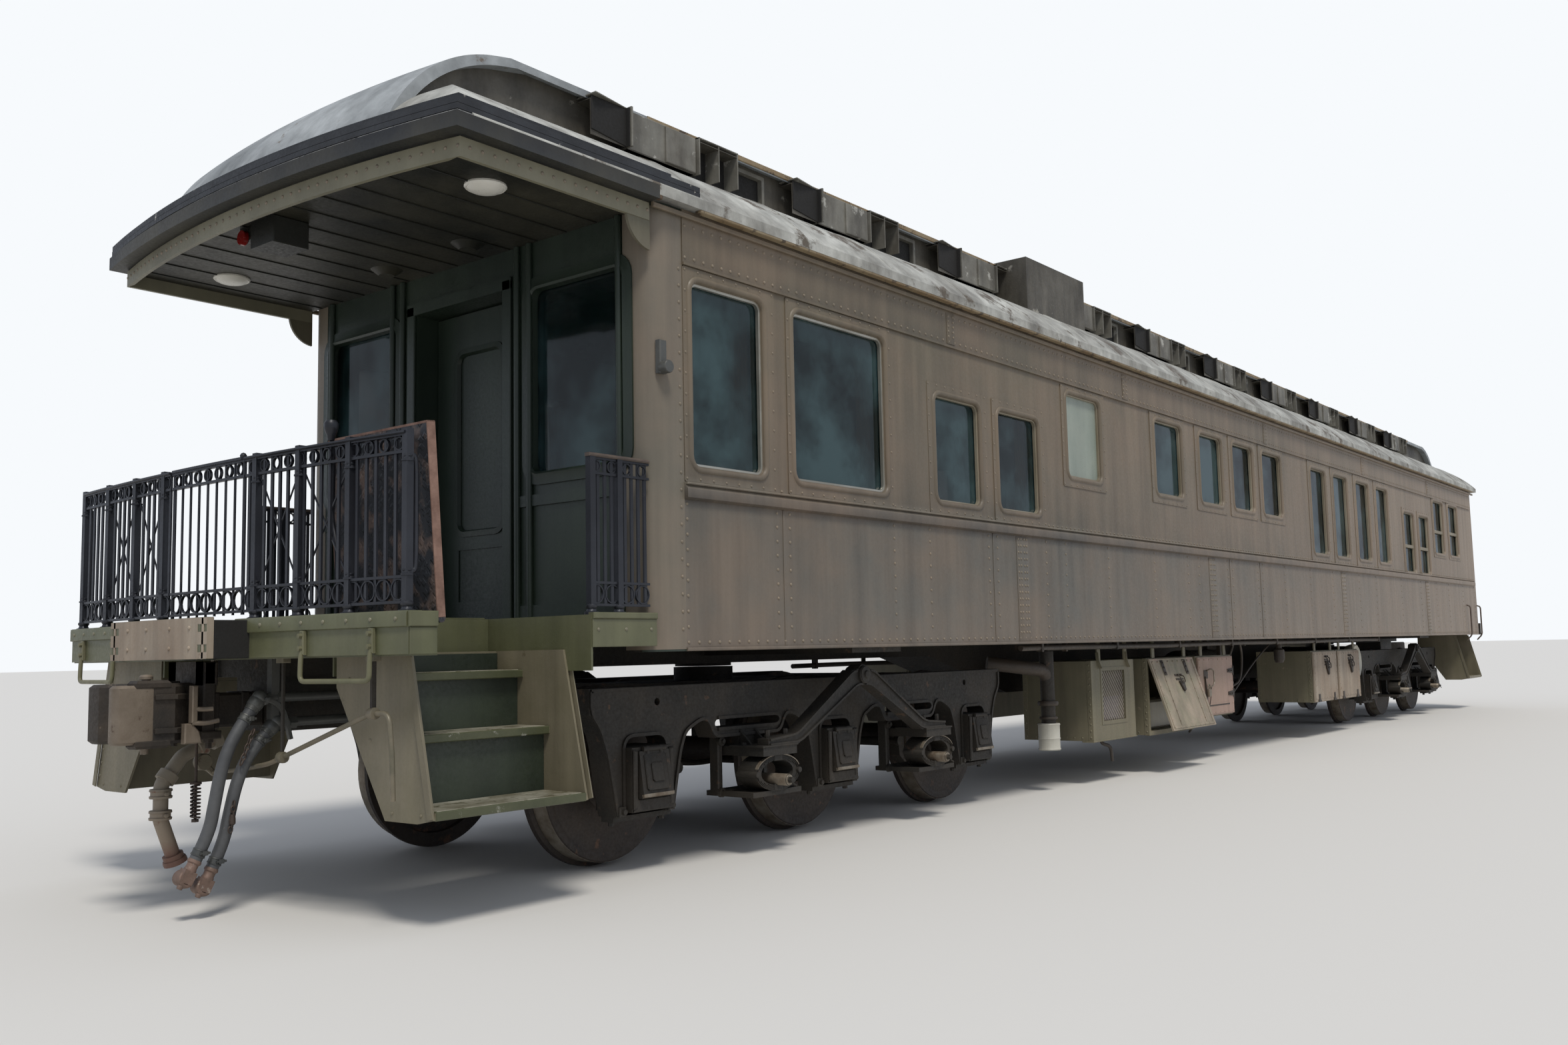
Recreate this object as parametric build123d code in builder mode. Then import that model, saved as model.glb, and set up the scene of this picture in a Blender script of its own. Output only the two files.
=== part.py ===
from build123d import *
from math import pi, radians, sqrt, tan
import os

# Heavyweight business car: riveted steel body on two six-wheel trucks, open platform at the rear.
# Millimetres. +X points to the front, -X to the open platform, -Y is the car's right side and
# z = 0 is where the wheel flanges stand. Places along the car are measured from the rear bulkhead.
os.makedirs("parts", exist_ok=True)

# Length
BODY_LENGTH = 18850.0
PLATFORM_REACH = 1405.0
PLATFORM_BOW = 90.0
REAR_NOSE_REACH = 1950.0
FRONT_NOSE_REACH = 700.0
BULK_X = REAR_NOSE_REACH - (REAR_NOSE_REACH + BODY_LENGTH + FRONT_NOSE_REACH) / 2
FRONT_X = BULK_X + BODY_LENGTH
LENGTH_SHARE = BODY_LENGTH / 18850.0

# Width and walls
HALF_W = 1525.0
WALL = 90.0
INNER_HALF = HALF_W - WALL
CORNER_R = 125.0
CORNER_REACH = 230.0
SIDE_START = BULK_X + CORNER_REACH
SIDE_END = FRONT_X - CORNER_REACH

# Heights
SIDE_BOTTOM = 1140.0
FLOOR_TOP = 1320.0
FLOOR_THICK = 70.0
FLOOR_UNDER = FLOOR_TOP - FLOOR_THICK
BELT_LOW = 1905.0
BELT_TOP = 1992.0
BELT_PROUD = 25.0
LETTER_LOW = 3140.0
LETTER_PROUD = 8.0
EAVE = 3420.0

# Side windows, in order from the rear: start behind the bulkhead, width, sill, head. The starts here
# and every later place along the body keep their share of its length.
WINDOW_R = 55.0
GLASS_THICK = 8.0
GLASS_INSET = 40.0
WINDOWS = (
    (300, 575, 2085, 3050),
    (1150, 910, 2085, 3050),
    (2640, 565, 2085, 2780),
    (3465, 590, 2085, 2780),
    (4535, 580, 2415, 3055),
    (6205, 590, 2415, 3055),
    (7225, 555, 2415, 3055),
    (8075, 560, 2415, 3055),
    (8915, 580, 2415, 3055),
    (10500, 540, 2085, 3040),
    (11345, 545, 2085, 3040),
    (12255, 560, 2085, 3040),
    (13155, 545, 2085, 3040),
    (14465, 540, 2010, 2815),
    (15275, 550, 2010, 2815),
    (16170, 610, 2335, 3095),
    (17110, 600, 2335, 3095),
)

# Rear bulkhead: middle of each window from the centre line, width, sill, head
END_WINDOWS = ((935, 690, 2110, 3110), (-980, 700, 2110, 3110))
DOOR_RECESS_HALF = 400.0
DOOR_RECESS_DEPTH = 150.0
DOOR_HEAD = 3150.0
JAMB = 40.0
DOOR_THICK = 40.0
DOOR_GAP = 8.0
DOOR_GLASS = (390, 1860, 2900)

# Roof: lower deck, clerestory and upper deck, bowed at both ends
ROOF_REAR = BULK_X - 1330.0
ROOF_FRONT = FRONT_X + 200.0
ROOF_MID = (ROOF_REAR + ROOF_FRONT) / 2
ROOF_BOW_R = 7350.0
EAVE_HALF = 1600.0
EAVE_EDGE = 55.0
DECK_HALF = 940.0
DECK_RISE = 460.0
DECK_TOP = EAVE + DECK_RISE
DECK_THICK = 60.0
CLERESTORY_WALL = 60.0
CLERESTORY_RISE = 230.0
CLERESTORY_TOP = DECK_TOP + CLERESTORY_RISE
UPPER_HALF = DECK_HALF + 70.0
UPPER_THICK = 40.0
UPPER_EDGE_TOP = CLERESTORY_TOP + UPPER_THICK
CROWN_RISE = 180.0
UPPER_CROWN = UPPER_EDGE_TOP + CROWN_RISE

# Clerestory bays on each side: first vent box from the bulkhead, spacing and number of bays
BAY_START = 330.0
BAY_PITCH = 1740.0
BAY_COUNT = 10

# Trucks: distance of each centre from its end of the body, axle spacing and wheel
TRUCK_REAR = 2035.0
TRUCK_FRONT = 3250.0
REAR_TRUCK_X = BULK_X + TRUCK_REAR
FRONT_TRUCK_X = FRONT_X - TRUCK_FRONT
AXLE_PITCH = 1676.0
TREAD_R = 457.0
FLANGE = 25.0
WHEEL_Z = TREAD_R + FLANGE
BACK_HALF = 676.5
RIM_WIDTH = 140.0
JOURNAL_R = 70.0
JOURNAL_FIT = 0.08
TRUCK_TOP = 1035.0
PLATE_GAP = 5.0

# Rear platform: step well, trap, railing and centre gate
WELL_REAR = 1280.0
WELL_FRONT = 420.0
WELL_INNER = 780.0
TRAP_GAP = 8.0
TRAP_THICK = 40.0
RAIL_TOP = 2087.0
RAIL_REACH = 1470.0
RAIL_BOW_R = 13000.0
RAIL_HALF = 1467.0
GATE_HALF = 350.0


def block(x0, x1, y0, y1, z0, z1, mode=Mode.ADD):
    """A rectangular plate or bar between two corners, in the builder that is open."""
    with Locations(((x0 + x1) / 2, (y0 + y1) / 2, (z0 + z1) / 2)):
        Box(x1 - x0, y1 - y0, z1 - z0, mode=mode)


def along(place):
    """Distance along the car of a place given behind the bulkhead of the full-length body."""
    return BULK_X + LENGTH_SHARE * place


def finish(part, name):
    """Name a finished piece and write its file."""
    part.label = name
    export_step(part, f"parts/{name}.step")


def rail_x(y):
    """Place along the car of the bowed end railing at a distance y from the centre line."""
    return BULK_X - RAIL_REACH + y * y / (2 * RAIL_BOW_R)


# Floor and underframe
with BuildPart() as floor:
    block(BULK_X + WALL, FRONT_X - WALL, -INNER_HALF, INNER_HALF, FLOOR_UNDER, FLOOR_TOP)
finish(floor.part, "floor")

SILL_HALF = 250.0
SILL_SHALLOW = 1060.0
SILL_DEEP = 720.0
SILL_CLEAR = 2450.0
SILL_SLOPE = 1250.0
SIDE_SILL_WIDE = 150.0
BOLSTER_LOW = 1110.0
BOLSTER_HALF = 260.0
END_SILL_THICK = 60.0
DRAFT_HALF = 190.0
DRAFT_LOW = 800.0
BEARER_LOW = SIDE_BOTTOM
with BuildPart() as underframe:
    # Fish-bellied centre sill, deep between the trucks
    with BuildSketch(Plane.XZ.offset(-SILL_HALF)):
        with BuildLine():
            Polyline(
                (BULK_X - WELL_REAR, SILL_SHALLOW),
                (REAR_TRUCK_X + SILL_CLEAR, SILL_SHALLOW),
                (REAR_TRUCK_X + SILL_CLEAR + SILL_SLOPE, SILL_DEEP),
                (FRONT_TRUCK_X - SILL_CLEAR - SILL_SLOPE, SILL_DEEP),
                (FRONT_TRUCK_X - SILL_CLEAR, SILL_SHALLOW),
                (FRONT_X + END_SILL_THICK, SILL_SHALLOW),
                (FRONT_X + END_SILL_THICK, FLOOR_UNDER),
                (BULK_X - WELL_REAR, FLOOR_UNDER),
                close=True,
            )
        make_face()
    extrude(amount=2 * SILL_HALF)
    # Side sills inside the side sheets, and the cross bearers that carry them
    for side in (-1, 1):
        y_pair = sorted((side * (INNER_HALF - SIDE_SILL_WIDE), side * INNER_HALF))
        block(BULK_X + 100, FRONT_X - 100, *y_pair, SIDE_BOTTOM, FLOOR_UNDER)
    for place in (4800, 6700, 8800, 10900, 12900):
        x = along(place)
        block(x - 60, x + 60, -INNER_HALF, INNER_HALF, BEARER_LOW, FLOOR_UNDER)
    # Body bolsters with the centre plates that sit over the trucks
    for x in (REAR_TRUCK_X, FRONT_TRUCK_X):
        block(x - BOLSTER_HALF, x + BOLSTER_HALF, -INNER_HALF, INNER_HALF, BOLSTER_LOW, FLOOR_UNDER)
        with Locations((x, 0, (TRUCK_TOP + PLATE_GAP + SILL_SHALLOW) / 2)):
            Cylinder(190, SILL_SHALLOW - TRUCK_TOP - PLATE_GAP)
    # Front end sill, and the draft housings that hold the couplers
    block(FRONT_X, FRONT_X + END_SILL_THICK, -HALF_W, HALF_W, SIDE_BOTTOM, FLOOR_TOP)
    block(BULK_X - 1200, BULK_X - 400, -DRAFT_HALF, DRAFT_HALF, DRAFT_LOW, SILL_SHALLOW)
    block(FRONT_X - 700, FRONT_X - 50, -DRAFT_HALF, DRAFT_HALF, DRAFT_LOW, SILL_SHALLOW)
finish(underframe.part, "underframe")

# Side walls, with the windows, the belt rail and the letterboard
with BuildPart() as side_right:
    with BuildSketch(Plane.XZ.offset(INNER_HALF)):
        with Locations(((SIDE_START + SIDE_END) / 2, (SIDE_BOTTOM + EAVE) / 2)):
            Rectangle(SIDE_END - SIDE_START, EAVE - SIDE_BOTTOM)
        for start, width, sill, head in WINDOWS:
            with Locations((along(start) + width / 2, (sill + head) / 2)):
                RectangleRounded(width, head - sill, WINDOW_R, mode=Mode.SUBTRACT)
    extrude(amount=WALL)
    with BuildSketch(Plane.YZ.offset(SIDE_START)):
        with BuildLine():
            Polyline(
                (-HALF_W, BELT_LOW),
                (-HALF_W - BELT_PROUD, BELT_LOW + 12),
                (-HALF_W - BELT_PROUD, BELT_TOP - 30),
                (-HALF_W, BELT_TOP),
                close=True,
            )
        make_face()
    extrude(amount=SIDE_END - SIDE_START)
    block(SIDE_START, SIDE_END, -HALF_W - LETTER_PROUD, -HALF_W, LETTER_LOW, EAVE)
    block(SIDE_START, SIDE_END, -HALF_W - 2 * LETTER_PROUD, -HALF_W, LETTER_LOW - 14, LETTER_LOW)
finish(side_right.part, "side_right")

with BuildPart() as side_left:
    add(mirror(side_right.part, about=Plane.XZ, mode=Mode.PRIVATE))
finish(side_left.part, "side_left")

with BuildPart() as glass_right:
    with BuildSketch(Plane.XZ.offset(HALF_W - GLASS_INSET - GLASS_THICK)):
        for start, width, sill, head in WINDOWS:
            with Locations((along(start) + width / 2, (sill + head) / 2)):
                RectangleRounded(width, head - sill, WINDOW_R)
    extrude(amount=GLASS_THICK)
finish(glass_right.part, "glass_right")

with BuildPart() as glass_left:
    add(mirror(glass_right.part, about=Plane.XZ, mode=Mode.PRIVATE))
finish(glass_left.part, "glass_left")


def corner_plan(wall_x, inward):
    """Plan of a hollow end wall: rounded outer corners and short returns along both sides."""
    with Locations((wall_x + inward * CORNER_REACH / 2, 0)):
        Rectangle(CORNER_REACH, 2 * HALF_W)
    outer = [v for v in vertices() if abs(v.X - wall_x) < 1.0]
    fillet(outer, CORNER_R)
    with Locations((wall_x + inward * (WALL + CORNER_REACH), 0)):
        Rectangle(2 * CORNER_REACH, 2 * INNER_HALF, mode=Mode.SUBTRACT)


# Rear bulkhead with its recessed door frame and two windows
with BuildPart() as end_rear:
    with BuildSketch(Plane.XY.offset(SIDE_BOTTOM)):
        corner_plan(BULK_X, 1)
    extrude(amount=EAVE - SIDE_BOTTOM)
    recess = BULK_X + DOOR_RECESS_DEPTH + DOOR_THICK + 2 * DOOR_GAP
    for side in (-1, 1):
        y_pair = sorted((side * DOOR_RECESS_HALF, side * (DOOR_RECESS_HALF + JAMB)))
        block(BULK_X + WALL, recess, *y_pair, FLOOR_TOP, DOOR_HEAD + JAMB)
    block(
        BULK_X + WALL, recess,
        -DOOR_RECESS_HALF - JAMB, DOOR_RECESS_HALF + JAMB, DOOR_HEAD, DOOR_HEAD + JAMB,
    )
    block(
        BULK_X, BULK_X + WALL,
        -DOOR_RECESS_HALF, DOOR_RECESS_HALF, FLOOR_TOP, DOOR_HEAD, Mode.SUBTRACT,
    )
    block(
        BULK_X, BULK_X + WALL,
        -INNER_HALF, INNER_HALF, SIDE_BOTTOM, FLOOR_UNDER, Mode.SUBTRACT,
    )
    with BuildSketch(Plane.YZ.offset(BULK_X)):
        for middle, width, sill, head in END_WINDOWS:
            with Locations((middle, (sill + head) / 2)):
                RectangleRounded(width, head - sill, WINDOW_R)
    extrude(amount=WALL, mode=Mode.SUBTRACT)
finish(end_rear.part, "end_rear")

with BuildPart() as glass_ends:
    with BuildSketch(Plane.YZ.offset(BULK_X + GLASS_INSET)):
        for middle, width, sill, head in END_WINDOWS:
            with Locations((middle, (sill + head) / 2)):
                RectangleRounded(width, head - sill, WINDOW_R)
    extrude(amount=GLASS_THICK)
finish(glass_ends.part, "glass_ends")

# Front end wall with its plain doorway
with BuildPart() as end_front:
    with BuildSketch(Plane.XY.offset(SIDE_BOTTOM)):
        corner_plan(FRONT_X, -1)
    extrude(amount=EAVE - SIDE_BOTTOM)
    block(
        FRONT_X - WALL, FRONT_X,
        -DOOR_RECESS_HALF, DOOR_RECESS_HALF, FLOOR_TOP, DOOR_HEAD, Mode.SUBTRACT,
    )
    block(
        FRONT_X - WALL, FRONT_X,
        -INNER_HALF, INNER_HALF, SIDE_BOTTOM, FLOOR_UNDER, Mode.SUBTRACT,
    )
finish(end_front.part, "end_front")


HINGE_R = 6.0


def door_leaf(name, x0, hinge_x):
    """An end door with its glass, a sunk lower panel and a hinge barrel on one edge."""
    width, sill, head = DOOR_GLASS
    with BuildPart() as leaf:
        block(
            x0, x0 + DOOR_THICK,
            -DOOR_RECESS_HALF + DOOR_GAP, DOOR_RECESS_HALF - DOOR_GAP,
            FLOOR_TOP + DOOR_GAP, DOOR_HEAD - DOOR_GAP,
        )
        with BuildSketch(Plane.YZ.offset(x0)):
            with Locations((0, (sill + head) / 2)):
                RectangleRounded(width, head - sill, WINDOW_R)
        extrude(amount=DOOR_THICK, mode=Mode.SUBTRACT)
        block(
            x0 + DOOR_THICK / 2 - GLASS_THICK / 2, x0 + DOOR_THICK / 2 + GLASS_THICK / 2,
            -width / 2, width / 2, sill, head,
        )
        # Lower panel
        with BuildSketch(Plane.YZ.offset(x0)):
            with Locations((0, 1600)):
                Rectangle(width, 300)
        extrude(amount=8, mode=Mode.SUBTRACT)
        with Locations((hinge_x, DOOR_RECESS_HALF - DOOR_GAP, (FLOOR_TOP + DOOR_HEAD) / 2)):
            Cylinder(HINGE_R, DOOR_HEAD - FLOOR_TOP - 2 * DOOR_GAP)
    finish(leaf.part, name)


REAR_DOOR_X = BULK_X + DOOR_RECESS_DEPTH
FRONT_DOOR_X = FRONT_X - WALL + DOOR_GAP
door_leaf("door_rear", REAR_DOOR_X, REAR_DOOR_X + DOOR_THICK)
door_leaf("door_front", FRONT_DOOR_X, FRONT_DOOR_X)

# Roof. The end of each deck is a profile turned about the centre of the bow.
BOW_CENTRE = ROOF_REAR + ROOF_BOW_R
BOW_ANGLE = 24.0
LOWER_END = ((0, EAVE + 80), (170, EAVE + 300), (620, DECK_TOP + 20))
UPPER_END = (
    (30, EAVE + 60), (260, DECK_TOP + 10), (700, CLERESTORY_TOP + 20), (1700, UPPER_CROWN + 15),
)
ROOF_BASE = EAVE
END_BLEND = 1500.0


def bowed_block(profile, inset, top):
    """The space under a roof end profile at both ends of the car and under a flat top between."""
    start, middle, crown = profile[:3]
    plane = Plane(
        origin=(BOW_CENTRE, 0, 0),
        x_dir=Vector(-1, 0, 0).rotate(Axis.Z, -BOW_ANGLE),
        z_dir=Vector(0, 1, 0).rotate(Axis.Z, -BOW_ANGLE),
    )

    def spot(point):
        return (ROOF_BOW_R - point[0] - inset, point[1] - inset)

    with BuildPart(mode=Mode.PRIVATE) as end:
        with BuildSketch(plane):
            with BuildLine():
                rise = ThreePointArc(spot(start), spot(middle), spot(crown))
                last = crown
                if len(profile) > 3:
                    last = profile[3]
                    TangentArc(spot(crown), spot(last), tangent=rise % 1)
                Polyline(
                    spot(last),
                    (ROOF_BOW_R - 2 * END_BLEND, last[1] - inset),
                    (ROOF_BOW_R - 2 * END_BLEND, ROOF_BASE - 100),
                    (ROOF_BOW_R - start[0] - inset, ROOF_BASE - 100),
                    spot(start),
                )
            make_face()
        revolve(axis=Axis((BOW_CENTRE, 0, 0), (0, 0, 1)), revolution_arc=2 * BOW_ANGLE)
    with BuildPart(mode=Mode.PRIVATE) as whole:
        add(end.part)
        add(mirror(end.part, about=Plane.YZ.offset(ROOF_MID), mode=Mode.PRIVATE))
        block(
            ROOF_REAR + 2 * END_BLEND - 600, ROOF_FRONT - 2 * END_BLEND + 600,
            -2 * EAVE_HALF, 2 * EAVE_HALF, ROOF_BASE - 100, top - inset,
        )
    return whole.part


def deck_section(half, low, eave, edge_half, edge_top):
    """Cross-section of the lower deck: upright eave, then a curve up to the clerestory."""
    bulge = ((half + edge_half) / 2 + 20, (eave + edge_top) / 2 + 62)
    with BuildLine() as outline:
        ThreePointArc((half, eave), bulge, (edge_half, edge_top))
        Line((edge_half, edge_top), (-edge_half, edge_top))
        ThreePointArc((-half, eave), (-bulge[0], bulge[1]), (-edge_half, edge_top))
        Polyline((half, eave), (half, low), (-half, low), (-half, eave))
    make_face(outline.edges())


with BuildPart(mode=Mode.PRIVATE) as deck_outside:
    with BuildSketch(Plane.YZ.offset(ROOF_REAR - 200)):
        deck_section(EAVE_HALF, EAVE, EAVE + EAVE_EDGE, DECK_HALF, DECK_TOP)
    extrude(amount=ROOF_FRONT - ROOF_REAR + 400)
    add(bowed_block(LOWER_END, 0, LOWER_END[2][1]), mode=Mode.INTERSECT)

# Layered strips round the edge of the canopy: bottom, top, how far out, and how far past the bulkhead
CANOPY_END = BULK_X - 1330.0
CANOPY_CORNER = BULK_X - 1170.0
RIM_IN = 60.0
RIM_STRIPS = (
    (EAVE - 20, EAVE + 50, EAVE_HALF - HALF_W, 0),
    (EAVE + 50, EAVE + 120, EAVE_HALF - HALF_W - 13, 310),
)


def canopy_plan(half, corner_x, middle_x, front_x, mode=Mode.ADD):
    """Plan of the canopy: straight sides and a bowed end."""
    with BuildLine() as outline:
        ThreePointArc((corner_x, -half), (middle_x, 0), (corner_x, half))
        Polyline((corner_x, half), (front_x, half), (front_x, -half), (corner_x, -half))
    make_face(outline.edges(), mode=mode)


with BuildPart(mode=Mode.PRIVATE) as rim:
    for z0, z1, out, front in RIM_STRIPS:
        with BuildSketch(Plane.XY.offset(z0)):
            canopy_plan(HALF_W + out, CANOPY_CORNER - out, CANOPY_END - out, BULK_X + front)
            canopy_plan(
                HALF_W - RIM_IN, CANOPY_CORNER + RIM_IN, CANOPY_END + RIM_IN, BULK_X + front,
                mode=Mode.SUBTRACT,
            )
        extrude(amount=z1 - z0)

with BuildPart(mode=Mode.PRIVATE) as deck_inside:
    with BuildSketch(Plane.YZ.offset(ROOF_REAR - 200)):
        deck_section(INNER_HALF, EAVE - 50, EAVE + 1, DECK_HALF, DECK_TOP - DECK_THICK)
    extrude(amount=ROOF_FRONT - ROOF_REAR + 400)
    add(bowed_block(LOWER_END, DECK_THICK, LOWER_END[2][1]), mode=Mode.INTERSECT)

with BuildPart() as roof_lower:
    add(deck_outside.part)
    add(deck_inside.part, mode=Mode.SUBTRACT)
    block(
        ROOF_REAR + 260, ROOF_FRONT - 260,
        -DECK_HALF, DECK_HALF, EAVE, DECK_TOP + 50, Mode.SUBTRACT,
    )
    add(rim.part, mode=Mode.SUBTRACT)
finish(roof_lower.part, "roof_lower")


def crown_section(half, low, edge, crown):
    """Cross-section of the upper deck: a flat-sided block with a bowed top."""
    with BuildLine() as outline:
        ThreePointArc((half, edge), (0, crown), (-half, edge))
        Polyline((-half, edge), (-half, low), (half, low), (half, edge))
    make_face(outline.edges())


# The inside runs parallel to the crown and on past the deck's edges
CROWN_RADIUS = (UPPER_HALF ** 2 + CROWN_RISE ** 2) / (2 * CROWN_RISE)
INSIDE_HALF = UPPER_HALF + 200
INSIDE_CROWN = UPPER_CROWN - UPPER_THICK
INSIDE_EDGE = INSIDE_CROWN - CROWN_RADIUS + sqrt(CROWN_RADIUS ** 2 - INSIDE_HALF ** 2)
with BuildPart(mode=Mode.PRIVATE) as hood_inside:
    with BuildSketch(Plane.YZ.offset(ROOF_REAR - 200)):
        crown_section(INSIDE_HALF, EAVE - 120, INSIDE_EDGE, INSIDE_CROWN)
    extrude(amount=ROOF_FRONT - ROOF_REAR + 400)
    add(bowed_block(UPPER_END, UPPER_THICK, UPPER_END[3][1]), mode=Mode.INTERSECT)

with BuildPart(mode=Mode.PRIVATE) as upper_deck:
    with BuildSketch(Plane.YZ.offset(ROOF_REAR - 200)):
        crown_section(UPPER_HALF, ROOF_BASE, UPPER_EDGE_TOP, UPPER_CROWN)
    extrude(amount=ROOF_FRONT - ROOF_REAR + 400)
    add(bowed_block(UPPER_END, 0, UPPER_END[3][1]), mode=Mode.INTERSECT)
    add(hood_inside.part, mode=Mode.SUBTRACT)
    add(deck_outside.part, mode=Mode.SUBTRACT)
    add(rim.part, mode=Mode.SUBTRACT)

# The upper deck's plating: the long middle and the two bowed hoods, with a sheet seam between them
HOOD_REACH = 1900.0
ROOF_SEAM = 2.0
with BuildPart() as roof_upper:
    add(upper_deck.part)
    block(
        ROOF_REAR + HOOD_REACH + ROOF_SEAM, ROOF_FRONT - HOOD_REACH - ROOF_SEAM,
        -HALF_W, HALF_W, EAVE, UPPER_CROWN + UPPER_THICK, Mode.INTERSECT,
    )
finish(roof_upper.part, "roof_upper")
with BuildPart() as hood_rear:
    add(upper_deck.part)
    block(
        ROOF_REAR - 200, ROOF_REAR + HOOD_REACH,
        -2 * HALF_W, 2 * HALF_W, EAVE - 200, UPPER_CROWN + UPPER_THICK, Mode.INTERSECT,
    )
finish(hood_rear.part, "hood_rear")
with BuildPart() as hood_front:
    add(upper_deck.part)
    block(
        ROOF_FRONT - HOOD_REACH, ROOF_FRONT + 200,
        -2 * HALF_W, 2 * HALF_W, EAVE - 200, UPPER_CROWN + UPPER_THICK, Mode.INTERSECT,
    )
finish(hood_front.part, "hood_front")

# Clerestory: two long walls with a scoop, a vent box, two open compartments and a window in each bay
PANE_START = 930.0
PANE_END = 1290.0
VENT_LOW = DECK_TOP + 20
VENT_HIGH = CLERESTORY_TOP - 10
VENT_SHEET = 4.0
BAY_STARTS = [along(BAY_START + bay * BAY_PITCH) for bay in range(BAY_COUNT)]

# Louvred duct box that stands against the clerestory on the right, in place of the vents there
DUCT_PLACE = 4530
DUCT_LONG = 1010.0
DUCT_DEEP = 300.0
DUCT_TOP = UPPER_EDGE_TOP + 40

# Vent walls in plan: start and end along the bay, start and end out from the clerestory wall
VENT_PLAN = (
    (4, 546, 0, 97),
    (562, 562 + VENT_SHEET, 0, 127),
    (732, 732 + VENT_SHEET, 0, 127),
    (902, 902 + VENT_SHEET, 0, 127),
    (-5, 0, 0, 105),
    (-278, 0, 105 - VENT_SHEET, 105),
)
# Their lids: start and end along the bay, and how far out
VENT_LIDS = ((562, 902 + VENT_SHEET, 127), (-278, 0, 105))
with BuildPart() as clerestory:
    for side in (-1, 1):
        y_pair = sorted((side * DECK_HALF, side * (DECK_HALF - CLERESTORY_WALL)))
        block(
            ROOF_REAR + 260, ROOF_FRONT - 260,
            *y_pair, DECK_TOP - DECK_THICK, UPPER_CROWN,
        )
        for x0 in (ROOF_REAR + 260, ROOF_FRONT - 860):
            block(x0, x0 + 600, *y_pair, DECK_TOP - 280, DECK_TOP)
    add(hood_inside.part, mode=Mode.INTERSECT)
    # Panes, cut through both walls
    with BuildSketch(Plane.XZ.offset(-DECK_HALF)):
        for x in BAY_STARTS:
            with Locations((x + (PANE_START + PANE_END) / 2, (VENT_LOW + VENT_HIGH) / 2)):
                Rectangle(PANE_END - PANE_START, VENT_HIGH - VENT_LOW)
    extrude(amount=2 * DECK_HALF, mode=Mode.SUBTRACT)
    # Boxes, compartment plates and scoops, the scoops open towards the rear
    with BuildSketch(Plane.XY.offset(VENT_LOW)):
        for x in BAY_STARTS:
            for side in (-1, 1):
                for low, high, near, far in VENT_PLAN:
                    with Locations((x + (low + high) / 2, side * (DECK_HALF + (near + far) / 2))):
                        Rectangle(high - low, far - near)
    extrude(amount=VENT_HIGH - VENT_LOW)
    with BuildSketch(Plane.XY.offset(VENT_HIGH - VENT_SHEET)):
        for x in BAY_STARTS:
            for side in (-1, 1):
                for low, high, far in VENT_LIDS:
                    with Locations((x + (low + high) / 2, side * (DECK_HALF + far / 2))):
                        Rectangle(high - low, far)
    extrude(amount=VENT_SHEET)
    block(
        along(DUCT_PLACE), along(DUCT_PLACE) + DUCT_LONG, -DECK_HALF - DUCT_DEEP, -DECK_HALF,
        VENT_LOW, VENT_HIGH, Mode.SUBTRACT,
    )
finish(clerestory.part, "clerestory")

# Canopy over the platform: rivet-plated fascia, ceiling and the rim above
FASCIA_LOW = EAVE - 100
FASCIA_HIGH = EAVE - 20
FASCIA_THICK = 16.0
CEILING_Z = EAVE - 45
BRACKET_FOOT = DOOR_HEAD
BRACKET_REACH = 160.0
LAMP_R = 90.0
LAMP_DROP = 34.0
LAMPS = ((-230, -370), (-230, 370), (-740, -1160), (-740, 1160))
with BuildPart() as canopy:
    add(rim.part)
    with BuildSketch(Plane.XY.offset(FASCIA_LOW)):
        canopy_plan(HALF_W, CANOPY_CORNER, CANOPY_END, BULK_X)
        canopy_plan(
            HALF_W - FASCIA_THICK, CANOPY_CORNER + FASCIA_THICK, CANOPY_END + FASCIA_THICK, BULK_X,
            mode=Mode.SUBTRACT,
        )
    extrude(amount=FASCIA_HIGH - FASCIA_LOW)
    with BuildSketch(Plane.XY.offset(CEILING_Z)):
        canopy_plan(HALF_W, CANOPY_CORNER, CANOPY_END, BULK_X)
    extrude(amount=FASCIA_HIGH - CEILING_Z)
    for x, y in LAMPS:
        with Locations((BULK_X + x, y, CEILING_Z - LAMP_DROP / 2)):
            Cone(LAMP_R / 2, LAMP_R, LAMP_DROP)
    # Curved brackets down to the corner columns
    for y0 in (-HALF_W, HALF_W - FASCIA_THICK):
        with BuildSketch(Plane.XZ.offset(-y0)):
            with BuildLine():
                top = (BULK_X - BRACKET_REACH, FASCIA_LOW)
                foot = (BULK_X, BRACKET_FOOT)
                Polyline(top, (BULK_X, FASCIA_LOW), foot)
                RadiusArc(foot, top, BRACKET_REACH + 15)
            make_face()
        extrude(amount=-FASCIA_THICK)
finish(canopy.part, "canopy")

# Rear platform: deck, bowed end sill, side aprons, step wells and buffer plate
DECK_THICKNESS = 40.0
END_SILL_LOW = 1145.0
APRON_LOW = 1170.0
WELL_LINING = 12.0
BUFFER_FACE = 1700.0
BUFFER_HALF = 450.0
BUFFER_LOW = 1150.0
BUFFER_TOP = 1335.0
SQUARE_HOLE = 34.0
PLATFORM_END = BULK_X - PLATFORM_REACH


def platform_plan(front_x, inset=0.0, mode=Mode.ADD):
    """Plan of the platform: straight sides and an end bowed outward."""
    half = HALF_W - inset
    corner = PLATFORM_END + inset
    with BuildLine() as outline:
        ThreePointArc((corner, -half), (corner - PLATFORM_BOW, 0), (corner, half))
        Polyline((corner, half), (front_x, half), (front_x, -half), (corner, -half))
    make_face(outline.edges(), mode=mode)


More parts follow.
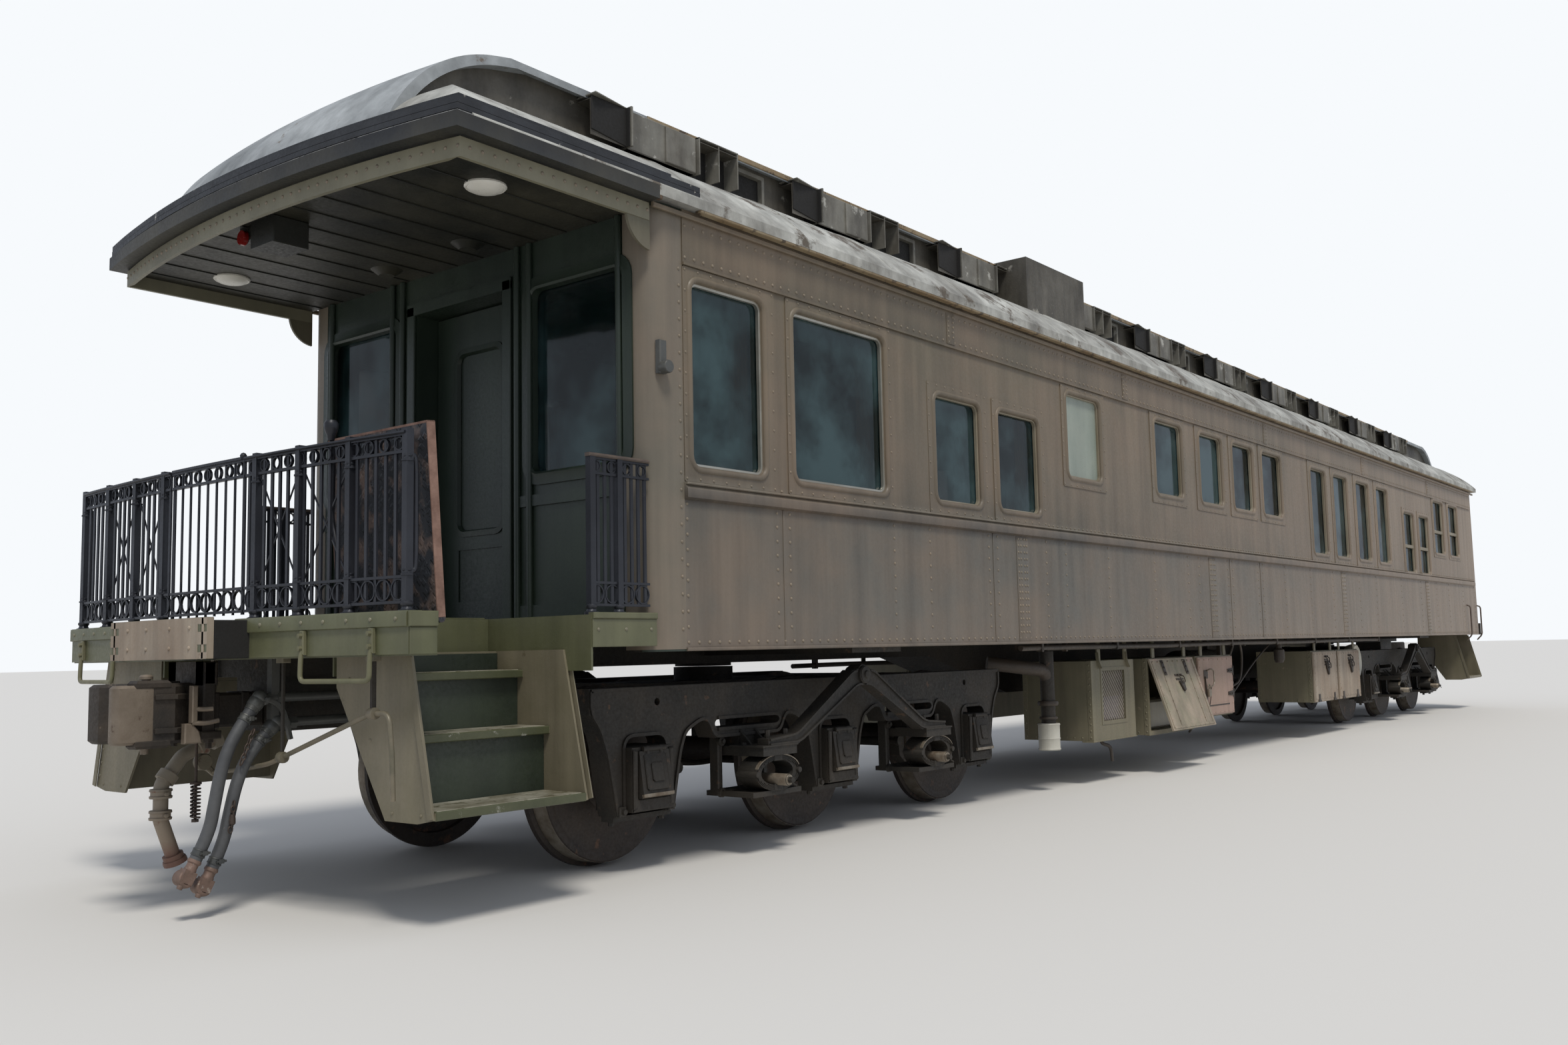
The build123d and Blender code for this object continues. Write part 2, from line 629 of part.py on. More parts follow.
with BuildPart() as platform:
    with BuildSketch(Plane.XY.offset(FLOOR_TOP - DECK_THICKNESS)):
        platform_plan(BULK_X)
        for side in (-1, 1):
            with Locations((BULK_X - (WELL_REAR + WELL_FRONT) / 2, side * (WELL_INNER + HALF_W) / 2)):
                Rectangle(WELL_REAR - WELL_FRONT, HALF_W - WELL_INNER, mode=Mode.SUBTRACT)
    extrude(amount=DECK_THICKNESS)
    with BuildSketch(Plane.XY.offset(END_SILL_LOW)):
        platform_plan(BULK_X - WELL_REAR)
    extrude(amount=FLOOR_TOP - END_SILL_LOW)
    for side in (-1, 1):
        y_pair = sorted((side * HALF_W, side * INNER_HALF))
        block(BULK_X - WELL_FRONT, BULK_X, *y_pair, APRON_LOW, FLOOR_TOP)
        y_pair = sorted((side * WELL_INNER, side * (WELL_INNER - WELL_LINING)))
        block(
            BULK_X - WELL_REAR, BULK_X - WELL_FRONT + WELL_LINING,
            *y_pair, SILL_SHALLOW, FLOOR_TOP,
        )
        x = BULK_X - WELL_FRONT
        block(x, x + WELL_LINING, *sorted((side * WELL_INNER, side * HALF_W)), SILL_SHALLOW, FLOOR_TOP)
    # Buffer beam and its plate, pierced by square holes at both ends
    block(
        BULK_X - BUFFER_FACE + 30, PLATFORM_END - 40,
        -BUFFER_HALF + 60, BUFFER_HALF - 60, BUFFER_LOW, FLOOR_TOP,
    )
    block(
        BULK_X - BUFFER_FACE, BULK_X - BUFFER_FACE + 30,
        -BUFFER_HALF, BUFFER_HALF, BUFFER_LOW, BUFFER_TOP,
    )
    for side in (-1, 1):
        with BuildSketch(Plane.YZ.offset(BULK_X - BUFFER_FACE)):
            with Locations((side * (BUFFER_HALF - 35), (BUFFER_LOW + BUFFER_TOP) / 2)):
                with GridLocations(52, 90, 1, 2):
                    Rectangle(SQUARE_HOLE, SQUARE_HOLE)
        extrude(amount=30, mode=Mode.SUBTRACT)
finish(platform.part, "platform")

# Steps under both sides of the platform
STRINGER = 12.0
TREADS = ((500, -1200, -1500), (800, -1010, -1250), (1065, -860, -1060))
STRINGER_TOP = 1160.0
STRINGER_SHAPE = (
    (-800, STRINGER_TOP), (-800, 1010), (-1170, 450), (-1395, 450), (-1500, 470),
    (-1345, STRINGER_TOP),
)


def steps(name, side, x_low, top):
    """Two slanted side plates with three treads and riser plates between them."""
    x_high = x_low + WELL_REAR - WELL_FRONT
    with BuildPart() as flight:
        for x0 in (x_low, x_high - STRINGER):
            with BuildSketch(Plane.YZ.offset(x0)):
                with BuildLine():
                    Polyline([(-side * y, min(z, top)) for y, z in STRINGER_SHAPE], close=True)
                make_face()
            extrude(amount=STRINGER)
        for z, y_in, y_out in TREADS:
            x_pair = (x_low + STRINGER, x_high - STRINGER)
            block(*x_pair, *sorted((-side * y_in, -side * y_out)), z - 32, z)
            block(*x_pair, *sorted((-side * y_in, -side * (y_in + 8))), z - 32, min(z + 270, top))
    finish(flight.part, name)


steps("steps_right", -1, BULK_X - WELL_REAR, STRINGER_TOP)
steps("steps_left", 1, BULK_X - WELL_REAR, STRINGER_TOP)
FRONT_STEPS = 60.0
front_low = FRONT_X - FRONT_STEPS - (WELL_REAR - WELL_FRONT)
steps("steps_front_right", -1, front_low, SIDE_BOTTOM)
steps("steps_front_left", 1, front_low, SIDE_BOTTOM)

# Traps that close the step wells, hinged along the end sill; the right one stands raised
TRAP_LONG = WELL_REAR - WELL_FRONT - 2 * TRAP_GAP
TRAP_WIDE = HALF_W - WELL_INNER - 2 * TRAP_GAP
TRAP_HINGE_Z = FLOOR_TOP - TRAP_THICK / 2
TRAP_HINGE_X = BULK_X - WELL_REAR + TRAP_GAP + TRAP_THICK / 2


def trap(side):
    """A flat steel lid with a rounded hinge edge, drawn closed."""
    with BuildPart() as lid:
        y_pair = sorted((side * (WELL_INNER + TRAP_GAP), side * (HALF_W - TRAP_GAP)))
        block(
            TRAP_HINGE_X, BULK_X - WELL_FRONT - TRAP_GAP,
            *y_pair, FLOOR_TOP - TRAP_THICK, FLOOR_TOP,
        )
        with BuildSketch(Plane.XZ.offset(-y_pair[0])):
            with Locations((TRAP_HINGE_X, TRAP_HINGE_Z)):
                Circle(TRAP_THICK / 2)
        extrude(amount=-(y_pair[1] - y_pair[0]))
    return lid.part


TRAP_RAISED = 94.0
with BuildPart() as trap_left:
    add(trap(1))
finish(trap_left.part, "trap_left")
with BuildPart() as trap_right:
    hinge = Axis((TRAP_HINGE_X, 0, TRAP_HINGE_Z), (0, -1, 0))
    add(trap(-1).rotate(hinge, TRAP_RAISED))
finish(trap_right.part, "trap_right")

# Railings: posts with turned feet, flat bars and rails bowed with the platform
POST_R = 17.0
BAR = 9.0
RAIL_SQUARE = 30.0
RAIL_LEVELS = (1360, 1465, 1985, RAIL_TOP - RAIL_SQUARE)
END_POSTS = (430, 760, 1110, RAIL_HALF)


def rail_arc(y0, y1, z0, thick):
    """A flat rail along the bow between two distances from the centre line."""
    middle = (y0 + y1) / 2
    with BuildPart(mode=Mode.PRIVATE) as rail:
        with BuildSketch(Plane.XY.offset(z0)):
            with BuildLine():
                near = ThreePointArc(
                    (rail_x(y0) - thick / 2, y0),
                    (rail_x(middle) - thick / 2, middle),
                    (rail_x(y1) - thick / 2, y1),
                )
                far = ThreePointArc(
                    (rail_x(y0) + thick / 2, y0),
                    (rail_x(middle) + thick / 2, middle),
                    (rail_x(y1) + thick / 2, y1),
                )
                Line(near @ 0, far @ 0)
                Line(near @ 1, far @ 1)
            make_face()
        extrude(amount=12)
    return rail.part


def post(x, y, z0, z1):
    """A square standard on a turned foot."""
    with Locations((x, y, (z0 + z1) / 2)):
        Box(2 * POST_R, 2 * POST_R, z1 - z0)
    with Locations((x, y, z0 + 12)):
        Cone(30, 20, 24)


def railing(name, side):
    """Half of the end railing and the railing beside the bulkhead, on one side of the car."""
    with BuildPart() as half:
        for z in RAIL_LEVELS:
            thick = RAIL_SQUARE if z > 2000 else 22
            add(rail_arc(side * GATE_HALF, side * RAIL_HALF, z, thick))
        for y in END_POSTS:
            post(rail_x(y), side * y, FLOOR_TOP, RAIL_TOP)
        for step in range(19):
            y = GATE_HALF + 20 + step * (RAIL_HALF - GATE_HALF - 30) / 18
            if min(abs(y - p) for p in END_POSTS) > 30:
                x = rail_x(y)
                block(
                    x - BAR / 2, x + BAR / 2,
                    side * y - BAR, side * y + BAR, RAIL_LEVELS[0], RAIL_LEVELS[3] + 6,
                )
    finish(half.part, name)


railing("railing_right", -1)
railing("railing_left", 1)


def side_railing(name, side):
    """The short railing on the side apron, between the steps and the bulkhead."""
    y = side * 1490
    with BuildPart() as short:
        for z in RAIL_LEVELS:
            block(BULK_X - 400, BULK_X, y - 10, y + 10, z, z + 12)
        for x in (-383, -205):
            post(BULK_X + x, y, FLOOR_TOP, RAIL_TOP)
        for x in (-339, -294, -250, -160, -115, -70, -25):
            block(
                BULK_X + x - BAR, BULK_X + x + BAR,
                y - BAR / 2, y + BAR / 2, RAIL_LEVELS[0], RAIL_LEVELS[3] + 6,
            )
    finish(short.part, name)


side_railing("side_railing_right", -1)
side_railing("side_railing_left", 1)

# Centre gate between the two halves of the railing
GATE_GAP = 12.0
with BuildPart() as gate:
    for z in RAIL_LEVELS:
        add(rail_arc(-GATE_HALF + GATE_GAP, GATE_HALF - GATE_GAP, z, 22))
    for step in range(9):
        y = (step - 4) * (GATE_HALF - GATE_GAP - 12) / 4
        x = rail_x(y)
        low, high = RAIL_LEVELS[0] - 10, RAIL_LEVELS[3] + 12
        if step in (0, 8):
            with Locations((x, y, (low + high) / 2)):
                Cylinder(POST_R / 2, high - low)
        else:
            block(x - BAR / 2, x + BAR / 2, y - BAR / 2, y + BAR / 2, low, high)
finish(gate.part, "gate")

# Couplers: shank, head and knuckle, with the draft housing behind
COUPLER_Z = 910.0
COUPLER_HALF_H = 150.0
COUPLER_HEAD = (
    (-1560, -95), (-1700, -190), (-1950, -170), (-1935, -60), (-1830, -35),
    (-1800, 60), (-1900, 120), (-1900, 235), (-1720, 200), (-1560, 95),
)


def coupler(name, origin_x, direction, reach):
    """A knuckle coupler: plan of the head drawn out in height, on a square shank."""
    with BuildPart() as body:
        with BuildSketch(Plane.XY.offset(COUPLER_Z - COUPLER_HALF_H)):
            with BuildLine():
                Polyline(
                    [(origin_x + direction * (x + reach), direction * y) for x, y in COUPLER_HEAD],
                    close=True,
                )
            make_face()
        extrude(amount=2 * COUPLER_HALF_H)
        tail = origin_x + direction * (-1600 + reach)
        socket = origin_x + direction * (-1200 + reach)
        block(*sorted((tail, socket)), -70, 70, COUPLER_Z - 80, COUPLER_Z + 80)
    finish(body.part, name)


coupler("coupler_rear", BULK_X, 1, 0)
coupler("coupler_front", FRONT_X, -1, REAR_NOSE_REACH - FRONT_NOSE_REACH)

# Air hoses that hang beside the coupler, with the pipes, cocks and hose couplings at their ends
HOSE_D = 56.0
BRAKE_ROUTE = (
    (-1420, -330, 910), (-1500, -325, 800), (-1550, -320, 660),
    (-1575, -315, 510), (-1592, -300, 370), (-1650, -290, 260),
)
SIGNAL_ROUTE = (
    (-1345, -330, 800), (-1425, -325, 715), (-1475, -320, 595),
    (-1505, -315, 460), (-1522, -300, 325), (-1572, -290, 215),
)


def hose(name, route):
    """A hanging hose: straight runs joined by tangent arcs as large as the runs allow."""
    points = [Vector(BULK_X + x, y, z) for x, y, z in route]
    radii = []
    for before, here, after in zip(points, points[1:], points[2:]):
        run = min((here - before).length, (after - here).length)
        turn = radians((here - before).get_angle(after - here))
        radii.append(0.45 * run / tan(turn / 2))
    print(name, "arc radii", [round(r) for r in radii])
    with BuildPart() as tube:
        with BuildLine() as path:
            FilletPolyline(*points, radius=radii)
        with BuildSketch(Plane(origin=points[0], z_dir=points[1] - points[0])):
            Circle(HOSE_D / 2)
        sweep(path=path.wires()[0])
    section = pi * HOSE_D ** 2 / 4
    print(name, "volume over section times length", tube.part.volume / (section * path.wires()[0].length))
    finish(tube.part, name)


def hose_coupling(name, route):
    """The half coupling at the foot of a hose: a collar and a rounded head with a side face."""
    before, last = [Vector(BULK_X + x, y, z) for x, y, z in route[-2:]]
    along = Plane(origin=last, z_dir=last - before)
    with BuildPart(along) as head:
        with Locations((0, 0, 25)):
            Cylinder(HOSE_D / 2 - 4, 50)
        with Locations((0, 0, 70)):
            Box(60, 50, 55)
        with Locations((0, 25, 82)):
            Cylinder(36, 40, rotation=(90, 0, 0))
    finish(head.part, name)


hose("hose_brake", BRAKE_ROUTE)
hose("hose_signal", SIGNAL_ROUTE)
hose_coupling("coupling_brake", BRAKE_ROUTE)
hose_coupling("coupling_signal", SIGNAL_ROUTE)

PIPE_R = 22.0
with BuildPart() as train_pipes:
    for route, pipe_z in ((BRAKE_ROUTE, 985), (SIGNAL_ROUTE, 862)):
        first, second = [Vector(BULK_X + x, y, z) for x, y, z in route[:2]]
        back = (first - second).normalized()
        with BuildSketch(Plane(origin=first, z_dir=back)):
            Circle(HOSE_D / 2 + 3)
        extrude(amount=60)
        elbow = first + back * 70
        with Locations(elbow):
            Sphere(36)
        with Locations(((elbow.X + BULK_X - 300) / 2, elbow.Y, elbow.Z)):
            Cylinder(PIPE_R, BULK_X - 300 - elbow.X, rotation=(0, 90, 0))
    block(BULK_X - 1330, BULK_X - 1290, -350, -310, 860, END_SILL_LOW)
finish(train_pipes.part, "train_pipes")

# Uncoupling lever of round bar under the end sill, and the steam connector beside the coupler
LEVER_X = BULK_X - 1390.0
LEVER_R = 11.0
LEVER_BEND = 38.0
LEVER_ROUTE = (
    (-30, 622), (-205, 637), (-444, 672), (-1217, 905), (-1352, 912), (-1375, 744), (-1384, 554),
)
LEVER_BRACKETS = ((-550, 690), (-1240, 890))
with BuildPart() as uncoupling_lever:
    with BuildLine() as path:
        FilletPolyline(*[(LEVER_X, y, z) for y, z in LEVER_ROUTE], radius=LEVER_BEND)
    with BuildSketch(Plane(origin=path.wires()[0] @ 0, z_dir=path.wires()[0] % 0)):
        Circle(LEVER_R)
    sweep(path=path.wires()[0])
    for y, z in LEVER_BRACKETS:
        block(LEVER_X - 14, LEVER_X + 14, y - 8, y + 8, z, END_SILL_LOW)
finish(uncoupling_lever.part, "uncoupling_lever")

STEAM_Y = 230.0
STEAM_R = 34.0
STEAM_BEND = 70.0
STEAM_ROUTE = ((-1290, 760), (-1450, 690), (-1550, 560), (-1550, 400), (-1480, 210))
with BuildPart() as steam_connector:
    with BuildLine() as path:
        FilletPolyline(*[(BULK_X + x, STEAM_Y, z) for x, z in STEAM_ROUTE], radius=STEAM_BEND)
    wire = path.wires()[0]
    with BuildSketch(Plane(origin=wire @ 0, z_dir=wire % 0)):
        Circle(STEAM_R)
    sweep(path=wire)
    for share in (0.0, 0.42, 1.0):
        with BuildSketch(Plane(origin=wire @ share, z_dir=wire % share)):
            Circle(STEAM_R + 13)
        extrude(amount=22, both=True)
    x, z = STEAM_ROUTE[0]
    block(BULK_X + x - 20, BULK_X + x, STEAM_Y - 14, STEAM_Y + 14, z - 14, END_SILL_LOW)
finish(steam_connector.part, "steam_connector")

# Cabinets under the floor: start, length, bottom, top, and which side of the car
SHEET = 14.0
BOX_FRONT = 1300.0
BOX_DEPTH = 620.0
BOX_LIP = 35.0
BOX_TOP_Z = 990.0
BOXES = (
    ("grille", 5250, 810, 350, -1),
    ("ice", 6340, 1000, 330, -1),
    ("lock", 7450, 900, 420, -1),
    ("pair_1", 10900, 900, 410, -1),
    ("pair_2", 11840, 900, 410, -1),
    ("battery_1", 5600, 1300, 410, 1),
    ("battery_2", 7000, 1300, 410, 1),
    ("water", 9900, 1900, 380, 1),
)
OPEN_BOXES = ("ice", "lock", "pair_1", "pair_2")
GRILLE_SIDE = 190.0
GRILLE_LOW = 150.0
GRILLE_HIGH = 560.0
GRILLE_DEEP = 60.0
GRILLE_BACK = 20.0
GRILLE_SHEET = 5.0
MESH_PITCH = 54.0
MESH_HOLE = 44.0
with BuildPart() as underbody_boxes:
    for kind, start, length, low, side in BOXES:
        x0 = along(start)
        x1 = x0 + length
        y_pair = sorted((side * BOX_FRONT, side * (BOX_FRONT - BOX_DEPTH)))
        block(x0, x1, *y_pair, low, BOX_TOP_Z)
        if kind in OPEN_BOXES:
            y_hollow = sorted((side * BOX_FRONT, side * (BOX_FRONT - BOX_DEPTH + SHEET)))
            block(
                x0 + BOX_LIP, x1 - BOX_LIP, *y_hollow,
                low + BOX_LIP, BOX_TOP_Z - BOX_LIP, Mode.SUBTRACT,
            )
        if kind == "grille":
            y_hollow = sorted((side * BOX_FRONT, side * (BOX_FRONT - GRILLE_DEEP)))
            block(
                x0 + GRILLE_SIDE, x1 - GRILLE_SIDE, *y_hollow,
                low + GRILLE_LOW, low + GRILLE_HIGH, Mode.SUBTRACT,
            )
        y_strap = sorted((side * BOX_FRONT, side * (BOX_FRONT - 12)))
        for x in (x0 + 120, x1 - 180):
            block(x, x + 60, *y_strap, BOX_TOP_Z - 5, SIDE_BOTTOM)
finish(underbody_boxes.part, "underbody_boxes")

# Screen of slanting wires set in the recess of the first box
start, length, low = BOXES[0][1:4]
with BuildPart() as box_grille:
    x0 = along(start) + GRILLE_SIDE
    x1 = along(start) + length - GRILLE_SIDE
    with BuildSketch(Plane.XZ.offset(BOX_FRONT - GRILLE_BACK)):
        with Locations(((x0 + x1) / 2, low + (GRILLE_LOW + GRILLE_HIGH) / 2)):
            Rectangle(x1 - x0, GRILLE_HIGH - GRILLE_LOW)
            for shift in (-MESH_PITCH / 4, MESH_PITCH / 4):
                with Locations((shift, shift)):
                    with GridLocations(MESH_PITCH, MESH_PITCH, 7, 6):
                        Rectangle(
                            MESH_HOLE / sqrt(2), MESH_HOLE / sqrt(2), rotation=45, mode=Mode.SUBTRACT,
                        )
    extrude(amount=GRILLE_SHEET)
finish(box_grille.part, "box_grille")

# Cabinet doors lie over the front of their boxes. Each hinge pin runs just outside the sheet.
DOOR_SHEET = 16.0
DOOR_OFF = 5.0
DOOR_MARGIN = 10.0
PIN_R = 9.0
ICE_DOOR_OPEN = 18.0


def cabinet_door(name, kind, hinge_at, opened=0.0):
    """A sheet door with a rolled hinge along its top, its bottom or its front edge."""
    start, length, low, side = [row[1:] for row in BOXES if row[0] == kind][0]
    x0 = along(start) + DOOR_MARGIN
    x1 = along(start) + length - DOOR_MARGIN
    y_near = side * (BOX_FRONT + DOOR_OFF)
    y_far = side * (BOX_FRONT + DOOR_OFF + DOOR_SHEET)
    z0 = low + DOOR_MARGIN
    z1 = BOX_TOP_Z - DOOR_MARGIN
    y_pin = side * (BOX_FRONT + DOOR_OFF + PIN_R)
    with BuildPart() as leaf:
        block(x0, x1, *sorted((y_near, y_far)), z0, z1)
        if hinge_at == "front":
            with Locations((x1, y_pin, (z0 + z1) / 2)):
                Cylinder(PIN_R, z1 - z0)
            pin = Axis((x1, y_pin, 0), (0, 0, 1))
        else:
            z_pin = z1 if hinge_at == "top" else z0
            with Locations(((x0 + x1) / 2, y_pin, z_pin)):
                Cylinder(PIN_R, x1 - x0, rotation=(0, 90, 0))
            pin = Axis((0, y_pin, z_pin), (side, 0, 0))
    finish(leaf.part.rotate(pin, opened), name)


cabinet_door("box_door_ice", "ice", "top", ICE_DOOR_OPEN)
cabinet_door("box_door_lock", "lock", "front")
cabinet_door("box_door_pair_1", "pair_1", "bottom")
cabinet_door("box_door_pair_2", "pair_2", "bottom")

# Tanks and cylinders under the floor: along the car (x) or across it (y), middle, radius, length
TANKS = (
    ("x", 9300, 470, 830, 190, 1500),
    ("x", 9000, -700, 850, 190, 1000),
    ("y", 13040, 0, 830, 200, 2300),
)
DOWNPIPE_PLACE = 4720
with BuildPart() as underbody_tanks:
    for axis, place, y_mid, z_mid, radius, length in TANKS:
        turn = (0, 90, 0) if axis == "x" else (90, 0, 0)
        with Locations((along(place), y_mid, z_mid)):
            Cylinder(radius, length, rotation=turn)
        for step in (-0.3, 0.3):
            x = along(place) + (step * length if axis == "x" else 0)
            y = y_mid + (step * length if axis == "y" else 0)
            block(x - 25, x + 25, y - 25, y + 25, z_mid, FLOOR_UNDER)
    # Downpipe with its elbow and wide sleeve
    x = along(DOWNPIPE_PLACE)
    with Locations((x, -1180, 760)):
        Cylinder(55, 640)
    with Locations((x, -1180, 420)):
        Cylinder(80, 200)
    block(x - 20, x + 20, -1200, -1160, 1000, FLOOR_UNDER)
    add(underframe.part, mode=Mode.SUBTRACT)
finish(underbody_tanks.part, "underbody_tanks")

# Six-wheel trucks. Heights are the real ones and lengths run from the middle of the truck.
AXLES = (-AXLE_PITCH, 0.0, AXLE_PITCH)
BAY_HALF = AXLE_PITCH / 2
BAYS = (-BAY_HALF, BAY_HALF)
FRAME_IN = 965.0
FRAME_OUT = 1095.0
FRAME_END = 2070.0
FRAME_TOP = 960.0
FRAME_BAR = 130.0
CHORD_LOW = 755.0
SLOT_HIGH = 45.0
SLOT_LONG = 560.0
SLOT_BAR = 55.0
SLOT_LOW = CHORD_LOW - SLOT_HIGH - SLOT_BAR
END_BAR = 45.0
PEDESTAL_GAP = 150.0
PEDESTAL_FOOT = 62.0
PEDESTAL_LOW = 300.0
PEDESTAL_FLARE = 62.0
KNEE_Z = 600.0
ARCH_TOP = 700.0
TIE_THICK = 26.0
RIVET_HOLE = 20.0
TRANSOM_HALF = 75.0
BOX_IN = 880.0
BOX_OUT = 1150.0
BOX_LOW = 320.0
BOX_TOP = 650.0
JOURNAL_END = 1130.0

# Bolster ends, elliptic springs, spring planks with their hangers, and side bearing arches
SEAT_TOP = 600.0
SEAT_THICK = 52.0
SEAT_HALF = 150.0
SEAT_OUT = 1335.0
SPRING_HALF = 190.0
SPRING_RISE = 97.0
SPRING_LEAVES = 30.0
SPRING_BAND = 34.0
SPRING_IN = 1180.0
SPRING_OUT = 1310.0
PLANK_THICK = 28.0
PLANK_HALF = 215.0
HANGER = 34.0
PIN_OUT = 1395.0
SPRING_PIN_R = 32.0
ARCH_IN = 1245.0
ARCH_OUT = 1325.0
ARCH_APEX = 1005.0
ARCH_FOOT = 930.0
BEARING_R = 50.0

# Brakes: a shoe against each wheel, hung from the transoms and joined in pairs by a beam
SHOE_GAP = 8.0
SHOE_THICK = 66.0
SHOE_ANGLE = 22.0
SHOE_IN = 728.0
SHOE_OUT = 806.0
BEAM_R = 25.0
BEAM_REACH = TREAD_R + SHOE_GAP + SHOE_THICK + 14
BRAKES = ((-AXLE_PITCH, 1), (0.0, 1), (AXLE_PITCH, -1))


def side_frame(x_mid):
    """Outline of a cast side frame: chord, slotted bays between the pedestals and arched box openings."""
    foot = PEDESTAL_GAP + PEDESTAL_FOOT
    knee = foot + PEDESTAL_FLARE
    outer = AXLE_PITCH + knee
    with BuildLine() as outline:
        Polyline(
            (x_mid - FRAME_END, FRAME_TOP - FRAME_BAR), (x_mid - FRAME_END, FRAME_TOP),
            (x_mid + FRAME_END, FRAME_TOP), (x_mid + FRAME_END, FRAME_TOP - FRAME_BAR),
        )
        ThreePointArc(
            (x_mid + FRAME_END, FRAME_TOP - FRAME_BAR),
            (x_mid + outer + 35, ARCH_TOP + 38), (x_mid + outer, KNEE_Z),
        )
        Polyline(
            (x_mid + outer, KNEE_Z), (x_mid + AXLE_PITCH + foot, PEDESTAL_LOW),
            (x_mid - AXLE_PITCH - foot, PEDESTAL_LOW), (x_mid - outer, KNEE_Z),
        )
        ThreePointArc(
            (x_mid - outer, KNEE_Z), (x_mid - outer - 35, ARCH_TOP + 38),
            (x_mid - FRAME_END, FRAME_TOP - FRAME_BAR),
        )
    make_face(outline.edges())
    for bay in BAYS:
        x = x_mid + bay
        crown = SLOT_LONG / 2 + 120
        with BuildLine() as opening:
            Polyline(
                (x - BAY_HALF + knee, KNEE_Z), (x - BAY_HALF + foot, PEDESTAL_LOW),
                (x + BAY_HALF - foot, PEDESTAL_LOW), (x + BAY_HALF - knee, KNEE_Z),
            )
            ThreePointArc(
                (x + BAY_HALF - knee, KNEE_Z), (x + BAY_HALF - knee - 45, CHORD_LOW - 52),
                (x + crown, CHORD_LOW),
            )
            Polyline(
                (x + crown, CHORD_LOW), (x + SLOT_LONG / 2 + 60, CHORD_LOW),
                (x + SLOT_LONG / 2, SLOT_LOW), (x - SLOT_LONG / 2, SLOT_LOW),
                (x - SLOT_LONG / 2 - 60, CHORD_LOW), (x - crown, CHORD_LOW),
            )
            ThreePointArc(
                (x - crown, CHORD_LOW), (x - BAY_HALF + knee + 45, CHORD_LOW - 52),
                (x - BAY_HALF + knee, KNEE_Z),
            )
        make_face(opening.edges(), mode=Mode.SUBTRACT)
        with Locations((x, CHORD_LOW - SLOT_HIGH / 2)):
            SlotOverall(SLOT_LONG, SLOT_HIGH, mode=Mode.SUBTRACT)
    for axle in AXLES:
        with Locations((x_mid + axle, (ARCH_TOP + BOX_LOW - 100) / 2)):
            RectangleRounded(2 * PEDESTAL_GAP, ARCH_TOP - BOX_LOW + 100, 45, mode=Mode.SUBTRACT)
    for axle in (-1, 1):
        with Locations((x_mid + axle * (AXLE_PITCH - 97), FRAME_TOP - 84)):
            Circle(RIVET_HOLE, mode=Mode.SUBTRACT)


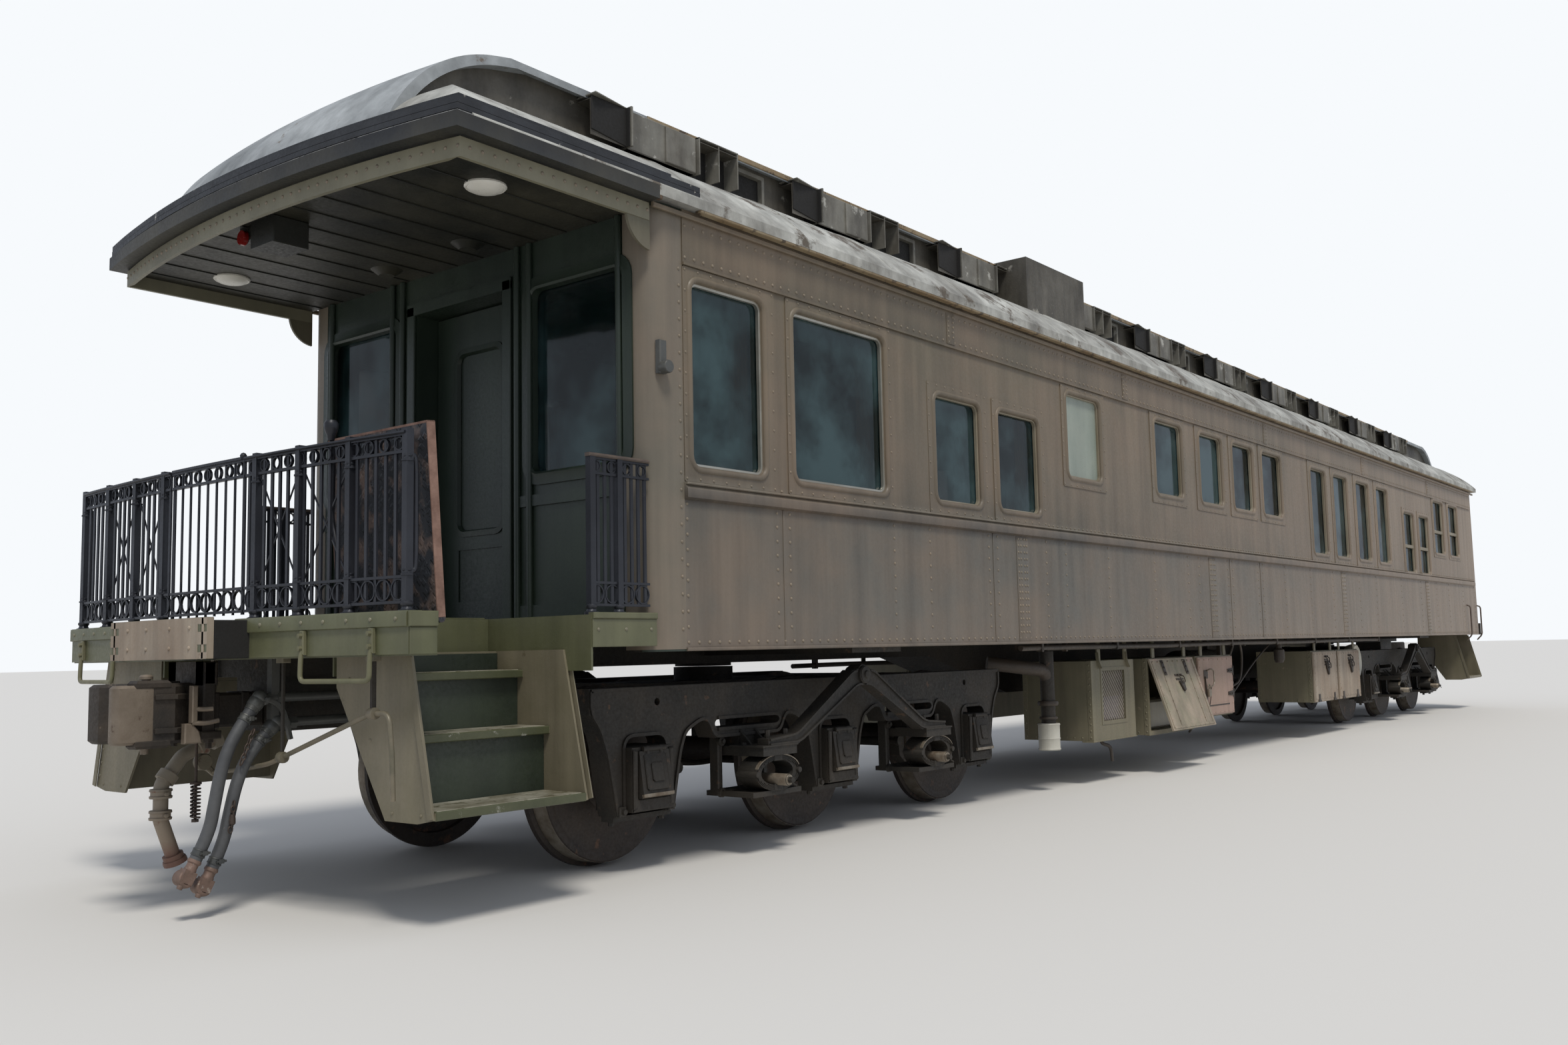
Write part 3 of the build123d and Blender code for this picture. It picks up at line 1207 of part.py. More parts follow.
def truck_frame(name, x_mid):
    """Cast side frames, end bars, transoms, bolster ends, spring planks, brakes and centre casting."""
    bar_low = FRAME_TOP - FRAME_BAR
    plank_top = SEAT_TOP - SEAT_THICK - 2 * SPRING_RISE
    with BuildPart() as frame:
        for side in (-1, 1):
            with BuildSketch(Plane.XZ.offset(-side * FRAME_IN)):
                side_frame(x_mid)
            extrude(amount=-side * (FRAME_OUT - FRAME_IN))
            for axle in AXLES:
                foot = PEDESTAL_GAP + PEDESTAL_FOOT
                block(
                    x_mid + axle - foot, x_mid + axle + foot,
                    *sorted((side * (FRAME_IN + 20), side * (FRAME_OUT - 20))),
                    PEDESTAL_LOW - TIE_THICK, PEDESTAL_LOW,
                )
            for bay in BAYS:
                x = x_mid + bay
                # Bolster end under the slotted chord, with the spring plank hung below it
                block(
                    x - SEAT_HALF, x + SEAT_HALF, *sorted((side * FRAME_IN, side * SEAT_OUT)),
                    SEAT_TOP - SEAT_THICK, SEAT_TOP,
                )
                block(
                    x - SEAT_HALF / 2, x + SEAT_HALF / 2, *sorted((side * FRAME_IN, side * FRAME_OUT)),
                    SEAT_TOP, SLOT_LOW,
                )
                block(
                    x - PLANK_HALF, x + PLANK_HALF, *sorted((side * FRAME_IN, side * SPRING_OUT)),
                    plank_top - PLANK_THICK, plank_top,
                )
                for hand in (-1, 1):
                    x_pair = sorted((x + hand * PLANK_HALF, x + hand * (PLANK_HALF - HANGER)))
                    block(
                        *x_pair, *sorted((side * (FRAME_IN + 30), side * (FRAME_OUT - 40))),
                        plank_top, SLOT_LOW,
                    )
        for x in (-FRAME_END, FRAME_END - END_BAR):
            block(x_mid + x, x_mid + x + END_BAR, -FRAME_IN, FRAME_IN, bar_low, FRAME_TOP - 20)
        for x in BAYS:
            block(
                x_mid + x - TRANSOM_HALF, x_mid + x + TRANSOM_HALF,
                -FRAME_IN, FRAME_IN, CHORD_LOW, FRAME_TOP - 10,
            )
        block(
            x_mid - BAY_HALF, x_mid + BAY_HALF, -300, 300,
            800, FRAME_TOP - 10,
        )
        with Locations((x_mid, 0, (FRAME_TOP - 10 + TRUCK_TOP) / 2)):
            Cylinder(200, TRUCK_TOP - FRAME_TOP + 10)
        for axle, hand in BRAKES:
            x_beam = x_mid + axle + hand * BEAM_REACH
            x_transom = x_mid + axle + hand * (BAY_HALF - TRANSOM_HALF)
            for side in (-1, 1):
                with BuildSketch(Plane.XZ.offset(-side * SHOE_IN)):
                    with BuildLine():
                        inner = CenterArc(
                            (x_mid + axle, WHEEL_Z), TREAD_R + SHOE_GAP,
                            (90 - hand * 90) - SHOE_ANGLE, 2 * SHOE_ANGLE,
                        )
                        outer = CenterArc(
                            (x_mid + axle, WHEEL_Z), TREAD_R + SHOE_GAP + SHOE_THICK,
                            (90 - hand * 90) - SHOE_ANGLE / 2, SHOE_ANGLE,
                        )
                        Line(inner @ 0, outer @ 0)
                        Line(inner @ 1, outer @ 1)
                    make_face()
                extrude(amount=-side * (SHOE_OUT - SHOE_IN))
            with Locations((x_beam, 0, WHEEL_Z)):
                Cylinder(BEAM_R, 2 * SHOE_OUT, rotation=(90, 0, 0))
            for side in (-1, 1):
                y_pair = sorted((side * SHOE_IN, side * (SHOE_OUT - 20)))
                block(x_beam - 14, x_beam + 14, *y_pair, WHEEL_Z, CHORD_LOW + 60)
                block(
                    *sorted((x_beam - hand * 14, x_transom + hand * 10)), *y_pair,
                    CHORD_LOW + 30, CHORD_LOW + 80,
                )
    finish(frame.part, name)


def truck_gear(name, x_mid):
    """Lidded journal boxes in the pedestals, elliptic springs with their pins, side bearing arches."""
    spring_z = SEAT_TOP - SEAT_THICK - SPRING_RISE
    with BuildPart() as gear:
        for side in (-1, 1):
            for axle in AXLES:
                x = x_mid + axle
                block(
                    x - PEDESTAL_GAP, x + PEDESTAL_GAP,
                    *sorted((side * BOX_IN, side * BOX_OUT)), BOX_LOW, BOX_TOP,
                )
                # Hinged lid, thicker and further out at its lower lip
                with BuildSketch(Plane.YZ.offset(x - PEDESTAL_GAP + 40)):
                    with BuildLine():
                        Polyline(
                            (side * BOX_OUT, BOX_TOP - 20), (side * (BOX_OUT + 14), BOX_TOP - 20),
                            (side * (BOX_OUT + 46), BOX_LOW + 85), (side * (BOX_OUT + 30), BOX_LOW + 70),
                            (side * BOX_OUT, BOX_LOW + 70),
                            close=True,
                        )
                    make_face()
                extrude(amount=2 * PEDESTAL_GAP - 80)
                with BuildSketch(Plane.XZ.offset(-side * BOX_IN)):
                    with Locations((x, WHEEL_Z)):
                        Circle(JOURNAL_R + JOURNAL_FIT)
                extrude(amount=-side * (JOURNAL_END + 8 - BOX_IN), mode=Mode.SUBTRACT)
            for bay in BAYS:
                x = x_mid + bay
                with BuildSketch(Plane.XZ.offset(-side * SPRING_IN)):
                    with Locations((x, spring_z)):
                        Ellipse(SPRING_HALF, SPRING_RISE)
                        Ellipse(
                            SPRING_HALF - 1.6 * SPRING_LEAVES, SPRING_RISE - SPRING_LEAVES,
                            mode=Mode.SUBTRACT,
                        )
                extrude(amount=-side * (SPRING_OUT - SPRING_IN))
                for z in (spring_z - SPRING_RISE, spring_z + SPRING_RISE - SPRING_LEAVES):
                    block(
                        x - SPRING_BAND, x + SPRING_BAND,
                        *sorted((side * SPRING_IN, side * SPRING_OUT)), z, z + SPRING_LEAVES,
                    )
                z_pin = spring_z - SPRING_RISE + SPRING_LEAVES + SPRING_PIN_R - 4
                with Locations((x, side * (SPRING_IN + PIN_OUT) / 2, z_pin)):
                    Cylinder(SPRING_PIN_R, PIN_OUT - SPRING_IN, rotation=(90, 0, 0))
            # Side bearing arch from one bolster end over to the other, with its roller at the top
            with BuildSketch(Plane.XZ.offset(-side * ARCH_IN)):
                with BuildLine():
                    Polyline(
                        (x_mid - ARCH_FOOT, SEAT_TOP), (x_mid - ARCH_FOOT, SEAT_TOP + 42),
                        (x_mid - 680, SEAT_TOP + 62), (x_mid - 105, ARCH_APEX),
                        (x_mid + 105, ARCH_APEX), (x_mid + 680, SEAT_TOP + 62),
                        (x_mid + ARCH_FOOT, SEAT_TOP + 42), (x_mid + ARCH_FOOT, SEAT_TOP),
                        (x_mid + 655, SEAT_TOP), (x_mid + 70, ARCH_APEX - 95),
                        (x_mid - 70, ARCH_APEX - 95), (x_mid - 655, SEAT_TOP),
                        close=True,
                    )
                make_face()
                with Locations((x_mid, ARCH_APEX - 30)):
                    Circle(BEARING_R + 12)
            extrude(amount=-side * (ARCH_OUT - ARCH_IN))
            with Locations((x_mid, side * (ARCH_IN + ARCH_OUT) / 2, ARCH_APEX - 30)):
                Cylinder(BEARING_R, ARCH_OUT - ARCH_IN + 50, rotation=(90, 0, 0))
    finish(gear.part, name)


def wheelset(name, x_mid):
    """An axle with its two wheels, turned as one profile."""
    half = (
        (0, 85), (690, 85), (705, 395), (BACK_HALF, 400), (BACK_HALF, TREAD_R + FLANGE),
        (BACK_HALF + 32, TREAD_R + FLANGE - 2), (BACK_HALF + 40, TREAD_R),
        (BACK_HALF + RIM_WIDTH, TREAD_R - 6), (BACK_HALF + RIM_WIDTH, 400),
        (775, 390), (800, 140), (860, 140), (860, JOURNAL_R), (JOURNAL_END, JOURNAL_R),
        (JOURNAL_END, 0),
    )
    with BuildPart() as axle:
        with BuildSketch(Plane(origin=(x_mid, 0, WHEEL_Z), x_dir=(0, 1, 0), z_dir=(1, 0, 0))):
            with BuildLine():
                Polyline([(-y, r) for y, r in half[::-1]] + list(half[1:]), close=True)
            make_face()
        revolve(axis=Axis((x_mid, 0, WHEEL_Z), (0, 1, 0)))
    finish(axle.part, name)


for number, (label, x_mid) in enumerate((("rear", REAR_TRUCK_X), ("front", FRONT_TRUCK_X))):
    truck_frame(f"truck_frame_{label}", x_mid)
    truck_gear(f"truck_gear_{label}", x_mid)
    for position, axle_x in enumerate(AXLES):
        wheelset(f"wheelset_{3 * number + position + 1}", x_mid + axle_x)

# What stands on the roof: a louvred duct box, a round capped vent and disc vents
VENT_PLACE = 5720
VENT_Y = -300.0
DISC_PLACES = (3000, 9000, 12000)
with BuildPart() as roof_gear:
    block(
        along(DUCT_PLACE), along(DUCT_PLACE) + DUCT_LONG,
        -DECK_HALF - DUCT_DEEP, -DECK_HALF, EAVE + 200, DUCT_TOP,
    )
    with Locations((along(VENT_PLACE), VENT_Y, UPPER_CROWN + 50)):
        Cylinder(170, 260)
    for place in DISC_PLACES:
        with Locations((along(place), 0, UPPER_CROWN + 25)):
            Cylinder(120, 90)
    add(roof_upper.part, mode=Mode.SUBTRACT)
    add(deck_outside.part, mode=Mode.SUBTRACT)
finish(roof_gear.part, "roof_gear")
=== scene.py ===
"""Looks of a heavyweight business car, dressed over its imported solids.

Metres, in the solids' frame: +X is the car's front, the open platform is at -X, and the side with the
raised trap is -Y. Places along the car are measured from the rear bulkhead, at BULK; the front wall is
at FRONT.
"""
import math

import bpy
import bmesh
import numpy as np
from mathutils import Matrix, Vector


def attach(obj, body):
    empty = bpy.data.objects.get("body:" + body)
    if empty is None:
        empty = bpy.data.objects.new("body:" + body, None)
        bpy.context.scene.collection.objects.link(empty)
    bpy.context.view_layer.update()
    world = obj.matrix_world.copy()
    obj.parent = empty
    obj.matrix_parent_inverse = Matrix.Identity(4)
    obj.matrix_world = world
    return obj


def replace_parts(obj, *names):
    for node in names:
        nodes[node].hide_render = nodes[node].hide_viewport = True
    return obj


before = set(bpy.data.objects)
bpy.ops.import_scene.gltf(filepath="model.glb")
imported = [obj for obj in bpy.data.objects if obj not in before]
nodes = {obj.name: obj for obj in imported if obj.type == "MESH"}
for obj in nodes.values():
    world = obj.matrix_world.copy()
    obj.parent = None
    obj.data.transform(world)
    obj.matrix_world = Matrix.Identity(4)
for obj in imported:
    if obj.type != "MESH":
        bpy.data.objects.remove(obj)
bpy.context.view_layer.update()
BULK, FRONT = -8.8, 10.05


# Camera, floor and light
# The camera stands low beside the platform's near corner and looks along the car. The floor is a pale
# sheet. A wide soft sun and an even sky light the car; the camera and the gloss see a near-white sky.
AZIMUTH = math.radians(-51.4738)
PITCH = math.radians(-5.491)
ROLL = math.radians(-1.224)
back = Vector((
    math.sin(AZIMUTH) * math.cos(PITCH), -math.cos(AZIMUTH) * math.cos(PITCH), math.sin(PITCH),
))
right = Vector((0, 0, 1)).cross(back).normalized()
up = back.cross(right)
rolled_right = right * math.cos(ROLL) + up * math.sin(ROLL)
rolled_up = up * math.cos(ROLL) - right * math.sin(ROLL)
eye = bpy.data.cameras.new("eye")
eye.sensor_width = 36.0
eye.lens = 36.0 * 1981.49 / 2352
eye.clip_end = 400.0
camera = bpy.data.objects.new("eye", eye)
place = Matrix((rolled_right, rolled_up, back)).transposed().to_4x4()
place.translation = Vector((-13.4634, -6.0615, 1.1381))
camera.matrix_world = place
bpy.context.scene.collection.objects.link(camera)
bpy.context.scene.camera = camera
bpy.context.scene.view_settings.view_transform = "Standard"


def tone(red, green, blue):
    """A screen colour of 0 to 255 as the linear colour that a shader takes."""
    c = np.array([red, green, blue]) / 255.0
    linear = np.where(c <= 0.04045, c / 12.92, ((c + 0.055) / 1.055) ** 2.4)
    return (*(float(v) for v in linear), 1.0)


def shader(tree, kind, inputs=None, **settings):
    """Add one shader node. Inputs are values, or the sockets to join, by name or number."""
    made = tree.nodes.new(kind)
    for key, value in settings.items():
        setattr(made, key, value)
    for key, value in (inputs or {}).items():
        if isinstance(value, bpy.types.NodeSocket):
            tree.links.new(value, made.inputs[key])
        else:
            made.inputs[key].default_value = value
    return made


def noise(tree, where, scale, detail, rough):
    """Fractal noise, 0 to 1."""
    return shader(tree, "ShaderNodeTexNoise", {"Vector": where, "Scale": scale, "Detail": detail,
        "Roughness": rough}).outputs["Fac"]


def ranged(tree, value, low, high, to_low=0.0, to_high=1.0):
    """A value carried from one range to another and held at its ends."""
    return shader(tree, "ShaderNodeMapRange", {"Value": value, "From Min": low, "From Max": high,
        "To Min": to_low, "To Max": to_high}).outputs[0]


def mixed_colour(tree, share, first, second):
    """The first colour, gone over into the second by a share."""
    return shader(tree, "ShaderNodeMix", {0: share, 6: first, 7: second}, data_type="RGBA").outputs[2]


world = bpy.data.worlds.new("sky")
bpy.context.scene.world = world
world.use_nodes = True
sky = world.node_tree
sky.nodes.clear()
path = shader(sky, "ShaderNodeLightPath")
seen = shader(sky, "ShaderNodeMath", {0: path.outputs["Is Camera Ray"], 1: path.outputs["Is Transmission Ray"]},
    operation="MAXIMUM")
even = shader(sky, "ShaderNodeBackground", {"Color": tone(226, 235, 250), "Strength": 0.62})
white = shader(sky, "ShaderNodeBackground", {"Color": tone(247, 250, 253), "Strength": 1.0})
both = shader(sky, "ShaderNodeMixShader", {0: seen.outputs[0], 1: even.outputs[0], 2: white.outputs[0]})
shader(sky, "ShaderNodeOutputWorld", {"Surface": both.outputs[0]})

sun = bpy.data.lights.new("sun", "SUN")
sun.energy = 2.1
sun.angle = math.radians(14)
sun.color = (1.0, 0.965, 0.9)
lamp = bpy.data.objects.new("sun", sun)
lamp.matrix_world = Vector((-0.42, -0.62, 1.25)).to_track_quat("Z", "Y").to_matrix().to_4x4()
bpy.context.scene.collection.objects.link(lamp)

floor_mesh = bpy.data.meshes.new("ground")
floor_mesh.from_pydata([(-150, -150, 0), (250, -150, 0), (250, 250, 0), (-150, 250, 0)], [], [(0, 1, 2, 3)])
ground = bpy.data.objects.new("ground", floor_mesh)
bpy.context.scene.collection.objects.link(ground)
ground_look = bpy.data.materials.new("ground")
ground_look.use_nodes = True
ground_look.node_tree.nodes["Principled BSDF"].inputs["Base Color"].default_value = tone(214, 211, 206)
ground_look.node_tree.nodes["Principled BSDF"].inputs["Roughness"].default_value = 0.85
floor_mesh.materials.append(ground_look)


# Body sides
# The sides are riveted steel sheets under a drip edge, with a belt rail below the windows and a
# letterboard above them. Years of sun have turned the dark green paint brown, and it runs down in streaks.
def weathered(name, colours, rough=(0.5, 0.75), metallic=0.0, cloud=1.6, streak=0.0, grain=60.0, bump=0.12,
        spots=None, levels=None, stretch=0.06, far=None):
    """Old paint on steel. Clouds of noise move between the colours, drawn-out noise adds upright streaks
    and fine noise roughens the gloss and the surface. spots is a colour, the scale of a coarser noise and
    the share that it has to pass to show it. levels is a table of (height, colour) for colour that changes
    with height, painted shade and highlight bands among it, and far is a colour that fades in along the
    car, with its two places and its share."""
    look = bpy.data.materials.new(name)
    look.use_nodes = True
    tree = look.node_tree
    skin = tree.nodes["Principled BSDF"]
    where = shader(tree, "ShaderNodeTexCoord").outputs["Object"]
    drawn = shader(tree, "ShaderNodeMapping", {"Vector": where, "Scale": (1.0, 1.0, stretch)}).outputs[0]
    clouds = noise(tree, where, cloud, 6.0, 0.62)
    runs = noise(tree, drawn, 9.0, 5.0, 0.6)
    fine = noise(tree, where, grain, 4.0, 0.6)
    share = ranged(tree, clouds, 0.34, 0.66)
    first, second = tone(*colours[0]), tone(*colours[1])
    if levels:
        low, high = levels[0][0], levels[-1][0]
        height = shader(tree, "ShaderNodeSeparateXYZ", {0: where}).outputs["Z"]
        ramp = shader(tree, "ShaderNodeValToRGB", {0: ranged(tree, height, low, high)})
        stops = ramp.color_ramp.elements
        while len(stops) < len(levels):
            stops.new(1.0)
        for stop, (z, colour) in zip(stops, levels):
            stop.position = (z - low) / (high - low)
            stop.color = tone(*colour)
        half = shader(tree, "ShaderNodeMath", {0: share, 1: 0.5}, operation="MULTIPLY").outputs[0]
        mixed = mixed_colour(tree, half, ramp.outputs[0], second)
    else:
        mixed = mixed_colour(tree, share, first, second)
    if far:
        place = shader(tree, "ShaderNodeSeparateXYZ", {0: where}).outputs["X"]
        mixed = mixed_colour(tree, ranged(tree, place, far[1], far[2], 0.0, far[3]), mixed, tone(*far[0]))
    if streak:
        lines = ranged(tree, runs, 0.35, 0.7, 1.0 + streak, 1.0 - streak)
        mixed = shader(tree, "ShaderNodeVectorMath", {0: mixed, "Scale": lines}, operation="SCALE").outputs[0]
    if spots:
        spot_colour, spot_scale, spot_share = spots
        patches = noise(tree, where, spot_scale, 8.0, 0.68)
        mask = ranged(tree, patches, spot_share, spot_share + 0.06)
        mixed = mixed_colour(tree, mask, mixed, tone(*spot_colour))
    gloss = ranged(tree, fine, 0.3, 0.7, *rough)
    waves = shader(tree, "ShaderNodeMath", {0: fine, 1: clouds}, operation="ADD").outputs[0]
    relief = shader(tree, "ShaderNodeBump", {"Height": waves, "Strength": bump, "Distance": 0.006}).outputs[0]
    tree.links.new(mixed, skin.inputs["Base Color"])
    tree.links.new(gloss, skin.inputs["Roughness"])
    tree.links.new(relief, skin.inputs["Normal"])
    skin.inputs["Metallic"].default_value = metallic
    return look


def dress(look, *names):
    """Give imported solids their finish."""
    for name in names:
        mesh = nodes[name].data
        mesh.materials.clear()
        mesh.materials.append(look)


def piece(name, shells, look, body="car", sharp=38, closed=True):
    """One object from shells of points and faces. Closed shells get their faces turned outwards."""
    points, faces, start = [], [], 0
    for spots, quads in shells:
        spots = np.asarray(spots, float).reshape(-1, 3)
        points.append(spots)
        faces.extend([tuple(int(i) + start for i in q) for q in quads])
        start += len(spots)
    mesh = bpy.data.meshes.new(name)
    mesh.from_pydata(np.concatenate(points).tolist(), [], faces)
    if closed:
        shape = bmesh.new()
        shape.from_mesh(mesh)
        bmesh.ops.recalc_face_normals(shape, faces=shape.faces)
        shape.to_mesh(mesh)
        shape.free()
    mesh.polygons.foreach_set("use_smooth", np.ones(len(mesh.polygons), bool))
    mesh.set_sharp_from_angle(angle=math.radians(sharp))
    mesh.materials.append(look)
    made = bpy.data.objects.new(name, mesh)
    bpy.context.scene.collection.objects.link(made)
    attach(made, body)
    return made


def grid_quads(rows, columns):
    """Quads of a grid of points whose columns close on themselves."""
    i, j = np.meshgrid(np.arange(rows - 1), np.arange(columns), indexing="ij")
    a = (i * columns + j).ravel()
    b = (i * columns + (j + 1) % columns).ravel()
    return np.stack([a, b, b + columns, a + columns], -1).tolist()


def loft(rings):
    """Skin carried through closed rings of equally many points, with a flat face on the first and last."""
    rings = np.asarray(rings, float)
    rows, columns = rings.shape[:2]
    ends = [list(range(columns))[::-1], list(range((rows - 1) * columns, rows * columns))]
    return rings.reshape(-1, 3), grid_quads(rows, columns) + ends


def looped(rings):
    """Skin carried through closed rings and back from the last to the first."""
    rings = np.asarray(rings, float)
    rows, columns = rings.shape[:2]
    last = (rows - 1) * columns
    closing = [[last + i, last + (i + 1) % columns, (i + 1) % columns, i] for i in range(columns)]
    return rings.reshape(-1, 3), grid_quads(rows, columns) + closing


def on_axis(axis, at, u, v):
    """Points from a coordinate along an axis and the two others in the order x, y, z."""
    at = np.broadcast_to(at, np.shape(u))
    return {"x": np.stack([at, u, v], -1), "y": np.stack([u, at, v], -1), "z": np.stack([u, v, at], -1)}[axis]


def slab(outline, low, high, axis, edge=0.003):
    """A plate cut to an outline and drawn from low to high along an axis, with chamfered edges: the
    outline moved inwards along its corners' bisectors gives the first and last ring."""
    o = np.array(outline, float)
    following = np.roll(o, -1, 0)
    if np.sum(o[:, 0] * following[:, 1] - following[:, 0] * o[:, 1]) < 0:
        o = o[::-1]
        following = np.roll(o, -1, 0)
    run = following - o
    run /= np.linalg.norm(run, axis=1, keepdims=True)
    normal = np.stack([run[:, 1], -run[:, 0]], -1)
    before = np.roll(normal, 1, 0)
    shift = (normal + before) / np.maximum(1 + np.sum(normal * before, 1, keepdims=True), 0.35)
    inner = o - edge * shift
    edge = min(edge, (high - low) / 3)
    rings = [(inner, low), (o, low + edge), (o, high - edge), (inner, high)]
    return loft([on_axis(axis, at, r[:, 0], r[:, 1]) for r, at in rings])


def bar(x0, x1, y0, y1, z0, z1, edge=0.003):
    """A straight bar or sheet between two corners, chamfered on its four long edges."""
    return slab([(x0, z0), (x1, z0), (x1, z1), (x0, z1)], min(y0, y1), max(y0, y1), "y", edge)


def block(x0, x1, *rest):
    """A bar whose ends are counted from the rear bulkhead."""
    return bar(BULK + x0, BULK + x1, *rest)


def scatter(shape, spots, normals, size):
    """Copies of a small shape set at spots, its z turned to each normal."""
    points, faces = shape
    points = np.asarray(points) * size
    spots = np.asarray(spots, float)
    z = np.broadcast_to(np.asarray(normals, float), spots.shape)
    z = z / np.linalg.norm(z, axis=1, keepdims=True)
    other = np.where(np.abs(z[:, 2:3]) > 0.9, (1.0, 0.0, 0.0), (0.0, 0.0, 1.0))
    x = np.cross(other, z)
    x /= np.linalg.norm(x, axis=1, keepdims=True)
    y = np.cross(z, x)
    placed = (spots[:, None] + points[None, :, 0:1] * x[:, None] + points[None, :, 1:2] * y[:, None]
        + points[None, :, 2:3] * z[:, None])
    count = len(points)
    every = [[i + count * n for i in f] for n in range(len(spots)) for f in faces]
    return placed.reshape(-1, 3), every


def dome(sides=7, rings=((1.0, -0.1), (0.94, 0.22), (0.6, 0.5), (0.02, 0.62))):
    """A snap head: rings of falling radius and rising height about z, in units of its radius."""
    turn = np.linspace(0, 2 * math.pi, sides, endpoint=False)
    return loft([np.stack([r * np.cos(turn), r * np.sin(turn), np.full(sides, z)], -1) for r, z in rings])


RIVET = dome()


def row(start, end, count):
    """Evenly spaced spots from one point to another, both included."""
    return np.linspace(np.array(start, float), np.array(end, float), max(int(count), 1))


def other_side(shells):
    """The same shells on the car's other side: y changes its sign and each face its turn."""
    return [(np.asarray(p) * (1, -1, 1), [list(f)[::-1] for f in q]) for p, q in shells]


def pair(name, shells, look, closed=True):
    """A piece on the car's right and its mirror image on the left."""
    piece(f"{name}_right", shells, look, closed=closed)
    piece(f"{name}_left", other_side(shells), look, closed=closed)


def rivets(name, spots, ways, look, size=0.0095, body="car"):
    """Snap heads at spots, each turned its own way."""
    piece(name, [scatter(RIVET, spots, ways, size)], look, body=body, closed=False)


SIDE = -1.525
# Besides the paint, the height table paints light: a dark shadow band under the belt rail at 1.905, a highlight
# along its top at 1.995 and a shadow line under the letterboard's lap at 3.15.
side_paint = weathered("brown_green_paint", ((104, 97, 84), (122, 104, 86)), rough=(0.42, 0.62), streak=0.16,
    bump=0.1, levels=((1.1, (86, 80, 72)), (1.17, (98, 92, 84)), (1.35, (93, 90, 83)), (1.88, (84, 83, 77)),
    (1.905, (58, 54, 48)), (1.96, (92, 87, 80)), (1.995, (112, 106, 94)), (2.03, (90, 83, 71)),
    (2.4, (101, 92, 78)), (3.1, (98, 90, 74)), (3.15, (84, 78, 65)), (3.42, (104, 94, 78))),
    far=((146, 130, 114), BULK + 4.0, BULK + 18.0, 0.62))
rivet_paint = weathered("rivet_paint", ((112, 104, 90), (134, 120, 102)), rough=(0.4, 0.6), bump=0.05)
inner_paint = weathered("inner_paint", ((70, 64, 54), (84, 78, 68)), streak=0.1)
dress(side_paint, "side_right", "side_left")
dress(inner_paint, "floor")

# Rivet columns of the lower panels, metres behind the bulkhead, and the splices with four columns
LOWER_COLUMNS = (0.247, 0.973, 1.085, 2.125, 2.535, 3.285, 3.405, 4.125, 4.439, 5.181, 6.088, 6.825, 7.082, 7.804,
    7.932, 8.64, 8.781, 9.46, 10.317, 11.132, 12.2, 12.939, 14.159, 15.2, 16.1, 16.862, 17.804, 18.6)
SPLICES = (3.697, 7.349, 11.49, 15.5)
BELOW, ABOVE = 1.184, 3.167
heads = [row((x, SIDE, BELOW + 0.078), (x, SIDE, 1.886), 9) for x in LOWER_COLUMNS]
straps = []
for x in SPLICES:
    for step in (0.0, 0.035, 0.085, 0.12):
        heads.append(row((x + step, SIDE - 0.004, BELOW + 0.04), (x + step, SIDE - 0.004, 1.886), 15))
    straps.append(bar(BULK + x - 0.025, BULK + x + 0.145, SIDE - 0.004, SIDE, 1.155, 1.9, 0.002))
for x in (1.03, 3.345, 7.868, 8.71):
    straps.append(bar(BULK + x - 0.008, BULK + x + 0.008, SIDE - 0.004, SIDE, 1.145, 1.905, 0.002))
heads += [row((0.247, SIDE, BELOW), (18.6, SIDE, BELOW), 236),
    row((0.247, SIDE - 0.008, ABOVE), (18.6, SIDE - 0.008, ABOVE), 256),
    row((0.247, SIDE - 0.008, 3.335), (18.6, SIDE - 0.008, 3.335), 256),
    row((0.247, SIDE, 2.008), (18.6, SIDE, 2.008), 262)]
for x in (2.86, 5.62, 9.05, 12.6, 15.9):
    straps.append(bar(BULK + x - 0.05, BULK + x + 0.05, SIDE - 0.012, SIDE - 0.008, 3.15, 3.36, 0.002))
    for step in (-0.03, 0.03):
        heads.append(row((x + step, SIDE - 0.012, 3.2), (x + step, SIDE - 0.012, 3.34), 5))
side_heads = np.concatenate(heads) + (BULK, 0, 0)
pair("side_rivets", [scatter(RIVET, side_heads, (0, -1, 0), 0.0095)], rivet_paint, closed=False)
pair("butt_straps", straps, side_paint)

# Drip edge and sill strip: rolled steel strips along the foot and the head of each side
ledge = [
    block(0.23, 18.62, SIDE - 0.014, SIDE, 1.141, 1.158, 0.004),
    block(0.23, 18.62, SIDE - 0.026, SIDE, 1.984, 1.996, 0.004),
    block(0.0, 18.85, SIDE - 0.03, SIDE - 0.006, 3.372, 3.398, 0.005),
]
pair("side_ledges", ledge, side_paint)


# Side windows
# Each window is a pressed frame plate riveted over the sheet, with a rounded moulding round the glass.
# Some keep a bright metal edge. The glass is old and dark, and one pane is frosted.
def rounded(x0, x1, z0, z1, radius, steps=6):
    """A rounded rectangle in a plane: four quarter circles joined by straight runs, anticlockwise."""
    radius = max(min(radius, (x1 - x0) / 2.01, (z1 - z0) / 2.01), 1e-4)
    turn = np.linspace(0, math.pi / 2, steps)
    parts = []
    for k, (cx, cz) in enumerate(((x1, z1), (x0, z1), (x0, z0), (x1, z0))):
        ox = cx - radius if cx == x1 else cx + radius
        oz = cz - radius if cz == z1 else cz + radius
        angle = turn + k * math.pi / 2
        parts.append(np.stack([ox + radius * np.cos(angle), oz + radius * np.sin(angle)], -1))
    return np.concatenate(parts)


def hoop(rows, axis="y"):
    """A closed band carried through rounded rectangles (x0, x1, z0, z1, radius, place along the axis)."""
    return looped([on_axis(axis, r[5], *rounded(*r[:5]).T) for r in rows])


def grown(box, by, radius, depth):
    """A rounded rectangle grown by a margin, at a depth."""
    x0, x1, z0, z1 = box
    return (x0 - by, x1 + by, z0 - by, z1 + by, max(radius + by, 0.004), depth)


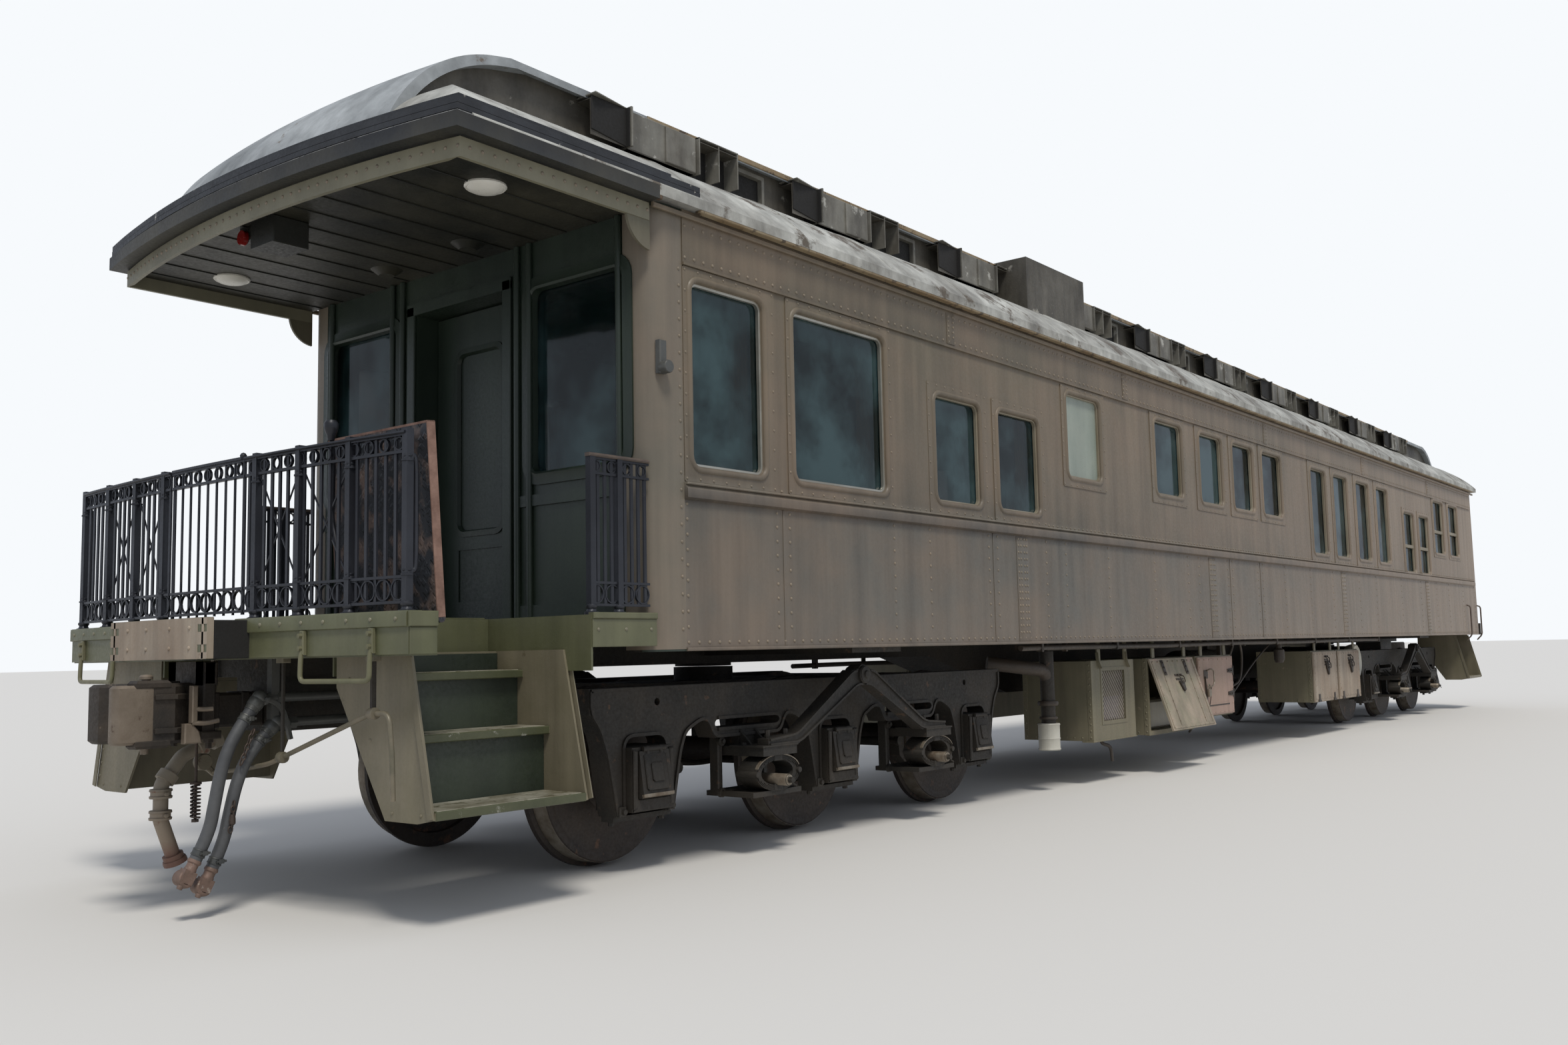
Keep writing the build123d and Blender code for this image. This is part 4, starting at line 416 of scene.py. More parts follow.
def mouldings(box, steps, radius=0.055):
    """A rounded rectangle grown by each margin, at its depth."""
    return [grown(box, by, radius, depth) for by, depth in steps]


# Glass edges behind the bulkhead and heights, then the frame plate's edges
FRAMES = (
    ((0.3, 0.875, 2.085, 3.05), (0.23, 0.972, 2.0, 3.122)),
    ((1.15, 2.06, 2.085, 3.05), (1.08, 2.13, 2.0, 3.122)),
    ((2.64, 3.205, 2.085, 2.78), (2.545, 3.3, 2.0, 2.862)),
    ((3.465, 4.055, 2.085, 2.78), (3.385, 4.14, 2.0, 2.862)),
    ((4.535, 5.115, 2.415, 3.055), (4.45, 5.2, 2.33, 3.118)),
    ((6.205, 6.795, 2.415, 3.055), (6.11, 6.87, 2.33, 3.118)),
    ((7.225, 7.78, 2.415, 3.055), (7.12, 7.865, 2.33, 3.118)),
    ((8.075, 8.635, 2.415, 3.055), (7.975, 8.72, 2.33, 3.118)),
    ((8.915, 9.495, 2.415, 3.055), (8.815, 9.57, 2.33, 3.118)),
    ((10.5, 11.04, 2.085, 3.04), (10.405, 11.12, 2.0, 3.118)),
    ((11.345, 11.89, 2.085, 3.04), (11.26, 11.975, 2.0, 3.118)),
    ((12.255, 12.815, 2.085, 3.04), (12.17, 12.9, 2.0, 3.118)),
    ((13.155, 13.7, 2.085, 3.04), (13.07, 13.785, 2.0, 3.118)),
    ((14.465, 15.005, 2.01, 2.815), (14.4, 15.07, 1.998, 2.88)),
    ((15.275, 15.825, 2.01, 2.815), (15.21, 15.89, 1.998, 2.88)),
    ((16.17, 16.78, 2.335, 3.095), (16.1, 16.85, 2.27, 3.13)),
    ((17.11, 17.71, 2.335, 3.095), (17.04, 17.78, 2.27, 3.13)),
)
BRIGHT_EDGES = (0, 1)
frame_shells, trim_shells, frame_heads = [], [], []
for number, (glass, plate) in enumerate(FRAMES):
    g = (BULK + glass[0], BULK + glass[1], glass[2], glass[3])
    p = (BULK + plate[0], BULK + plate[1], plate[2], plate[3])
    face = SIDE - 0.006
    frame_shells.append(hoop([
        (*p, 0.012, SIDE), (*p, 0.012, face),
        *mouldings(g, ((0.036, face), (0.03, face - 0.008), (0.02, face - 0.011), (0.009, face - 0.007),
        (0.002, face + 0.004), (-0.004, SIDE + 0.03), (0.0, SIDE + 0.03), (0.004, SIDE + 0.002))),
    ]))
    inset = -0.014 if number in BRIGHT_EDGES else -0.009
    trim_shells.append(hoop([
        grown(g, -0.001, 0.055, SIDE + 0.012), grown(g, inset, 0.05, SIDE + 0.014),
        grown(g, inset, 0.05, SIDE + 0.034), grown(g, -0.001, 0.055, SIDE + 0.034),
    ]))
    wide, tall = p[1] - p[0], p[3] - p[2]
    off = 0.016
    across, rise = max(round((wide - 2 * off) / 0.1), 2), max(round((tall - 2 * off) / 0.105), 2)
    for z in (p[2] + off, p[3] - off):
        frame_heads.append(row((p[0] + off, face, z), (p[1] - off, face, z), across + 1))
    for x in (p[0] + off, p[1] - off):
        frame_heads.append(row((x, face, p[2] + off), (x, face, p[3] - off), rise + 1)[1:-1])
frame_shells.append(block(2.13, 2.545, SIDE - 0.003, SIDE, 1.998, 3.12, 0.001))
bright_edge = weathered("bright_edge", ((190, 188, 178), (150, 146, 134)), rough=(0.3, 0.5), metallic=0.7)
old_edge = weathered("old_edge", ((120, 110, 90), (150, 142, 124)), rough=(0.4, 0.6), metallic=0.2)
pair("window_frames", frame_shells, side_paint)
for name, chosen, look in (("bright", trim_shells[:2], bright_edge), ("old", trim_shells[2:], old_edge)):
    pair(f"window_{name}_edges", chosen, look)
pair("frame_rivets", [scatter(RIVET, np.concatenate(frame_heads), (0, -1, 0), 0.0075)], rivet_paint, closed=False)

# Meeting rails of the two-part sashes near the front, and their inner stiles
sashes = []
for number, rail in ((13, 2.36), (14, 2.36), (15, 2.65), (16, 2.67)):
    glass = FRAMES[number][0]
    sashes.append(bar(BULK + glass[0], BULK + glass[1], SIDE + 0.008, SIDE + 0.036, rail - 0.022, rail + 0.022,
        0.004))
    for x in (glass[0], glass[1] - 0.028):
        sashes.append(bar(BULK + x, BULK + x + 0.028, SIDE + 0.014, SIDE + 0.036, glass[2], glass[3], 0.004))
pair("sash_rails", sashes, old_edge)

pane = bpy.data.materials.new("old_glass")
pane.use_nodes = True
pane_skin = pane.node_tree.nodes["Principled BSDF"]
pane_skin.inputs["Base Color"].default_value = tone(38, 62, 62)
pane_skin.inputs["Roughness"].default_value = 0.06
pane_skin.inputs["Specular IOR Level"].default_value = 0.55
pane_where = shader(pane.node_tree, "ShaderNodeTexCoord").outputs["Object"]
pane_haze = noise(pane.node_tree, pane_where, 1.3, 5.0, 0.6)
pane_share = ranged(pane.node_tree, pane_haze, 0.4, 0.62, 0.62, 0.9)
pane_tint = ranged(pane.node_tree, pane_haze, 0.42, 0.6)
pane_mix = mixed_colour(pane.node_tree, pane_tint, tone(15, 28, 28), tone(50, 72, 74))
pane.node_tree.links.new(pane_share, pane_skin.inputs["Alpha"])
pane.node_tree.links.new(pane_mix, pane_skin.inputs["Base Color"])
dress(pane, "glass_right", "glass_left", "glass_ends")

# The fifth pane on each side is frosted, for the washroom
frosted = weathered("frosted_glass", ((128, 138, 128), (146, 152, 140)), rough=(0.25, 0.4), streak=0.1,
    grain=160.0, bump=0.3)
x0, x1, z0, z1 = FRAMES[4][0]
shell = [slab(rounded(BULK + x0 + 0.002, BULK + x1 - 0.002, z0 + 0.002, z1 - 0.002, 0.053), SIDE + 0.028,
    SIDE + 0.031, "y", 0.001)]
pair("frosted_pane", shell, frosted)


# Curtains: ochre cloth gathered at the front edge of the saloon windows, hung from a rod
def curtain(name, x0, x1, z0, z1, y, folds, seed):
    """Pleats: depth is a sine of the place along the rod that grows to the hem, each fold a little
    different, and the cloth draws in slightly at mid-height."""
    u, v = np.meshgrid(np.linspace(0, 1, folds * 8 + 1), np.linspace(0, 1, 17))
    wander = 0.4 * np.sin(2.1 * math.pi * u + seed) + 0.25 * np.sin(5.3 * u * math.pi + 2 * seed)
    waist = 1 - 0.16 * np.sin(math.pi * np.clip(v * 1.1, 0, 1)) * (1 - u)
    x = x1 - (x1 - x0) * (1 - u) * waist
    depth = 0.014 * (0.55 + 0.45 * v) * np.sin(2 * math.pi * folds * u + wander)
    z = z1 - (z1 - z0) * v
    points = np.stack([x, y + depth + 0.004 * np.sin(3 * v + 6 * u), z], -1)
    rows, columns = u.shape
    i, j = np.meshgrid(np.arange(rows - 1), np.arange(columns - 1), indexing="ij")
    a = (i * columns + j).ravel()
    quads = np.stack([a, a + 1, a + columns + 1, a + columns], -1).tolist()
    made = piece(name, [(points.reshape(-1, 3), quads)], curtain_cloth, closed=False, sharp=180)
    thick = made.modifiers.new("cloth", "SOLIDIFY")
    thick.thickness = 0.0016
    return made


curtain_cloth = weathered("ochre_cloth", ((148, 116, 58), (122, 92, 44)), rough=(0.85, 0.95), streak=0.12,
    grain=240.0, bump=0.35, stretch=0.15)
CURTAINS = ((0.705, 0.88, 2.08, 3.05, 4), (1.9, 2.062, 2.08, 2.98, 4), (3.035, 3.205, 2.08, 2.79, 4),
    (3.9, 4.06, 2.08, 2.79, 4))
rods = [bar(BULK + g[0] - 0.02, BULK + g[1] + 0.02, SIDE + 0.112, SIDE + 0.118, g[3] + 0.006, g[3] + 0.016, 0.001)
    for g, _ in FRAMES[:4]]
piece("curtain_rods", rods + other_side(rods), old_edge)
for number, (x0, x1, z0, z1, folds) in enumerate(CURTAINS):
    curtain(f"curtain_right_{number + 1}", BULK + x0, BULK + x1, z0, z1 + 0.01, SIDE + 0.115, folds, number + 1.0)
    curtain(f"curtain_left_{number + 1}", BULK + x0, BULK + x1, z0, z1 + 0.01, -SIDE - 0.115, folds, number + 5.0)


# Roof
# Canvas and sheet over wood, painted many times. The lower deck has bleached to a chalky grey that washes
# down over brown, the upper deck is darker at its crown, and sheet seams cross both at even spacing.
roof_chalk = weathered("roof_chalk", ((176, 176, 170), (120, 118, 112)), rough=(0.6, 0.85), streak=0.25,
    cloud=2.4, spots=((92, 84, 74), 3.2, 0.56), bump=0.3, stretch=0.5)
roof_grey = weathered("roof_grey", ((158, 162, 164), (118, 122, 124)), rough=(0.55, 0.8), streak=0.2, cloud=1.4,
    spots=((104, 92, 78), 5.0, 0.62), bump=0.2, stretch=1.0)
roof_brown = weathered("roof_brown", ((92, 88, 80), (62, 58, 50)), rough=(0.5, 0.75), streak=0.3, cloud=2.0,
    spots=((150, 146, 136), 6.0, 0.63), bump=0.2, stretch=0.2)
dress(roof_chalk, "roof_lower")
dress(roof_grey, "roof_upper", "hood_rear", "hood_front")
dress(roof_brown, "clerestory", "roof_gear")
CROWN, CROWN_EDGE, CROWN_HALF = 4.33, 4.15, 1.01


def crown_z(y):
    """Height of the upper deck: the circle through both of its edges and its crown."""
    rise = CROWN - CROWN_EDGE
    radius = (CROWN_HALF ** 2 + rise ** 2) / (2 * rise)
    return CROWN - radius + np.sqrt(radius ** 2 - np.asarray(y) ** 2)


def deck_z(y):
    """Height of the lower deck on one side: the circle through its eave, its bulge and its foot."""
    p = np.array([(1.6, 3.475), (1.29, 3.7395), (0.94, 3.88)])
    a = 2 * (p[1:] - p[0])
    b = np.sum(p[1:] ** 2 - p[0] ** 2, 1)
    centre = np.linalg.solve(a, b)
    radius = np.linalg.norm(p[0] - centre)
    return centre[1] + np.sqrt(np.maximum(radius ** 2 - (np.abs(y) - centre[0]) ** 2, 0))


def rib(x, y, z, half_width, height):
    """A low seam across a deck: a flat-topped strip carried along the deck's line (y, z)."""
    shape = np.array([(-half_width, -0.006), (half_width, -0.006), (half_width * 0.7, height),
        (-half_width * 0.7, height)])
    rings = [np.stack([x + shape[:, 0], np.full(4, yy), zz + shape[:, 1]], -1) for yy, zz in zip(y, z)]
    return loft(rings)


seams = []
for bay in range(21):
    x = BULK + 0.2 + 0.9 * bay
    ys = np.linspace(-1.0, 1.0, 15)
    seams.append(rib(x, ys, crown_z(ys), 0.012, 0.006))
    for side in (-1, 1):
        ys = side * np.linspace(0.96, 1.585, 9)
        seams.append(rib(x + 0.1, ys, deck_z(ys), 0.014, 0.006))
piece("roof_seams", seams, roof_chalk)

# Edge strip of the upper deck, and the gutter line of the lower deck
edge_strips = []
for side in (-1, 1):
    y0, y1 = sorted((side * 0.985, side * 1.018))
    edge_strips.append(block(0.52, 17.2, y0, y1, 4.118, 4.152, 0.004))
    y0, y1 = sorted((side * 1.552, side * 1.598))
    edge_strips.append(block(0.31, 18.7, y0, y1, 3.408, 3.424, 0.004))
rim_worn = weathered("rim_worn", ((118, 96, 66), (146, 132, 106)), rough=(0.5, 0.7), cloud=4.0,
    spots=((74, 62, 48), 12.0, 0.55), bump=0.2)
piece("roof_edge_strips", edge_strips, rim_worn)

# Clerestory: sheet-metal vent scoops, solid boxes, slotted compartments and tall dark panes in each bay; black
# sheets inside the scoops and compartments are painted shade
vent_paint = weathered("vent_paint", ((120, 118, 110), (84, 80, 72)), rough=(0.45, 0.7), streak=0.3, cloud=3.0,
    spots=((168, 166, 158), 7.0, 0.6), bump=0.15, stretch=0.25)
# Flat black: painted shade inside the vents and behind the buffer plate's ends, and the dark clerestory panes
shade_and_pane_black = weathered("shade_and_pane_black", ((22, 21, 19), (30, 28, 26)), rough=(0.7, 0.9))
WALL_Y = 0.94
vents, painted_shade_sheets, panes = [], [], []
y, out, roof_at = -WALL_Y, -WALL_Y - 0.15, 4.125
for bay in range(10):
    x = BULK + 0.33 + 1.74 * bay
    # Scoop: open towards the rear, its top flaring to the mouth and its side in shadow, the shadow painted on
    # black sheets
    vents.append(slab([(x - 0.28, y), (x - 0.28, out), (x, out + 0.04), (x, y)], roof_at - 0.008, roof_at, "z",
        0.002))
    painted_shade_sheets.append(slab([(x - 0.276, 3.93), (x - 0.014, 3.902), (x - 0.014, roof_at - 0.01),
        (x - 0.276, roof_at - 0.01)], y - 0.112, y - 0.104, "y", 0.002))
    vents.append(bar(x - 0.012, x, out, y, 3.9, roof_at, 0.002))
    painted_shade_sheets.append(bar(x - 0.02, x - 0.014, out + 0.01, y, 3.9, roof_at - 0.008, 0.001))
    # Solid box with a proud cover
    vents += [bar(x, x + 0.55, y - 0.1, y, 3.9, roof_at, 0.006),
        bar(x + 0.3, x + 0.545, y - 0.115, y - 0.09, 3.905, roof_at - 0.01, 0.004)]
    # Two open compartments between thin plates, each with a black sheet at its back as painted shade
    for step in (0.56, 0.73, 0.9):
        vents.append(bar(x + step, x + step + 0.008, y - 0.13, y, 3.9, roof_at, 0.002))
    vents.append(bar(x + 0.56, x + 0.91, y - 0.13, y, roof_at - 0.008, roof_at, 0.002))
    painted_shade_sheets.append(bar(x + 0.565, x + 0.9, y - 0.02, y - 0.014, 3.895, roof_at - 0.008, 0.001))
    # Window in its frame
    panes.append(bar(x + 0.945, x + 1.275, y + 0.02, y + 0.026, 3.91, 4.095, 0.001))
    vents.append(hoop([(x + 0.93, x + 1.29, 3.895, 4.105, 0.006, y - 0.004), (x + 0.93, x + 1.29, 3.895, 4.105,
        0.006, y - 0.016), (x + 0.955, x + 1.265, 3.92, 4.08, 0.006, y - 0.016), (x + 0.955, x + 1.265, 3.92,
        4.08, 0.006, y + 0.018), (x + 0.93, x + 1.29, 3.895, 4.105, 0.006, y + 0.018)]))
pair("vent_boxes", vents, vent_paint)
pair("vent_painted_shade", painted_shade_sheets, shade_and_pane_black)
pair("clerestory_panes", panes, shade_and_pane_black)


# Canopy over the platform
# Black tarred strips lap round the edge of the canopy above a riveted steel fascia. The ceiling is
# near-black boards with round lamps.
CORNER_X, CANOPY_X, CANOPY_HALF = BULK - 1.17, BULK - 1.33, 1.525


def bow_x(y, corner=CORNER_X, middle=CANOPY_X, half=CANOPY_HALF):
    """The bowed end in plan: the circle through both corners and the middle."""
    rise = corner - middle
    radius = (half ** 2 + rise ** 2) / (2 * rise)
    return middle + radius - np.sqrt(radius ** 2 - np.asarray(y, float) ** 2)


canopy_paint = weathered("canopy_paint", ((96, 94, 74), (78, 74, 60)), rough=(0.45, 0.65), streak=0.12, bump=0.1,
    levels=((3.15, (104, 98, 82)), (3.32, (98, 94, 76)), (3.34, (92, 88, 70)), (3.3405, (19, 20, 15)),
    (3.399, (19, 20, 15)), (3.4005, (40, 42, 44)), (3.47, (26, 27, 30)), (3.54, (52, 54, 58))))
dress(canopy_paint, "canopy")
tar = weathered("tarred_strips", ((44, 46, 50), (28, 29, 32)), rough=(0.4, 0.65), cloud=6.0,
    spots=((176, 172, 164), 10.0, 0.66), bump=0.35)


def round_edge(z0, z1, out, thick, front):
    """A strip carried along the canopy's side, round its corner, along the bow and back."""
    half = CANOPY_HALF + out
    ys = np.linspace(-half, half, 41)
    xs = bow_x(ys, CORNER_X - out, CANOPY_X - out, half)
    line = np.concatenate([[(front, -half)], np.stack([xs, ys], -1), [(front, half)]])
    run = np.gradient(line, axis=0)
    run /= np.linalg.norm(run, axis=1, keepdims=True)
    normal = np.stack([run[:, 1], -run[:, 0]], -1)
    inner = line + normal * thick
    rings = []
    for (x, y), (xi, yi) in zip(line, inner):
        rings.append([(x, y, z0), (x, y, z1), (xi, yi, z1), (xi, yi, z0)])
    return loft(rings)


strips = [round_edge(3.482, 3.508, 0.066, 0.03, BULK + 0.31),
    round_edge(3.511, 3.538, 0.0645, 0.03, BULK + 0.31),
    round_edge(3.536, 3.566, 0.04, 0.05, BULK + 0.12)]
piece("canopy_rim_strips", strips, tar)
rim_white = weathered("rim_white", ((176, 176, 174), (108, 108, 110)), rough=(0.5, 0.75), cloud=9.0, bump=0.3,
    spots=((44, 46, 50), 16.0, 0.55))
rim_wood = weathered("rim_wood", ((104, 80, 54), (72, 60, 48)), rough=(0.55, 0.8), cloud=5.0, bump=0.3,
    spots=((48, 46, 44), 9.0, 0.54))
piece("canopy_white_strip", [round_edge(3.449, 3.465, 0.0745, 0.03, BULK + 0.02), round_edge(3.467, 3.478, 0.0655,
    0.03, BULK + 0.31)], rim_white)
piece("canopy_wood_strips", [round_edge(3.401, 3.421, 0.0745, 0.03, BULK + 0.02), round_edge(3.425, 3.445, 0.0742,
    0.03, BULK + 0.02)], rim_wood)
fascia_paint = weathered("fascia_paint", ((126, 122, 102), (108, 104, 86)), rough=(0.4, 0.6), streak=0.08,
    bump=0.1)
fascia_run = np.linspace(-1.515, 1.515, 46)
heads = [np.stack([bow_x(fascia_run) - 0.004, fascia_run, np.full(46, 3.352)], -1)]
for side in (-1, 1):
    heads.append(row((CORNER_X + 0.05, side * 1.529, 3.352), (BULK - 0.02, side * 1.529, 3.352), 17))
spots = np.concatenate(heads)
out_way = np.concatenate([np.tile((-1.0, 0, 0), (46, 1)), np.tile((0, -1.0, 0), (17, 1)),
    np.tile((0, 1.0, 0), (17, 1))])
rivets("fascia_rivets", spots, out_way, rivet_paint)
piece("fascia_plate", [round_edge(3.302, 3.392, 0.004, 0.022, BULK - 0.005)], fascia_paint)


def turned(profile, centre, axis, sides=24):
    """A turned piece: a profile of (radius, place along the axis) carried round the axis."""
    turn = np.linspace(0, 2 * math.pi, sides, endpoint=False)
    return loft([on_axis(axis, along, max(r, 1e-4) * np.cos(turn),
        max(r, 1e-4) * np.sin(turn)) + np.asarray(centre, float) for r, along in profile])


lamp_white = weathered("lamp_glass", ((232, 230, 222), (206, 202, 190)), rough=(0.25, 0.4), bump=0.02)
lamps = []
for y in (-1.16, 1.16):
    lamps.append(turned([(0.1, 3.375), (0.102, 3.366), (0.094, 3.358), (0.088, 3.36), (0.07, 3.346),
        (0.04, 3.339), (0.0, 3.337)], (BULK - 0.74, y, 0), "z"))
piece("ceiling_lamps", lamps, lamp_white)
green_dark = weathered("dark_green", ((30, 40, 33), (40, 50, 40)), rough=(0.3, 0.5), streak=0.15, bump=0.08)
boards = []
for n in range(13):
    y = -1.38 + 0.23 * n
    boards.append(bar(max(float(bow_x(y)) + 0.05, BULK - 1.3), BULK - 0.01, y - 0.004, y + 0.004, 3.369, 3.3755,
        0.002))
boards += [block(-1.19, -0.99, -0.06, 0.16, 3.235, 3.375, 0.006),
    block(-1.17, -1.13, 0.16, 0.3, 3.3, 3.375, 0.004)]
ceiling_black = weathered("ceiling_black", ((20, 21, 16), (30, 31, 24)), rough=(0.4, 0.65), bump=0.08)
piece("ceiling_beads", boards, ceiling_black)
red_glass = weathered("red_glass", ((120, 22, 20), (90, 16, 16)), rough=(0.15, 0.3), bump=0.0)
piece("marker_lens", [turned([(0.038, -0.022), (0.04, 0.0), (0.03, 0.01), (0.0, 0.014)],
    (BULK - 1.172, 0.245, 3.315), "x")], red_glass)


# End wall and doors
# The bulkhead behind the platform is dark green steel with round pilasters beside its windows, a recessed
# door and riveted corner columns that keep the brown of the sides.
end_paint = weathered("end_paint", ((104, 98, 86), (118, 106, 92)), rough=(0.4, 0.6), streak=0.12, bump=0.1)
dress(green_dark, "end_rear", "door_rear", "door_front")
dress(side_paint, "end_front")
corner_skins = []
for side in (-1, 1):
    turn = np.linspace(0, math.pi / 2, 9)
    arc = np.stack([BULK + 0.125 - 0.1265 * np.sin(turn), side * (1.4 + 0.1265 * np.cos(turn))], -1)
    line = np.concatenate([[(BULK + 0.229, side * 1.5265)], arc, [(BULK - 0.0015, side * 1.33)]])
    inner = np.concatenate([[(BULK + 0.229, side * 1.5235)],
        np.stack([BULK + 0.125 - 0.1235 * np.sin(turn), side * (1.4 + 0.1235 * np.cos(turn))], -1),
        [(BULK + 0.0015, side * 1.33)]])
    ring = np.concatenate([line, inner[::-1]])
    corner_skins.append(loft([np.column_stack([ring, np.full(len(ring), z)]) for z in (1.15, 1.9, 2.6, 3.398)]))
piece("corner_columns", corner_skins, end_paint)
spots = np.concatenate([row((BULK + 0.205, side * 1.5265, 1.25), (BULK + 0.205, side * 1.5265, 3.1), 22)
    for side in (-1, 1)])
rivets("corner_rivets", spots, np.sign(spots) * (0, 1, 0), rivet_paint)
trim = []
for middle, width in ((0.935, 0.69), (-0.98, 0.7)):
    steps = ((0.07, 0.0), (0.07, -0.012), (0.03, -0.014), (0.012, -0.02), (0.0, -0.01), (-0.004, 0.03),
        (0.004, 0.03))
    opening = (middle - width / 2, middle + width / 2, 2.11, 3.11)
    trim.append(hoop(mouldings(opening, [(by, BULK + at) for by, at in steps]), "x"))
for y in (-1.31, -0.62, -0.52, 0.52, 0.62, 1.26):
    trim.append(turned([(0.018, 1.325), (0.018, 3.372)], (BULK - 0.012, y, 0), "z", 10))
for side in (-1, 1):
    trim += [block(-0.02, 0.0, side * 0.4, side * 0.47, 1.322, 3.2, 0.005),
        block(-0.012, 0.0, side * 0.5, side * 1.33, 1.335, 1.4, 0.004),
        block(-0.012, 0.0, side * 0.5, side * 1.33, 1.93, 1.99, 0.004)]
trim.append(block(-0.02, 0.0, -0.47, 0.47, 3.15, 3.22, 0.005))
piece("bulkhead_trim", trim, green_dark)
for door, front in (("door_rear", BULK + 0.15), ("door_front", FRONT - 0.042)):
    sign = -1 if door == "door_rear" else 1
    steps = ((0.035, 0.0), (0.035, 0.008), (0.004, 0.01), (-0.006, -0.012), (0.002, -0.012))
    parts = [hoop(mouldings((-0.195, 0.195, 1.86, 2.9), [(by, front + sign * at) for by, at in steps]), "x"),
        turned([(0.0, 0), (0.026, 0.002), (0.03, 0.014), (0.024, 0.03), (0.0, 0.036)],
            (front + (0 if sign > 0 else -0.036), -0.34, 2.02), "x", 14)]
    piece(f"{door}_trim", parts, green_dark, body=door)
socket = [turned([(0.03, 0), (0.034, 0.006), (0.034, 0.05), (0.02, 0.056), (0.0, 0.057)],
        (BULK + 0.07, -1.585, 2.56), "y", 14),
    block(0.045, 0.095, -1.545, -1.505, 2.53, 2.7, 0.006)]
grey_iron = weathered("grey_iron", ((70, 72, 72), (98, 98, 94)), rough=(0.35, 0.6), metallic=0.5, bump=0.15)
piece("corner_socket", socket, grey_iron)


# Platform, steps and traps
# Olive-painted steel: a covered end sill with stirrup handholds, a buffer plate pierced by square holes,
# steps between slanted side plates, and lids of raised-pattern plate with rusted edges.
olive = weathered("olive_paint", ((92, 92, 66), (112, 108, 84)), rough=(0.4, 0.62), streak=0.14, bump=0.1,
    spots=((128, 116, 96), 5.0, 0.66))
# Riser green: a greener paint darkened by the shade on the risers, painted in
step_green_and_shade = weathered("step_green_and_shade", ((30, 38, 30), (50, 58, 44)), rough=(0.35, 0.6), streak=0.12, bump=0.1)
cover_olive = weathered("cover_olive", ((80, 82, 56), (96, 96, 72)), rough=(0.35, 0.55), streak=0.12, bump=0.1,
    spots=((128, 118, 96), 6.0, 0.68))
stringer_olive = weathered("stringer_olive", ((104, 98, 78), (122, 114, 96)), rough=(0.4, 0.62), streak=0.16,
    bump=0.1, spots=((84, 76, 58), 5.0, 0.66))
beige = weathered("worn_beige", ((152, 140, 124), (136, 118, 100)), rough=(0.5, 0.75), streak=0.2, bump=0.15,
    spots=((104, 80, 60), 14.0, 0.64))
dress(cover_olive, "platform")
dress(stringer_olive, "steps_right", "steps_left", "steps_front_right", "steps_front_left")
PLATFORM_X, PLATFORM_MIDDLE = BULK - 1.405, BULK - 1.495


def end_x(y):
    """The platform's bowed end in plan."""
    return bow_x(y, PLATFORM_X, PLATFORM_MIDDLE, 1.525)


covers, cover_heads, cover_way = [], [], []
for side in (-1, 1):
    ys = side * np.linspace(0.34, 1.5235, 15)
    rings = []
    for y in ys:
        x = float(end_x(y))
        rings.append([(x - 0.01, y, 1.15), (x - 0.014, y, 1.152), (x - 0.014, y, 1.262), (x - 0.026, y, 1.266),
            (x - 0.026, y, 1.318), (x - 0.018, y, 1.33), (x + 0.05, y, 1.33), (x + 0.05, y, 1.15)])
    covers += [loft(rings),
        bar(PLATFORM_X - 0.012, BULK - 1.282, side * 1.523, side * 1.531, 1.15, 1.262, 0.003),
        bar(PLATFORM_X - 0.02, BULK - 1.282, side * 1.523, side * 1.54, 1.264, 1.328, 0.004)]
    for y in side * np.linspace(0.4, 1.46, 8):
        cover_heads.append((float(end_x(y)) - 0.026, y, 1.297))
        cover_way.append((-1, 0, 0))
    covers += [block(-0.415, 0.012, side * 1.525, side * 1.534, 1.168, 1.3, 0.003),
        block(-0.415, 0.012, side * 1.48, side * 1.543, 1.3, 1.33, 0.005)]
    for x in (-0.38, -0.2, -0.03):
        cover_heads.append((BULK + x, side * 1.534, 1.25))
        cover_way.append((0, side, 0))
covers.append(block(-1.27, -0.43, -0.77, 0.77, 1.319, 1.326, 0.003))
piece("sill_covers", covers, cover_olive)
rivets("sill_rivets", cover_heads, cover_way, fascia_paint)
buffer = [block(-1.702, -1.69, -0.372, 0.372, 1.151, 1.334, 0.003)]
returns = []
for side in (-1, 1):
    # Round the square holes at both ends
    for y0, y1, z0, z1 in ((0.36, 0.372, 1.15, 1.335), (0.406, 0.424, 1.15, 1.335), (0.371, 0.453, 1.152, 1.1805),
            (0.371, 0.453, 1.2145, 1.2705), (0.371, 0.453, 1.3045, 1.333)):
        buffer.append(block(-1.7015, -1.696, side * y0, side * y1, z0, z1, 0.001))
    buffer.append(block(-1.7, -1.668, side * 0.4495, side * 0.4525, 1.152, 1.333, 0.001))
    # The returns are black as painted shade of the recess behind the plate
    returns.append(block(-1.666, -1.49, side * 0.4, side * 0.452, 1.15, 1.322, 0.004))
buffer_heads = [(BULK - 1.702, y, z) for y in (-0.3, -0.12, 0.1, 0.28) for z in (1.2, 1.29)]
piece("buffer_face", buffer, beige)
piece("buffer_returns_painted_shade", returns, shade_and_pane_black)
rivets("buffer_rivets", buffer_heads, (-1, 0, 0), beige, 0.011)


def bent(points, radius, steps=6):
    """A line with its corners eased: each corner becomes a parabola that starts and ends a radius away."""
    p = np.array(points, float)
    line = [p[:1]]
    t = np.linspace(0, 1, steps + 1)[:, None]
    for before, here, after in zip(p, p[1:], p[2:]):
        to_before, to_after = before - here, after - here
        a, b = np.linalg.norm(to_before), np.linalg.norm(to_after)
        s = here + to_before / a * min(radius, 0.45 * a)
        e = here + to_after / b * min(radius, 0.45 * b)
        line.append((1 - t) ** 2 * s + 2 * t * (1 - t) * here + t * t * e)
    line.append(p[-1:])
    return np.concatenate(line)


